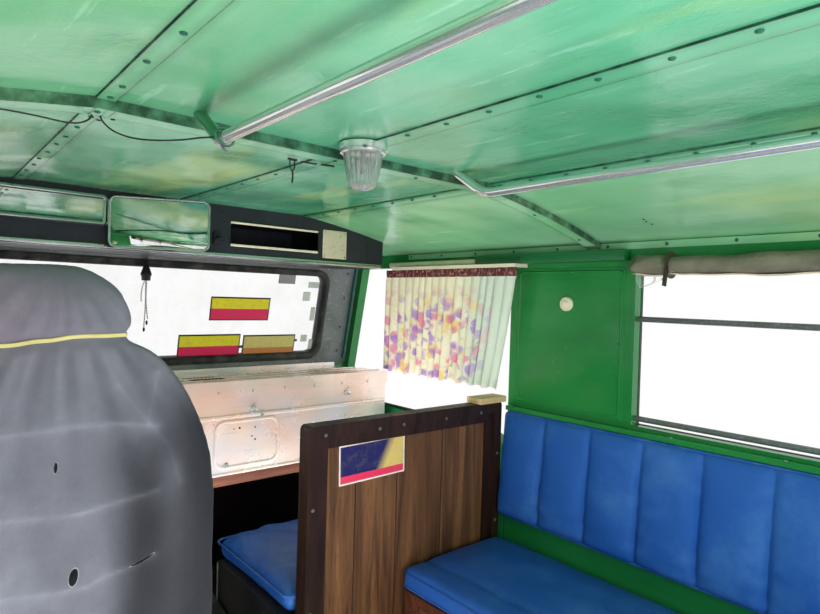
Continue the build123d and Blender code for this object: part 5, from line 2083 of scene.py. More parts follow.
def pad(
    length: float,
    width: float,
    height: float,
    edge: float,
    crown: float,
    seams: tuple[float, ...] = (),
    step: float = 0.021,
    seed: int = 5,
    long_seam: float | None = None,
) -> Skin:
    """A stuffed pad along X, its foot at z = 0 and its crowned side up.

    A round-cornered section is carried along X and drawn in on a quarter circle at both ends.
    The upper side rises by the crown times one less the fourth power of the way from the middle
    of each sewn length; at a seam it sinks by a narrow bell and a wide one, with small pulls.

    Args:
        length: along X.
        width: along Y.
        height: without the crown.
        edge: radius of its edges.
        crown: how far its middle stands up.
        seams: where it is sewn across.
        step: between two rings of faces.
        seed: which unevenness is drawn.
        long_seam: the offset of a seam along it, or none.

    Returns:
        The closed surface.
    """
    half = length / 2
    quarter = np.linspace(0, np.pi / 2, 6)
    x_end = edge * (1 - np.cos(quarter))
    even = np.linspace(-half + edge, half - edge, max(4, int((length - 2 * edge) / step)))[1:-1]
    close = np.add.outer(seams, SEAM_ROWS).ravel()
    clear = np.abs(np.subtract.outer(even, seams)).min(1, initial=1) > SEAM_ROWS[-1] + step / 3
    middle = np.sort(np.concatenate([even[clear], close]))
    x = np.concatenate([[-half] * 4, -half + x_end, middle, (half - x_end)[::-1], [half] * 4])
    inset = edge * (1 - np.sin(quarter))
    d = np.concatenate([[edge] * 4, inset, 0 * middle, inset[::-1], [edge] * 4])
    shrink = np.array([0.06, 0.35, 0.65, 0.9])
    scale = np.concatenate([shrink, np.ones(len(x) - 8), shrink[::-1]])
    count = int(2 * (width + height) / 0.0105)
    rings = [
        even_outline(width - 2 * a, height - 2 * a, max(edge - a, 0.001), count) * s
        for a, s in zip(d, scale)
    ]
    y, z = np.moveaxis(np.array(rings), -1, 0)
    marks = np.array([-half, *sorted(seams), half])
    place = np.clip(np.searchsorted(marks, x, "right") - 1, 0, len(marks) - 2)
    reach = (marks[place + 1] - marks[place]) / 2
    way = np.clip(np.abs(x - (marks[place] + reach)) / reach, 0, 1)
    upper = np.clip(z / (height / 2) * 0.5 + 0.5, 0, 1) ** 1.5
    rise = crown * (1 - way**4)[:, None] * (1 - np.clip(np.abs(2 * y / width), 0, 1) ** 3.5)
    for seam in seams:
        gap = (x - seam)[:, None]
        rise = rise - 0.005 * np.exp(-((gap / 0.007) ** 2)) - 0.003 * np.exp(-((gap / 0.04) ** 2))
        rise = rise + 0.0014 * np.sin(y * 130 + seam * 9) * np.exp(-((gap / 0.035) ** 2))
    if long_seam is not None:
        gap = y + long_seam
        rise = rise - 0.005 * np.exp(-((gap / 0.007) ** 2)) - 0.002 * np.exp(-((gap / 0.03) ** 2))
    points = np.stack([x[:, None] + 0 * y, y, z + height / 2 + rise * upper], -1)
    flat = points.reshape(-1, 3)
    flat[:, 2] += rumple(flat, seed, 0.11, 0.0012) * upper.ravel()
    return lattice(points, around=True, lids=True, size=(2 * (width + height), length))


def piping(length: float, width: float, height: float, radius: float, round_by: float) -> Skin:
    """A sewn cord round a pad's side, at the given height over its foot."""
    return tube(laid(round_outline(length, width, round_by, 8), height), radius, 8, closed=True)


def thickened(piece: bpy.types.Object, thickness: float) -> None:
    """Gives open cloth its thickness, half of it to each side."""
    wall = piece.modifiers.new("cloth thickness", "SOLIDIFY")
    wall.thickness, wall.offset = thickness, 0.0


def plumped(
    piece: bpy.types.Object, voxel: float, most: float, sculpt: Callable[[Array, Array], Array] | None
) -> None:
    """Swells a closed piece as stuffed cloth, then subdivides it once and works its folds in.

    Args:
        piece: the piece, whose mesh is replaced.
        voxel: size of the even faces that the cloth is made of.
        most: how far a point may move while it swells.
        sculpt: gives each point's offset along its normal, from places and normals.
    """
    grid = piece.modifiers.new("even faces", "REMESH")
    grid.mode, grid.voxel_size, grid.use_smooth_shade = "VOXEL", voxel, True
    settle(piece)
    rest = places_of(piece.data)
    scene = bpy.context.scene
    cloth = piece.modifiers.new("stuffed cover", "CLOTH")
    cloth.settings.use_pressure = True
    cloth.settings.uniform_pressure_force = 4.0
    cloth.settings.effector_weights.gravity = 0.0
    cloth.point_cache.frame_start, cloth.point_cache.frame_end = 1, 20
    for number in range(1, 21):
        scene.frame_set(number)
    settle(piece)
    scene.frame_set(1)
    move = places_of(piece.data) - rest
    far = np.linalg.norm(move, axis=1, keepdims=True)
    put_places(piece.data, rest + move * np.minimum(1, most / np.maximum(far, 1e-9)))
    finer = piece.modifiers.new("finer faces", "SUBSURF")
    finer.levels = finer.render_levels = 1
    settle(piece)
    if sculpt:
        mesh = piece.data
        normals = np.zeros(len(mesh.vertices) * 3)
        mesh.vertex_normals.foreach_get("vector", normals)
        points, normals = places_of(mesh), normals.reshape(-1, 3)
        put_places(mesh, points + normals * sculpt(points, normals)[:, None])
    piece.data.polygons.foreach_set("use_smooth", [True] * len(piece.data.polygons))


def settle(piece: bpy.types.Object) -> None:
    """Applies every modifier: the piece's mesh becomes what they made of it."""
    graph = bpy.context.evaluated_depsgraph_get()
    graph.update()
    made = bpy.data.meshes.new_from_object(piece.evaluated_get(graph))
    old, name = piece.data, piece.data.name
    piece.modifiers.clear()
    piece.data = made
    bpy.data.meshes.remove(old)
    made.name = name


def places_of(mesh: bpy.types.Mesh) -> Array:
    """The mesh's points as (n, 3)."""
    flat = np.zeros(len(mesh.vertices) * 3)
    mesh.vertices.foreach_get("co", flat)
    return flat.reshape(-1, 3)


def put_places(mesh: bpy.types.Mesh, points: Array) -> None:
    """Writes the points back."""
    mesh.vertices.foreach_set("co", points.ravel())
    mesh.update()


def mark(piece: bpy.types.Object, name: str, values: Array) -> None:
    """Writes one number for each of the piece's points, for its finish to read."""
    layer = piece.data.attributes.new(name, "FLOAT", "POINT")
    layer.data.foreach_set("value", np.asarray(values, np.float32))


def arc_through(start: Point, middle: Point, end: Point, count: int) -> Array:
    """Points on the circle through three points of a plane.

    The centre is where the two chords' middle lines cross.

    Args:
        start: the first point.
        middle: a point on the way.
        end: the last point.
        count: how many points.

    Returns:
        Points, shape (count, 2), from the first to the last.
    """
    a, b, c = (np.array(p, float) for p in (start, middle, end))
    centre = np.linalg.solve(2 * np.array([b - a, c - a]), [b @ b - a @ a, c @ c - a @ a])
    turns = np.unwrap([math.atan2(*(p - centre)[::-1]) for p in (a, b, c)])
    angle = np.linspace(turns[0], turns[2], count)
    return centre + np.linalg.norm(a - centre) * np.column_stack([np.cos(angle), np.sin(angle)])


def ease(value: Array, start: float, end: float) -> Array:
    """0 before start and 1 past end, with a smooth S between (3 t squared less 2 t cubed)."""
    share = np.clip((value - start) / (end - start), 0, 1)
    return share**2 * (3 - 2 * share)


def ridge(y: Array, z: Array, line: Array, width: float) -> Array:
    """1 on a polyline in the YZ plane, falling off as a tent.

    Args:
        y: of the places, shape (n,).
        z: of the places, shape (n,).
        line: the polyline, shape (k, 2).
        width: half the tent's width.

    Returns:
        Values, shape (n,).
    """
    best = np.full(len(y), np.inf)
    spot = np.column_stack([y, z])
    for start, end in zip(line, line[1:]):
        way = end - start
        share = np.clip((spot - start) @ way / (way @ way), 0, 1)
        best = np.minimum(best, np.linalg.norm(spot - start - share[:, None] * way, axis=1))
    return np.exp(-best / width)


@dataclass
class DriverSeat:
    """The tall driver's seat in its loose grey cover, tied at the neck, and its cushion."""

    y: float = 0.425
    low: float = 0.380
    top: float = 1.190
    foot_x: float = 1.0174
    thick: float = 0.105
    lean: float = 3.0
    swell: float = 0.003
    slack: tuple[tuple[float, ...], ...] = (
        (0.380, 0.415, 0.800, 0.880, 0.955, 1.030),
        (0.000, 0.023, 0.025, 0.015, 0.006, 0.000),
    )
    voxel: float = 0.008
    straight: tuple[tuple[float, float], ...] = ((0.238, 0.380), (0.256, 0.410), (0.258, 0.440))
    shoulder: tuple[tuple[float, float], ...] = ((0.247, 0.850), (0.213, 0.985), (0.126, 1.080))
    head: tuple[tuple[float, float], ...] = ((0.126, 1.080), (0.092, 1.170), (0.004, 1.190))
    creases: tuple[tuple[tuple[float, float], ...], ...] = (
        ((0.60, 0.951), (0.473, 0.948), (0.402, 0.950), (0.336, 0.950), (0.266, 0.940)),
        ((0.62, 0.835), (0.471, 0.827), (0.373, 0.819), (0.263, 0.835)),
        ((0.64, 0.728), (0.469, 0.717), (0.358, 0.703), (0.265, 0.731)),
        ((0.281, 0.945), (0.326, 1.007)),
        ((0.281, 0.945), (0.269, 1.023)),
        ((0.281, 0.945), (0.246, 0.905), (0.226, 0.840)),
        ((0.60, 0.600), (0.44, 0.612), (0.30, 0.590)),
    )

    def outline(self) -> Array:
        """The back's half width and height, from foot to crown: a run, and two arcs."""
        return np.concatenate(
            [self.straight, arc_through(*self.shoulder, 24), arc_through(*self.head, 24)[1:]]
        )

    def shell(self) -> Skin:
        """Round-cornered sections, as wide as the outline and thinner towards the crown."""
        rim_line = self.outline()
        turn = np.linspace(0, 1, 90)
        z = self.low + (self.top - 0.0005 - self.low) * np.sin(turn * np.pi / 2) ** 0.9
        half = np.interp(z, rim_line[:, 1], rim_line[:, 0]) - self.swell
        half += np.interp(z, *self.slack)
        half = np.maximum(half, 0.006)
        near_top = np.clip((z - 1.135) / (self.top - 1.135), 0, 1)
        near_foot = np.clip((0.42 - z) / 0.04, 0, 1)
        deep = self.thick / 2 - self.swell
        deep = deep * np.sqrt(1 - 0.96 * near_top**2) * np.sqrt(1 - 0.5 * near_foot**2)
        angle = angles(96)
        power = np.where(np.cos(angle) < 0, 2 / 12.0, 2 / 5.0)
        across = np.sign(np.sin(angle)) * np.abs(np.sin(angle)) ** power
        through = np.sign(np.cos(angle)) * np.abs(np.cos(angle)) ** power
        lean = math.sin(math.radians(self.lean))
        middle = self.foot_x + self.thick / 2 - (z - self.low) * lean
        rings = [
            middle[:, None] + deep[:, None] * through,
            self.y + half[:, None] * across,
            z[:, None] + 0 * angle,
        ]
        return lattice(np.stack(rings, -1), around=True, lids=True)

    def band_z(self, y: Array) -> Array:
        """Height of the tie round the neck."""
        return 1.0731 + (0.473 - y) * 0.057

    def waves(self, points: Array) -> tuple[Array, Array]:
        """Two patterns from -1 to 1: folds that fan out from the tie, and long upright ones.

        The fan is a sine of the angle about a point over the tie; the upright folds are a sine
        across the back whose phase wanders with the height.
        """
        _, y, z = points.T
        below = self.band_z(y) - z
        angle = np.arctan2(y - 0.405, 1.215 - z)
        fan = 0.7 * np.sin(angle * 24 + 1.7 * np.sin(angle * 5 + 0.6)) + 0.3 * np.sin(angle * 57 + 2)
        fan *= np.where(below > 0, np.exp(-below / 0.10), np.exp(below / 0.035))
        fan *= 1 - np.exp(-((below / 0.02) ** 2))
        low = np.clip((0.97 - z) / 0.1, 0, 1)
        drape = np.sin((y - 0.425) * 52 + 2.2 * np.sin((z - 0.4) * 5.5) + 0.8)
        return fan, drape * low * (0.6 + 0.4 * np.sin((z - 0.3) * 9 + y * 14))

    def folds(self, points: Array, normals: Array) -> Array:
        """The neck drawn in, the folds, creases that stand up, the side seam, and slack."""
        _, y, z = points.T
        fan, drape = self.waves(points)
        offset = -0.006 * np.exp(-(((self.band_z(y) - z) / 0.011) ** 2))
        offset += 0.0052 * fan + 0.0050 * drape
        rear = np.clip(-normals[:, 0] * 1.6 - 0.2, 0, 1)
        for n, line in enumerate(self.creases):
            offset += (0.0026 if n < 3 else 0.0018) * rear * ridge(y, z, np.array(line), 0.008)
        seam = self.outline()
        side = np.interp(z, seam[:, 1], seam[:, 0]) - 0.030
        offset += 0.0025 * rear * np.exp(-np.abs(np.abs(y - self.y) - side) / 0.004) * (z < 1.03)
        return offset + rumple(points, 21, 0.16, 0.0018) + rumple(points, 22, 0.06, 0.0006)

    def painted_light_and_tone(self, points: Array) -> Array:
        """How pale the cover is painted: painted light most at its lower left, painted highlights on the
        creases, painted shade at its right and in the folds.
        """
        _, y, z = points.T
        fan, drape = self.waves(points)
        # Paler lower left and darker right: painted light and shade; the folds and creases add painted shade
        # and highlights.
        shade = 0.25 + 0.24 * ease(z, 0.92, 0.52) * ease(y, 0.28, 0.54)
        shade -= 0.17 * ease(y, 0.42, 0.27) * ease(z, 1.08, 0.90)
        shade -= 0.11 * ease(y, 0.34, 0.19) * ease(z, 1.08, 0.90)
        shade += 0.08 * fan - 0.065 * drape
        for n, line in enumerate(self.creases):
            crease = np.array(line)
            broken = 0.6 + 0.4 * np.sin(y * 61 + n) * np.sin(z * 43 + 2 * n)
            shade += (0.15 if n < 3 else 0.07) * broken * ridge(y, z, crease, 0.0035)
            shade += 0.07 * broken * ridge(y, z, crease, 0.024)
        return 0.02 + 0.04 * np.log1p(np.exp((np.minimum(shade, 0.95) - 0.02) / 0.04))

    def build(self) -> None:
        """Makes the back, its tie and tears, and the cushion."""
        back = make("driver_seat_cover", self.shell(), SEAT_COVER, replaces=("driver_seat_back",))
        plumped(back, self.voxel, 0.006, self.folds)
        # The back's points carry painted light and shade for its finish.
        mark(back, "painted_light_and_tone", self.painted_light_and_tone(places_of(back.data)))
        skin = BVHTree.FromObject(back, bpy.context.evaluated_depsgraph_get())
        self.tie(skin)
        self.tears(skin)
        length, width, height = 0.424, 0.488, 0.094
        place = (1.3377, self.y, 0.3625)
        flat = moved(pad(length, width, height, 0.026, 0.012, (-0.02,), 0.009, 8), place)
        seat = make("driver_seat_pad", flat, SEAT_COVER, replaces=("driver_seat_cushion",))
        plumped(seat, 0.009, 0.008, lambda p, n: rumple(p, 31, 0.09, 0.0016) * np.clip(n[:, 2], 0, 1))
        # The cushion's points get only a random tone.
        mark(seat, "painted_light_and_tone", 0.3 + 60 * rumple(places_of(seat.data), 33, 0.11, 0.0016))
        cord = moved(piping(length, width, height - 0.02, 0.0035, 0.03), place)
        make("driver_seat_piping", cord, BLACK_PLASTIC)

    def tie(self, skin: BVHTree) -> None:
        """A flat pale ribbon laid on the neck: rays from outside find where the cover is."""
        angle = angles(72)
        middle = self.foot_x + self.thick / 2 - 0.69 * math.sin(math.radians(self.lean))
        centre = np.array([middle, self.y, float(self.band_z(np.array(self.y)))])
        ring = []
        for a in angle:
            out = np.array([math.cos(a), math.sin(a), 0])
            start = centre.copy()
            start[2] = float(self.band_z(np.array(self.y + 0.13 * math.sin(a))))
            hit = skin.ray_cast(tuple(start + out * 0.4), tuple(-out), 0.6)[0]
            ring.append(np.array(hit) + out * 0.0016 if hit else start + out * 0.11)
        ring = np.array(ring)
        out = (ring - centre) * (1, 1, 0)
        out /= np.linalg.norm(out, axis=1, keepdims=True)
        wave = 0.0008 * np.sin(angle * 7)
        section = [(-0.0008, -0.003), (0.001, -0.0026), (0.0014, 0), (0.001, 0.0026), (-0.0008, 0.003)]
        rows = [ring + out * a + np.array([0, 0, 1.0]) * (b + wave)[:, None] for a, b in section]
        make("neck_tie", lattice(np.array(rows), around=True, ring=True), NECK_TIE)

    def tears(self, skin: BVHTree) -> None:
        """Three worn holes: lens-shaped patches of painted shade laid on the cover, each with a pale fray."""
        dark, fray = [], []
        u, v = np.meshgrid(np.linspace(-1, 1, 15), np.linspace(-1, 1, 7))
        for y, z, length, width, turn in (
            (0.4055, 0.893, 0.016, 0.0045, 88),
            (0.378, 0.724, 0.026, 0.0125, 84),
            (0.283, 0.727, 0.036, 0.0035, 22),
        ):
            c, s = math.cos(math.radians(turn)), math.sin(math.radians(turn))
            for grow, up, out in ((1.0, 0.0009, dark), (1.16, 0.0005, fray)):
                a = u * length / 2 * grow
                ragged = grow + 0.25 * (grow - 1) * np.sin(u * 9)
                b = v * np.sqrt(np.clip(1 - u**2, 0, 1)) * width / 2 * ragged
                spots = np.stack([y - a * c + b * s, z + a * s + b * c], -1).reshape(-1, 2)
                hits = [skin.ray_cast((0.7, p[0], p[1]), (1, 0, 0), 1.0)[0] for p in spots]
                points = np.array([(h[0] - up, h[1], h[2]) for h in hits]).reshape(7, 15, 3)
                behind = (points + (0.0016, 0, 0))[::-1]
                out.append(lattice(np.concatenate([points, behind]), ring=True))
        make("cover_tears", joined(dark), HOLE_SHADE, solid=False)
        make("cover_frays", joined(fray), FRAY, solid=False)


@dataclass
class Benches:
    """Blue pads: the front bench's, and the two long benches' seats and backs."""

    rear: float = -2.012
    left_front: float = 0.877
    right_front: float = 1.172
    seat_y: tuple[float, float] = (0.415, 0.778)
    seat_z: tuple[float, float] = (0.4003, 0.472)
    back_z: tuple[float, float] = (0.520, 0.823)
    wall_y: float = 0.8297
    thick_top: float = 0.0397
    thick_low: float = 0.0737
    panel: float = 0.58
    channel: float = 0.145
    edge: float = 0.017

    def seams(self, length: float, pitch: float) -> tuple[float, ...]:
        """Evenly spaced cross seams, about a pitch apart."""
        count = round(length / pitch)
        return tuple(float(x) for x in (np.arange(1, count) / count - 0.5) * length)

    def seat(self, side: int, front: float) -> list[Skin]:
        """One long seat pad and its piping.

        Args:
            side: 1 on the left and -1 on the right.
            front: where it ends ahead.

        Returns:
            The pad, then its cords.
        """
        length, width = front - self.rear, self.seat_y[1] - self.seat_y[0]
        height = self.seat_z[1] - self.seat_z[0]
        seams = self.seams(length, self.panel)
        body = pad(length, width, height - 0.013, self.edge, 0.013, seams, 0.021, 40 + side, side * 0.105)
        cords = [
            piping(length - 0.001, width - 0.001, at, 0.0032, self.edge) for at in (height - 0.026, 0.012)
        ]
        place = ((front + self.rear) / 2, side * sum(self.seat_y) / 2, self.seat_z[0])
        return [moved(skin, place) for skin in (body, *cords)]

    def backrest(self, side: int, front: float) -> list[Skin]:
        """One long back pad: drawn flat, then stood against the wall, thicker at its foot.

        Args:
            side: 1 on the left and -1 on the right.
            front: where it ends ahead.

        Returns:
            The pad, then its cord.
        """
        length, tall = front - self.rear, self.back_z[1] - self.back_z[0]
        deep = 0.05
        seams = self.seams(length, self.channel)
        body = pad(length, tall, deep - 0.010, 0.014, 0.010, seams, 0.021, 50 + side)
        cords = [piping(length - 0.001, tall - 0.001, deep - 0.022, 0.0032, 0.014)]
        upright = []
        for skin in (body, *cords):
            x, up, out = skin.points.T
            share = (up + tall / 2) / tall
            thick = self.thick_low + (self.thick_top - self.thick_low) * share
            y = self.wall_y - out * thick / deep
            points = np.column_stack([x + (front + self.rear) / 2, side * y, up + sum(self.back_z) / 2])
            upright.append(Skin(points, skin.quads, skin.corners, skin.lids))
        return upright

    def build(self) -> None:
        """Makes the long pads in code, and the front bench's pad as stuffed cloth."""
        for name, shape, node in (
            ("seat", self.seat, "bench_cushions"),
            ("back", self.backrest, "bench_backrests"),
        ):
            for side, front, word in ((1, self.left_front, "left"), (-1, self.right_front, "right")):
                body, *cords = shape(side, front)
                bench = f"{word}_bench_{name}"
                piece = make(bench, body, BLUE_VINYL, replaces=(node,), crease=70)
                make(f"{bench}_piping", joined(cords), BLUE_PIPING)
        low, high = np.array((1.221, -0.784, 0.4003)), np.array((1.640, -0.107, 0.472))
        depth, length, height = high - low
        flat = pad(length - 0.008, depth - 0.008, height - 0.014, 0.022, 0.010, (0.0,), 0.009, 61)
        turn = basis((0, 1, 0), (-1, 0, 0))
        place = (*((low + high) / 2)[:2], low[2] + 0.001)
        flat = moved(flat, place, turn)
        piece = make("front_bench_pad", flat, BLUE_VINYL, replaces=("front_bench_cushion",))
        plumped(piece, 0.008, 0.008, self.dents)
        cord = moved(piping(length - 0.006, depth - 0.006, height - 0.026, 0.0032, 0.024), place, turn)
        make("front_bench_piping", cord, BLUE_PIPING)

    def dents(self, points: Array, normals: Array) -> Array:
        """Wide and small unevenness of the front bench's upper side."""
        uneven = rumple(points, 62, 0.07, 0.0018) + rumple(points, 63, 0.03, 0.0006)
        return uneven * np.clip(normals[:, 2], 0, 1)


@dataclass
class DoorCurtain:
    """The gathered print curtain over the right door's opening, on its boxed rail."""

    rear: float = 1.128
    front: float = 1.738
    y: float = -0.785
    top: float = 1.2538
    low: float = 0.888
    cut: tuple[float, float] = (0.82, 0.372)
    pleats: int = 17
    depth: float = 0.0072
    slant: float = 0.052

    def cloth(self) -> Array:
        """Pleats are a sine along the rail, uneven in width and depth and opening downwards."""
        s = np.linspace(0, 1, 310)[None]
        t = np.linspace(0, 1, 54)[:, None]
        run = s + 0.009 * np.sin(2 * np.pi * 2.3 * s + 1) + 0.004 * np.sin(2 * np.pi * 6.1 * s)
        phase = 2 * np.pi * self.pleats * run + 0.5 * t * np.sin(2 * np.pi * 4 * s + 0.7)
        uneven = 0.78 + 0.22 * np.sin(2 * np.pi * 3.7 * s + 0.5 + t)
        deep = self.depth * uneven * (0.72 + 0.28 * np.clip(t * 3, 0, 1))
        y = self.y + deep * (np.sin(phase) + 0.14 * np.sin(2 * phase + 1))
        gather = np.exp(-(((t - 0.072) / 0.02) ** 2))
        y = self.y + (y - self.y) * (1 - 0.45 * gather)
        inward = self.slant * t**1.3 * s**2 + 0.012 * t * s
        x = self.front + (self.rear - self.front) * s + inward + 0.0022 * np.cos(phase) * (1 - gather)
        z = self.top - t * (self.top - self.low) + 0.0035 * t * np.sin(phase * 0.5 + 1)
        return np.stack([x + 0 * t, y, z + 0 * s], -1)

    def build(self) -> None:
        """Makes the curtain, and the box and tube above the window openings."""
        curtain = make(
            "gathered_curtain",
            lattice(self.cloth(), size=self.cut),
            CURTAIN_CLOTH,
            replaces=("door_curtain",),
            solid=False,
            crease=180,
        )
        thickened(curtain, 0.0007)
        header = board((0.800, -0.8302, 1.264), (1.310, -0.796, 1.2935), 0.002)
        make("window_headers", both(header), DARK_GREEN)
        tubes = rod((1.309, -0.812, 1.2755), (1.752, -0.812, 1.2745), 0.0092, 20)
        make("header_tubes", both(tubes), CREAM)


@dataclass
class RolledCurtains:
    """Tarpaulin side curtains, rolled up under the eaves and tied, one over each bay."""

    bays: tuple[tuple[float, float], ...] = ((-0.114, 0.778), (-1.055, -0.162), (-1.995, -1.103))
    y: float = 0.799
    z: float = 1.250
    turns: float = 4.3
    core: float = 0.006
    outer: float = 0.0245
    ties: tuple[float, ...] = (0.11, 0.50, 0.89)

    def roll(self, rear: float, front: float, side: int, seed: int) -> Array:
        """A spiral from the core out to the hem, drawn in at the ties and crumpled at its front end.

        Its radius grows evenly with the angle, which ends on the inner side below the middle.

        Args:
            rear: its end behind.
            front: its end ahead.
            side: 1 on the left and -1 on the right.
            seed: which unevenness is drawn.

        Returns:
            Places, shape (66, 90, 3).
        """
        draw = np.random.default_rng(seed)
        x = np.linspace(rear + 0.004, front - 0.002, 66)[:, None]
        a = np.linspace(0, 1, 90)[None]
        angle = -1.1 - (1 - a) * self.turns * 2 * np.pi
        share = (x - rear) / (front - rear)
        squeeze = sum(0.17 * np.exp(-(((share - tie) / 0.022) ** 2)) for tie in self.ties)
        loose = 1 + 0.10 * np.sin(share * 21 + seed) * a + 0.05 * np.sin(share * 47 + a * 9)
        end = np.exp(-((1 - share) / 0.05))
        r = (self.core + (self.outer - self.core) * a**0.9) * (1 - squeeze) * loose
        r = r * (1 + 0.16 * end * np.sin(angle * 3 + share * 60))
        r = np.minimum(r, self.outer * 1.09)
        sag = -0.003 * np.sin(np.clip(share, 0, 1) * 2 * np.pi) ** 2 + draw.normal(0, 0.0003)
        y = self.y - r * np.cos(angle) * 1.02
        z = self.z + sag + r * np.sin(angle)
        slide = 0.006 * np.sin(angle) * end + 0.004 * np.sin(a * 40) * end
        return np.stack([x + 0 * a - np.abs(slide), side * y, z], -1)

    def tie(self, x: float, side: int) -> Skin:
        """A webbing loop round the roll, with a short free end.

        Args:
            x: its place along the roll.
            side: 1 on the left and -1 on the right.

        Returns:
            The loop and its end.
        """
        angle, r = angles(30), self.outer * 0.98
        y = side * (self.y - r * np.cos(angle))
        ring = np.column_stack([0 * angle + x, y, self.z - 0.001 + r * np.sin(angle)])
        loop = swept(ring, strap(0.0012, 0.008), True)
        y, z = side * (self.y - r), self.z - 0.006
        drop = [(x, y, z), (x + 0.002, y + side * 0.001, z - 0.02), (x + 0.006, y + side * 0.004, z - 0.045)]
        return joined([loop, swept(rounded_path(drop, 0.012), strap(0.0010, 0.007))])

    def build(self) -> None:
        """Makes six rolls with their ties, and the clear end that hangs out of the first."""
        length, stands_for = math.pi * (self.core + self.outer) * self.turns, ("rolled_side_curtains",)
        for side, word in SIDES:
            for n, (rear, front) in enumerate(self.bays):
                skin = lattice(self.roll(rear, front, side, 70 + n), size=(length, front - rear))
                name = f"{word}_rolled_curtain_{n + 1}"
                piece = make(
                    name, skin, TARPAULIN, replaces=stands_for, solid=False, crease=180
                )
                thickened(piece, 0.0006)
                straps = joined([self.tie(rear + (front - rear) * tie, side) for tie in self.ties])
                band = make(f"{name}_ties", straps, STRAP)
        self.clear_end()

    def clear_end(self) -> None:
        """The crumpled end of clear sheet below the right side's first roll."""
        u, v = np.linspace(0, 1, 34)[None], np.linspace(0, 1, 24)[:, None]
        x = 0.772 - 0.115 * u - 0.02 * v * (1 - u)
        z = 1.246 - 0.052 * v * (1 - 0.75 * u**1.4)
        points = np.stack([x, 0 * x - 0.790, z], -1)
        flat = points.reshape(-1, 3)
        flat[:, 1] += rumple(flat, 81, 0.035, 0.005) + rumple(flat, 82, 0.014, 0.0018)
        sheet = make("clear_sheet_end", lattice(points), CLEAR_SHEET, solid=False)


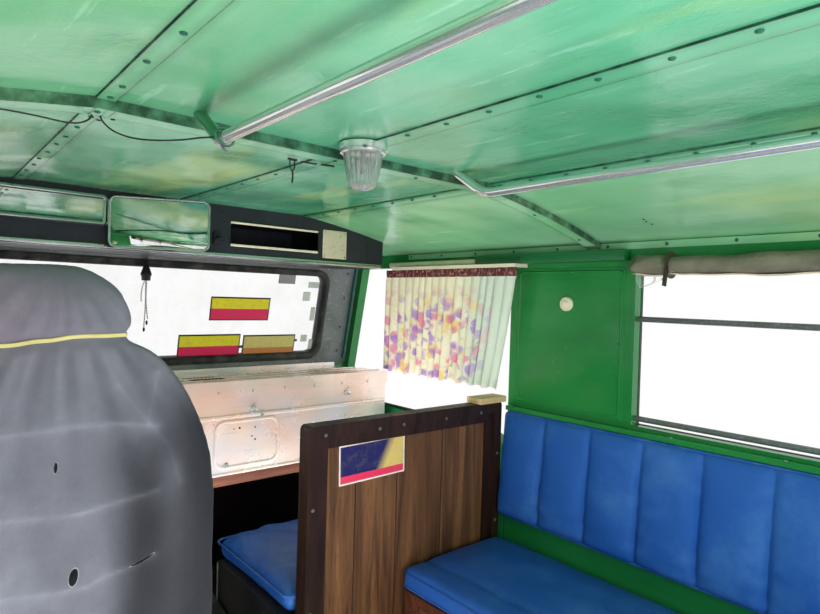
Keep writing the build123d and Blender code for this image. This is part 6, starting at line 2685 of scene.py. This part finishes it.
@dataclass
class SidePanels:
    """Mouldings, cover strips, rivets, wheel arch lips and window surrounds of both sides."""

    outer: float = 0.865
    inner: float = 0.830
    rear: float = -2.045
    door: float = 1.190
    axle: tuple[float, float] = (-1.150, -0.020)
    arch: float = 0.423
    posts: tuple[float, ...] = (-0.1253, -1.0657, 0.802)
    bays: tuple[tuple[float, float], ...] = ((-0.0943, 0.784), (-1.0347, -0.1563), (-1.975, -1.0967))
    window_z: tuple[float, float] = (0.847, 1.265)

    def clear_of_arch(self, z: float) -> tuple[tuple[float, float], ...]:
        """The two runs along X that the wheel arch leaves at a height."""
        half = math.sqrt(self.arch**2 - (z - self.axle[1]) ** 2) + 0.004
        return (self.rear, self.axle[0] - half), (self.axle[0] + half, self.door)

    def arc(self, radius: float, y: float, count: int) -> Array:
        """Places round the wheel's axle, from skirt to skirt.

        Args:
            radius: their distance from the axle.
            y: their place across the cabin.
            count: how many.

        Returns:
            Places, shape (count, 3).
        """
        low = math.asin((0.062 - self.axle[1]) / radius)
        angle = np.linspace(low, math.pi - low, count)
        round_axle = radius * np.column_stack([np.cos(angle), np.sin(angle)])
        return stood(round_axle, (self.axle[0], y, self.axle[1]))

    def mouldings(self) -> None:
        """Half-round steel beads, strips over the panel joints, and the rivets on all of them."""
        y, face = self.outer, self.outer + 0.0014
        beads = [rod((self.rear, y, 0.8345), (self.door, y, 0.8345), 0.0075, 16)]
        beads += [rod((self.rear, y, 0.818), (self.door, y, 0.818), 0.0035)]
        for z, radius in ((0.300, 0.006), (0.284, 0.003), (0.064, 0.0045)):
            beads += [rod((a, y, z), (b, y, z), radius) for a, b in self.clear_of_arch(z)]
        make("side_beads", both(joined(beads)), SILVER_TRIM)
        strips, rivets = [], []
        for x in self.posts:
            low = 0.408 if abs(x - self.axle[0]) < 0.4 else 0.070
            strips.append(board((x - 0.016, y - 0.001, low), (x + 0.016, face, 0.812), 0.0008))
            strips.append(board((x - 0.013, y - 0.001, 0.850), (x + 0.013, face, 1.262), 0.0008))
            rivets += [row((at, face, low + 0.02), (at, face, 0.80), 0.055) for at in (x - 0.010, x + 0.010)]
            rivets.append(row((x, face, 0.875), (x, face, 1.24), 0.073))
        make("side_joint_strips", both(joined(strips)), COACH_GREEN)
        for z in (0.806, 0.318, 0.078):
            runs = self.clear_of_arch(z) if z < 0.4 else ((self.rear, self.door),)
            rivets += [row((a + 0.02, y, z), (b - 0.02, y, z), 0.062) for a, b in runs]
        rivets.append(row((self.rear + 0.02, y, 1.300), (1.93, y, 1.300), 0.078))
        spots = two_sided(np.concatenate(rivets))
        heads("side_rivets", spots, sideways(spots), COACH_GREEN, 0.0040, 0.0020)

    def arches(self) -> None:
        """A rubber lip round each wheel arch, and the bolts that hold the flare."""
        lip = both(tube(self.arc(0.3985, 0.8808, 60), 0.0058, 12))
        make("wheel_arch_lips", lip, OLD_RUBBER)
        spots = two_sided(self.arc(0.4125, 0.883, 19)[1:-1])
        heads("wheel_arch_bolts", spots, sideways(spots), ZINC, 0.0048, 0.0030)

    def windows(self) -> None:
        """Rubber outside with a bright cord in it, a steel bead inside, and a wooden sill."""
        middle_z, tall = sum(self.window_z) / 2, self.window_z[1] - self.window_z[0]
        rubber = [(-0.0012, -0.006), (-0.0012, 0.003), (0.002, 0.005), (0.011, 0.005), (0.0135, 0.002)]
        rubber.append((0.0135, -0.001))
        steel = [(-0.001, -0.004), (-0.001, 0.002), (0.010, 0.002), (0.010, -0.001)]
        seals, cords, inside = [], [], []
        for low, high in self.bays:
            middle_x, wide = (low + high) / 2, high - low
            seal = rim(wide, tall, 0.004, rubber, 5)
            seals.append(moved(seal, (middle_x, self.outer, middle_z), FACING_LEFT))
            line = round_outline(wide + 0.0125, tall + 0.0125, 0.010)
            line = stood(line, (middle_x, self.outer + 0.0045, middle_z))
            cords.append(tube(line, 0.0022, 8, closed=True))
            frame_bead = rim(wide, tall, 0.004, steel, 4)
            inside.append(moved(frame_bead, (middle_x, self.inner, middle_z), FACING_RIGHT))
        make("window_rubbers", both(joined(seals)), OLD_RUBBER)
        make("window_cords", both(joined(cords)), SILVER_TRIM)
        make("window_inner_beads", both(joined(inside)), BODY_GREEN)
        ledge = board((-2.010, 0.806, 0.8262), (1.176, 0.8305, 0.8400), 0.003)
        make("window_ledges", both(ledge), BODY_GREEN)
        spots = two_sided(row((-1.97, 0.808, 0.8400), (1.15, 0.808, 0.8400), 0.24))
        heads("window_ledge_screws", spots, (0, 0, 1), ZINC, 0.0038, 0.0016)

    def wide_posts(self) -> None:
        """The pressed panel, its screws and a stop button on the wide post of each side."""
        shapes = [slab(0.350, 0.400, 0.003, 0.012, 0.001), rim(0.330, 0.380, 0.010, bead(0.007, 0.0045))]
        panel = [moved(shape, (0.985, self.inner, 1.050), FACING_RIGHT) for shape in shapes]
        make("wide_post_panels", both(joined(panel)), BODY_GREEN)
        across, up = (0.822, 0.985, 1.148), (0.862, 1.05, 1.238)
        around = [(x, self.inner - 0.0014, z) for x in across for z in up if (x, z) != (0.985, 1.05)]
        spots = two_sided(np.array(around))
        heads("wide_post_screws", spots, sideways(spots, -1), SCREW_GREEN)
        profile = [(0.020, -0.001), (0.020, 0.006), (0.017, 0.010), (0.009, 0.011), (0.0085, 0.015)]
        push = moved(turned([*profile, (0.004, 0.016)]), (0.985, self.inner - 0.001, 1.150), FACING_RIGHT)
        make("stop_buttons", both(push), CREAM)

    def fittings(self) -> None:
        """Marker lamps, reflectors and the filler cap."""
        spots = [(x, self.outer, 1.2895) for x in (1.02, -2.005)]
        amber = [moved(lens(0.0135, 0.011), spot, FACING_LEFT) for spot in spots]
        make("side_marker_lenses", both(joined(amber)), AMBER)
        red = moved(slab(0.060, 0.026, 0.006, 0.010, 0.0025), (-1.86, self.outer + 0.002, 0.445), FACING_LEFT)
        make("side_reflectors", both(red), RED_LENS)
        rings = [moved(collar(0.0145, 0.006, 0.005), spot, FACING_LEFT) for spot in spots]
        edge = rim(0.058, 0.024, 0.0105, bead(0.006, 0.007))
        rings.append(moved(edge, (-1.86, self.outer, 0.445), FACING_LEFT))
        make("side_lamp_rings", both(joined(rings)), CHROME)
        profile = [(0.056, -0.001), (0.056, 0.003), (0.046, 0.005), (0.044, 0.005), (0.044, 0.014)]
        cap = turned([*profile, (0.041, 0.018), (0.012, 0.019)], 40)
        cap = moved(cap, (-0.45, self.outer, 0.40), FACING_LEFT)
        grip = board((-0.4555, self.outer + 0.014, 0.366), (-0.4445, self.outer + 0.0215, 0.434), 0.002)
        make("filler_cap", joined([cap, grip]), ZINC)

    def build(self) -> None:
        """Makes all of it on the left and mirrors it to the right."""
        self.mouldings()
        self.arches()
        self.windows()
        self.wide_posts()
        self.fittings()


@dataclass
class RoofOutside:
    """Pressed ribs, rivets, drip lips and corner lamps on the roof's outside."""

    crown: float = 1.4497
    edge: tuple[float, float] = (0.887, 1.334)
    joints: tuple[float, ...] = (-1.640, -1.180, -0.660, -0.140, 0.383, 0.906, 1.500)

    def radius(self) -> float:
        """The arc's radius: half width squared plus rise squared, over twice the rise."""
        half, rise = self.edge[0], self.crown - self.edge[1]
        return (half**2 + rise**2) / (2 * rise)

    def height(self, y: Array | float) -> Array:
        """The roof's outside: one arc through its crown and both gutters."""
        r = self.radius()
        return self.crown - (r - np.sqrt(r**2 - np.asarray(y, float) ** 2))

    def build(self) -> None:
        """Makes everything on the left half and mirrors it."""
        ribs = []
        for y, reach in ((0.30, 2.20), (0.60, 2.17)):
            z = float(self.height(y))
            path = np.array([(x, y, z - 0.001) for x in (-2.03, -2.02, reach - 0.01, reach)])
            ribs.append(swept(path, circle(1.0) * (0.017, 0.0065)))
        lip = rod((-2.046, 0.8825, 1.3125), (2.150, 0.8825, 1.3125), 0.0042)
        flange = rod((-2.046, 0.8835, 1.3335), (2.155, 0.8835, 1.3335), 0.0034)
        make("roof_ribs", both(joined(ribs)), ROOF_PAINT)
        make("roof_drip_lips", both(joined([lip, flange])), ROOF_PAINT)
        rows = [row((-2.02, 0.868, 0), (2.13, 0.868, 0), 0.072)]
        rows += [row((x, 0.16, 0), (x, 0.845, 0), 0.057) for x in self.joints]
        y = np.linspace(-0.878, 0.878, 41)
        z = np.minimum(self.height(y) + 0.0005, 1.4494)
        tape = np.array([(-0.015, -0.0006), (0.015, -0.0006), (0.013, 0.0006), (-0.013, 0.0006)])
        laps = [swept(np.column_stack([0 * y + x, y, z]), tape) for x in self.joints]
        make("roof_joint_tape", joined(laps), JOINT_TAPE)
        spots = np.concatenate(rows)
        spots[:, 2] = self.height(spots[:, 1]) - 0.0004
        spots = two_sided(spots)
        out = spots[:, 1] / self.radius()
        ways = np.column_stack([0 * out, out, np.sqrt(1 - out**2)])
        heads("roof_rivets", spots, ways, ROOF_PAINT, 0.0046, 0.0020)
        lamps = [
            moved(lens(0.012, 0.013), (2.249 - 0.070 * (y / self.edge[0]) ** 2, y, z), FACING_FRONT)
            for y, z in ((0.74, 1.343), (0.56, 1.388))
        ]
        make("visor_lamps", both(joined(lamps)), AMBER)


@dataclass
class RearEnd:
    """Port rubbers, doorway edge, tail lamps, blank plate and the step's tread."""

    outside: float = -2.050
    inside: float = -2.015
    port: tuple[float, float, float, float] = (0.5975, 1.060, 0.335, 0.360)

    def on_back(self, skin: Skin, y: float, z: float, off: float = 0.0) -> Skin:
        """Sets a shape drawn in the XY plane on the rear wall's outside."""
        return moved(skin, (self.outside - off, y, z), FACING_REAR)

    def openings(self) -> None:
        """Rubbers and cords of the two ports, and the rubber round the doorway."""
        y, z, wide, tall = self.port
        section = [(-0.002, -0.008), (-0.003, 0.003), (0.001, 0.008), (0.012, 0.008), (0.016, 0.003)]
        rubber = rim(wide, tall, 0.040, [*section, (0.016, -0.001)], 9)
        ports = [self.on_back(rubber, y, z), moved(rubber, (self.inside, y, z), FACING_FRONT)]
        make("rear_port_rubbers", both(joined(ports)), OLD_RUBBER)
        line = round_outline(wide + 0.013, tall + 0.013, 0.046)
        cord = tube(stood(line, (self.outside - 0.0075, y, z), 1), 0.0024, 8, closed=True)
        make("rear_port_cords", both(cord), SILVER_TRIM)
        edges = []
        for x, radius in ((self.outside, 0.0075), (self.inside, 0.006)):
            corners = [(x, -0.352, 0.112), (x, -0.352, 1.337), (x, 0.352, 1.337), (x, 0.352, 0.112)]
            edges.append(bent_tube(corners, 0.062, radius, 10, 14))
        make("doorway_edge", joined(edges), OLD_RUBBER)

    def lamps(self) -> None:
        """Tail lamps: a dark back with a red and an amber lens, and a red one lower down."""
        y, off, high, low = 0.772, 0.009, 0.748, 0.662
        back = self.on_back(slab(0.094, 0.190, 0.010, 0.014, 0.003), y, (high + low) / 2, 0.004)
        red = [self.on_back(lens(0.033, 0.018), y, high, off), self.on_back(lens(0.024, 0.010), y, 0.425)]
        amber = self.on_back(lens(0.033, 0.018), y, low, off)
        rings = [self.on_back(collar(0.0345, 0.008, 0.008), y, z, off) for z in (high, low)]
        rings.append(self.on_back(collar(0.025, 0.006, 0.007), y, 0.425))
        make("tail_lamp_backs", both(back), BLACK_PLASTIC)
        make("tail_lamp_red_lenses", both(joined(red)), RED_LENS)
        make("tail_lamp_amber_lenses", both(amber), AMBER)
        make("tail_lamp_rings", both(joined(rings)), CHROME)

    def plate(self) -> None:
        """The blank plate, its frame with a lamp hood, and its screws."""
        x, y, z = self.outside, 0.575, 0.330
        plate = self.on_back(slab(0.330, 0.140, 0.002, 0.010, 0.0006), y, z, 0.006)
        make("rear_blank_plate", plate, PLATE)
        edge = self.on_back(rim(0.326, 0.136, 0.010, bead(0.010, 0.009), 6), y, z)
        hood = board((x - 0.030, 0.540, 0.408), (x, 0.610, 0.424), 0.004)
        make("rear_plate_frame", joined([edge, hood]), BLACK_PLASTIC)
        pins = np.array([(x - 0.007, y + a, z + b) for a in (-0.12, 0.12) for b in (-0.045, 0.045)])
        heads("rear_plate_screws", pins, (-1, 0, 0), ZINC)

    def metal(self) -> None:
        """Rivets and beads on the wall, the step's tread and the doorway's sill."""
        x = self.outside
        rivets = [row((x, 0.382, 0.14), (x, 0.382, 1.32), 0.07)]
        rivets.append(row((x, 0.820, 0.09), (x, 0.820, 1.30), 0.075))
        rivets += [row((x, 0.41, z), (x, 0.79, z), 0.076) for z in (0.135, 0.836, 1.296)]
        spots = two_sided(np.concatenate(rivets))
        heads("rear_rivets", spots, (-1, 0, 0), COACH_GREEN, 0.0040, 0.0020)
        beads = [rod((x, 0.372, z), (x, 0.862, z), r, 14) for z, r in ((0.8540, 0.0060), (0.300, 0.0055))]
        beads.append(rod((x + 0.001, 0.8625, 0.066), (x + 0.001, 0.8625, 1.310), 0.0045))
        make("rear_beads", both(joined(beads)), SILVER_TRIM)
        step = np.arange(-2.236, -2.056, 0.0165)
        treads = [rod((x, -0.322, 0.0445), (x, 0.322, 0.0445), 0.0030, 8) for x in step]
        nose = board((-2.2500, -0.330, 0.0215), (-2.2400, 0.330, 0.0478), 0.002)
        make("rear_step_treads", joined([*treads, nose]), STEEL)
        sill = board((-2.052, -0.345, 0.1085), (-2.000, 0.345, 0.1140), 0.002)
        make("doorway_sill_plate", sill, SILVER_TRIM)

    def build(self) -> None:
        """Makes the rear wall's and step's details."""
        self.openings()
        self.lamps()
        self.plate()
        self.metal()


@dataclass
class HalfDoors:
    """Edge bead, handle, latch, padded card and pull of each half door."""

    x: tuple[float, float] = (1.195, 1.957)
    z: tuple[float, float] = (0.150, 0.740)
    outer: float = 0.865
    inner: float = 0.831

    def left(self) -> tuple[tuple[str, Skin, Finish, Slot], ...]:
        """The left door's pieces: name, surface, finish and slot."""
        wide, tall = self.x[1] - self.x[0], self.z[1] - self.z[0]
        line = round_outline(wide - 0.05, tall - 0.05, 0.045)
        edge = tube(stood(line, (sum(self.x) / 2, self.outer, sum(self.z) / 2)), 0.0035, 10, closed=True)
        cap = rod((1.262, 0.848, self.z[1]), (1.890, 0.848, self.z[1]), 0.0085, 14)
        plate = slab(0.046, 0.092, 0.004, 0.010, 0.0015)
        grip = [(1.243, 0.866, 0.580), (1.243, 0.8795, 0.580), (1.262, 0.8795, 0.579), (1.345, 0.8790, 0.575)]
        lock = turned([(0.009, 0), (0.009, 0.004), (0.006, 0.005), (0.003, 0.005)], 16)
        handle = [
            moved(plate, (1.243, self.outer + 0.0015, 0.565), FACING_LEFT),
            bent_tube(grip, 0.006, 0.0058, 6, 14),
            moved(lock, (1.243, self.outer + 0.003, 0.545), FACING_LEFT),
        ]
        card = slab(0.640, 0.460, 0.006, 0.030, 0.0025)
        card = [moved(card, (1.585, self.inner - 0.0022, 0.440), FACING_RIGHT)]
        groove = rim(0.50, 0.15, 0.02, bead(0.006, 0.0035))
        card += [moved(groove, (1.585, self.inner - 0.005, z), FACING_RIGHT) for z in (0.345, 0.535)]
        latch = board((1.200, self.inner - 0.011, 0.555), (1.246, self.inner + 0.0005, 0.625), 0.003)
        reach = ((1.40, self.inner), (1.40, 0.802), (1.56, 0.802), (1.56, self.inner))
        pull = bent_tube([(x, y, 0.655) for x, y in reach], 0.016, 0.0055, 8, 14)
        return (
            ("edge_bead", edge, SILVER_TRIM, Slot.POLISHED),
            ("cap", cap, OLD_RUBBER, Slot.RUBBER),
            ("handle", joined(handle), CHROME, Slot.POLISHED),
            ("card", joined(card), BLUE_VINYL, Slot.VINYL),
            ("latch", latch, ZINC, Slot.ZINC),
            ("pull", pull, CHROME, Slot.POLISHED),
        )

    def build(self) -> None:
        """Makes the left door's pieces, and their mirror images for the right one."""
        pieces = self.left()
        across, up = (1.285, 1.485, 1.685, 1.885), (0.232, 0.648)
        studs = np.array([(x, self.inner - 0.0050, z) for x in across for z in up])
        for side, word in SIDES:
            door = f"{word}_door"
            for name, shape, finish, slot in pieces:
                make(f"{door}_{name}", on_side(shape, side), finish, door)
            heads(f"{door}_studs", studs * (1, side, 1), (0, -side, 0), ZINC, 0.005, 0.002, door)


@dataclass
class Firewall:
    """Pressings, bolts, seal and grommets on the front, louvres in the cheeks, and the wipers."""

    face: float = 2.150
    column: tuple[float, float] = (0.425, 0.476)

    def on_front(self, skin: Skin, y: float, z: float, off: float = 0.0) -> Skin:
        """Sets a shape drawn in the XY plane on the front wall."""
        return moved(skin, (self.face + off, y, z), FACING_FRONT)

    def wall(self) -> None:
        """The front wall's pressings and bolts, and all that is rubber on it."""
        wide, narrow = (rim(width, 0.40, 0.04, bead(0.020, 0.008)) for width in (0.50, 0.42))
        low = rim(1.40, 0.085, 0.03, bead(0.016, 0.006))
        spots = ((wide, 0, 0.36), (narrow, 0.52, 0.36), (narrow, -0.52, 0.36), (low, 0, 0.715))
        shapes = [self.on_front(shape, y, z) for shape, y, z in spots]
        make("firewall_pressings", joined(shapes), BODY_GREEN)
        x = self.face
        bolts = [row((x, y, 0.09), (x, y, 0.79), 0.1) for y in (0.845, -0.845)]
        bolts += [row((x, -0.80, z), (x, 0.80, z), 0.107) for z in (0.085, 0.858)]
        heads("firewall_bolts", np.concatenate(bolts), (1, 0, 0), ZINC, 0.0065, 0.004)
        y = np.linspace(-0.80, 0.80, 33)
        rubber = [tube(np.column_stack([0 * y + x, y, 0.812 - 0.03 * (y / 0.8) ** 4]), 0.0095, 12)]
        profile = [(0.026, -0.001), (0.026, 0.005), (0.021, 0.009), (0.013, 0.009), (0.011, 0.004)]
        grommet = turned([*profile, (0.004, 0.003)])
        holes = ((-0.34, 0.64), (-0.26, 0.64), (0.18, 0.64), (0.30, 0.63), (-0.10, 0.62))
        rubber += [self.on_front(grommet, *hole) for hole in holes]
        stop = slab(0.05, 0.03, 0.016, 0.004, 0.003)
        rubber += [self.on_front(stop, y, 0.838, 0.007) for y in (-0.55, 0.55)]
        make("firewall_rubbers", joined(rubber), RUBBER)

    def column_flange(self) -> None:
        """The plate that the steering column passes through, and its bolts."""
        profile = [(0.062, -0.001), (0.062, 0.003), (0.058, 0.005), (0.034, 0.006), (0.030, 0.012)]
        flange = self.on_front(turned([*profile, (0.012, 0.013)], 32), *self.column)
        make("steering_flange", flange, STEEL)
        angle = angles(4, 0.78)
        ring = 0.049 * np.column_stack([np.cos(angle), np.sin(angle)])
        bolts = stood(ring, (self.face + 0.003, *self.column), 1)
        heads("steering_flange_bolts", bolts, (1, 0, 0), ZINC, 0.0062, 0.005)

    def cheeks(self) -> None:
        """Louvres and beads on the cheeks at both ends of the front wall."""
        louvres = []
        for z in np.arange(0.46, 0.66, 0.027):
            corners = [(2.005, 0.8645, z), (2.012, 0.8700, z), (2.112, 0.8700, z), (2.119, 0.8645, z)]
            louvres.append(bent_tube(corners, 0.005, 0.0062, 5, 12))
        make("cheek_louvres", both(joined(louvres)), COACH_GREEN)
        beads = [rod((1.975, 0.865, z), (2.146, 0.865, z), r) for z, r in ((0.300, 0.006), (0.818, 0.005))]
        beads.append(rod((2.1465, 0.8640, 0.066), (2.1465, 0.8640, 0.820), 0.0040))
        make("cheek_beads", both(joined(beads)), SILVER_TRIM)

    def wiper(self, side: int, word: str) -> None:
        """A wiper's arm on its pivot, and its blade, on the outside of the glass.

        Args:
            side: 1 on the left and -1 on the right.
            word: the side's name.
        """
        foot, tip = side * 0.16, side * 0.43
        arm = [(foot, -0.026, 0.0), (foot, -0.026, 0.012)]
        arm += [(foot + side * 0.04, -0.004, 0.016), (tip, 0.034, 0.012)]
        pivot = turned([(0.016, -0.02), (0.016, 0.002), (0.012, 0.008), (0.006, 0.014)], 20)
        arm = joined([bent_tube(arm, 0.02, 0.0032, count=10), moved(pivot, (foot, -0.026, 0))])
        blade = board((-0.19, -0.004, 0.0), (0.19, 0.004, 0.010), 0.0015)
        blade = moved(blade, (tip, 0.034, -0.002), about_z(side * math.radians(5)))
        for part, shape, finish in (("arm", arm, STEEL), ("blade", blade, RUBBER)):
            outward = Skin(shape.points * (-1, 1, -1), shape.quads, shape.corners, shape.lids)
            outward = Windscreen().on_glass(outward, 0.0, 0.0, -0.0285)
            make(f"{word}_wiper_{part}", outward, finish)

    def build(self) -> None:
        """Makes the front wall's details and the wipers."""
        self.wall()
        self.column_flange()
        self.cheeks()
        for side, word in SIDES:
            self.wiper(side, word)


@dataclass
class CabFittings:
    """Horn button, column switch, pedal rubbers, lever boot, mats and seat base trim."""

    hub: Point = (1.480, 0.425, 0.895)
    lean: float = 32.0

    def steering(self) -> None:
        """The wheel's horn button and spoke covers, and the switch on its column."""
        a = math.radians(self.lean)
        toward = np.array([-math.cos(a), 0, math.sin(a)])
        turn = facing(toward[None])[0]
        spot = tuple(np.array(self.hub) + toward * 0.0148)
        profile = [(0.030, 0), (0.030, 0.004), (0.027, 0.007), (0.019, 0.0085), (0.018, 0.0105)]
        button = moved(turned([*profile, (0.006, 0.0125)], 32), spot, turn)
        make("horn_button", button, BLACK_PLASTIC, "steering")
        make("horn_ring", moved(collar(0.0245, 0.004, 0.010), spot, turn), CHROME, "steering")
        ridges = []
        for b in angles(30):
            around = np.array([0, math.cos(b), 0]) + math.sin(b) * np.array([math.sin(a), 0, math.cos(a)])
            middle = np.array(self.hub) + toward * 0.022 + around * 0.189
            ring = middle + circle(0.0112, 14) @ np.array([around, toward])
            ridges.append(tube(ring, 0.0011, 6, closed=True))
        make("steering_rim_lacing", joined(ridges), BLACK_PLASTIC, "steering")
        start = np.array(self.hub) - 0.13 * toward
        stalk = rounded_path([start, start + (0, 0.06, 0.004), start + (-0.018, 0.135, 0.012)], 0.02)
        knob = turned([(0.004, -0.012), (0.008, -0.008), (0.0085, 0.006), (0.004, 0.010)], 16)
        knob = moved(knob, tuple(stalk[-1]), facing(np.array([[0, 1.0, 0]]))[0])
        make("column_switch", joined([tube(stalk, 0.0035, 10), knob]), BLACK_PLASTIC)

    def floor(self) -> None:
        """Ribbed rubber mats in both footwells and raised lozenges down the aisle."""
        mats = []
        for low, high in ((0.150, 0.800), (-0.800, -0.115)):
            mats.append(board((1.645, low, 0.1095), (2.100, high, 0.1140), 0.0015))
            for x in np.arange(1.665, 2.085, 0.018):
                mats.append(rod((x, low + 0.02, 0.1142), (x, high - 0.02, 0.1142), 0.0026, 8))
        make("cab_mats", joined(mats), RUBBER)
        diamond = np.array([(-1, 0), (0, -1), (1, 0), (0, 1)])
        foot, top = laid(diamond * (0.015, 0.0045), 0), laid(diamond * (0.010, 0.0026), 0.0016)
        lozenge = lattice(np.array([foot, top]), around=True, lids=True)
        x, y = np.meshgrid(np.arange(-1.985, 1.165, 0.030), np.arange(-0.405, 0.406, 0.030), indexing="ij")
        odd = np.add.outer(*map(np.arange, x.shape)).ravel() % 2
        turns = np.array([about_z(math.radians(turn)) for turn in (-45, 45)])[odd]
        spots = laid(np.column_stack([x.ravel(), y.ravel()]), 0.1098)
        make("aisle_lozenges", repeated(lozenge, spots, turns), FLOOR_METAL)

    def controls(self) -> None:
        """Ribbed rubber on the pedals, the lever's boot and its knob's cap."""
        lean = math.radians(-35)
        turn = basis((math.cos(lean), 0, -math.sin(lean)), (0, 1, 0))
        pads = []
        for y, width in ((0.330, 0.060), (0.430, 0.060), (0.540, 0.046)):
            plate = board((-0.0085, -width / 2 - 0.001, -0.034), (-0.0055, width / 2 + 0.001, 0.034), 0.001)
            ribs = [
                rod((-0.0088, -width / 2 + 0.004, z), (-0.0088, width / 2 - 0.004, z), 0.0019, 8)
                for z in np.linspace(-0.028, 0.028, 7)
            ]
            pads.append(moved(joined([plate, *ribs]), (1.950, y, 0.270), turn))
        make("pedal_rubbers", joined(pads), RUBBER)
        rings = []
        for n, share in enumerate(np.linspace(0, 1, 15)):
            out = circle(0.062 - 0.044 * share + 0.0045 * (-1) ** n, 32)
            lift = 0.20 * np.clip(out[:, 0], -0.05, 0.05) * (1 - share)
            ring = laid(out + (1.466 - 0.010 * share, 0.0175), 0.292 + 0.088 * share)
            ring[:, 2] += lift
            rings.append(ring)
        make("lever_boot", lattice(np.array(rings), around=True, lids=True), RUBBER)
        cap = moved(turned([(0.017, 0.0), (0.0155, 0.004), (0.006, 0.0055)], 20), (1.440, 0.0175, 0.6530))
        make("lever_knob_cap", cap, CREAM)

    def seat_bases(self) -> None:
        """Steel corners, kick strip and pressing on both seat bases, and their bolts."""
        edges = []
        for (x0, y0, z0), (x1, y1, z1) in (
            ((0.9974, 0.215, 0.11), (1.5027, 0.635, 0.378)),
            ((1.215, -0.784, 0.11), (1.61, -0.107, 0.4)),
        ):
            for x, y in ((x0, y0), (x0, y1), (x1, y0), (x1, y1)):
                edges.append(board((x - 0.0025, y - 0.0025, z0), (x + 0.0025, y + 0.0025, z1 - 0.004), 0.001))
            low, high = (x1 - 0.001, y0 + 0.01, z0 + 0.001), (x1 + 0.003, y1 - 0.01, z0 + 0.030)
            edges.append(board(low, high, 0.001))
            pressing = rim(y1 - y0 - 0.14, z1 - z0 - 0.12, 0.02, bead(0.012, 0.005))
            edges.append(moved(pressing, (x1, (y0 + y1) / 2, (z0 + z1) / 2), FACING_FRONT))
        make("seat_base_trim", joined(edges), STEEL)
        rows = ((1.613, -0.74, -0.15), (1.5057, 0.25, 0.60))
        spots = np.concatenate([row((x, low, 0.126), (x, high, 0.126), 0.1) for x, low, high in rows])
        heads("seat_base_bolts", spots, (1, 0, 0), ZINC, 0.0055, 0.003)

    def build(self) -> None:
        """Makes the cab's small fittings."""
        self.steering()
        self.floor()
        self.controls()
        self.seat_bases()


@dataclass
class BenchBoxes:
    """Battens, kick strips, nosings, screws and air slots on the fronts of both bench boxes."""

    face: float = 0.430
    rear: float = -2.010

    def build(self) -> None:
        """Makes both boxes' pieces. The left and right boxes end at different places."""
        face = self.face
        battens, steel, slots, screws = [], [], [], []
        for side, front in ((1, 0.877), (-1, 1.172)):
            places = np.linspace(self.rear + 0.03, front - 0.03, 7)
            shapes = [
                board((x - 0.022, face - 0.009, 0.150), (x + 0.022, face + 0.001, 0.378), 0.0025)
                for x in places
            ]
            shapes.append(board((self.rear, face - 0.008, 0.372), (front, face + 0.001, 0.398), 0.003))
            kick = board((self.rear, face - 0.003, 0.111), (front, face + 0.001, 0.152), 0.001)
            slot = slab(0.15, 0.010, 0.001, 0.004, 0.0003)
            holes = [
                moved(slot, (x, face - 0.0002, z), FACING_RIGHT)
                for x in (places[1:] + places[:-1]) / 2
                for z in (0.232, 0.262, 0.292)
            ]
            battens.append(on_side(joined(shapes), side))
            steel.append(on_side(kick, side))
            slots.append(on_side(joined(holes), side))
            screws += [(x, side * (face - 0.009), z) for x in places for z in (0.175, 0.265, 0.355)]
        make("bench_battens", joined(battens), DARK_STRIP_WOOD)
        make("bench_kick_strips", joined(steel), STEEL)
        make("bench_air_slots", joined(slots), HOLE_SHADE)
        spots = np.array(screws)
        heads("bench_batten_screws", spots, sideways(spots, -1), ZINC)


@dataclass
class CarriedOver:
    """CAD nodes whose shape is right: each only gets its finish."""

    def build(self) -> None:
        """Dresses every node."""
        dress(GREEN, "ceiling_sheets", "ceiling_strips")
        dress(LIT_BOW_GREEN, "roof_bows")
        dress(COACH_GREEN, "left_side_panel", "right_side_panel", "left_door", "right_door")
        dress(COACH_GREEN, "rear_wall", "cowl")
        dress(BODY_GREEN, "left_window_frame", "right_window_frame")
        dress(ROOF_PAINT, "roof_shell")
        dress(PILLAR, "windscreen_frame")
        dress(BLACK_PAINT, "steering_column", "seat_bases", "wheel_houses")
        dress(STEEL, "floor_bearers", "floor_sills", "window_guard_bars")
        dress(FLOOR_METAL, "floor_pan", "rear_step")
        dress(CHROME, "dome_lamp_base")
        dress(ZINC, "door_hinges")
        dress(CONSOLE, "overhead_console")
        dress(MIRROR_GLASS, "console_mirror")
        dress(SCREEN_GLASS, "windscreen_glass")
        dress(DASH_METAL, "dashboard")
        dress(RUBBER, "steering_wheel", "gearbox_cover", "pedals")
        dress(DARK_WOOD, "partition_frame")
        dress(BOX_WOOD, "bench_boxes")
        dress(PLANKS, "partition_panel")
        dress(CREAM, "curtain_rail")


def main() -> None:
    """Builds the scene in order."""
    logging.basicConfig(level=logging.INFO, format="%(name)s: %(message)s")
    Studio().build()
    LooseWires().build()
    CarriedOver().build()
    cab = (Ceiling, GrabRails, DomeLamp, OverheadConsole, RearViewMirror, Windscreen, Dash, Partition)
    soft = (DriverSeat, Benches, DoorCurtain, RolledCurtains)
    shell = (SidePanels, RoofOutside, RearEnd, HalfDoors, Firewall, CabFittings, BenchBoxes)
    for part in (*cab, *soft, *shell):
        part().build()


if __name__ == "__main__":
    main()
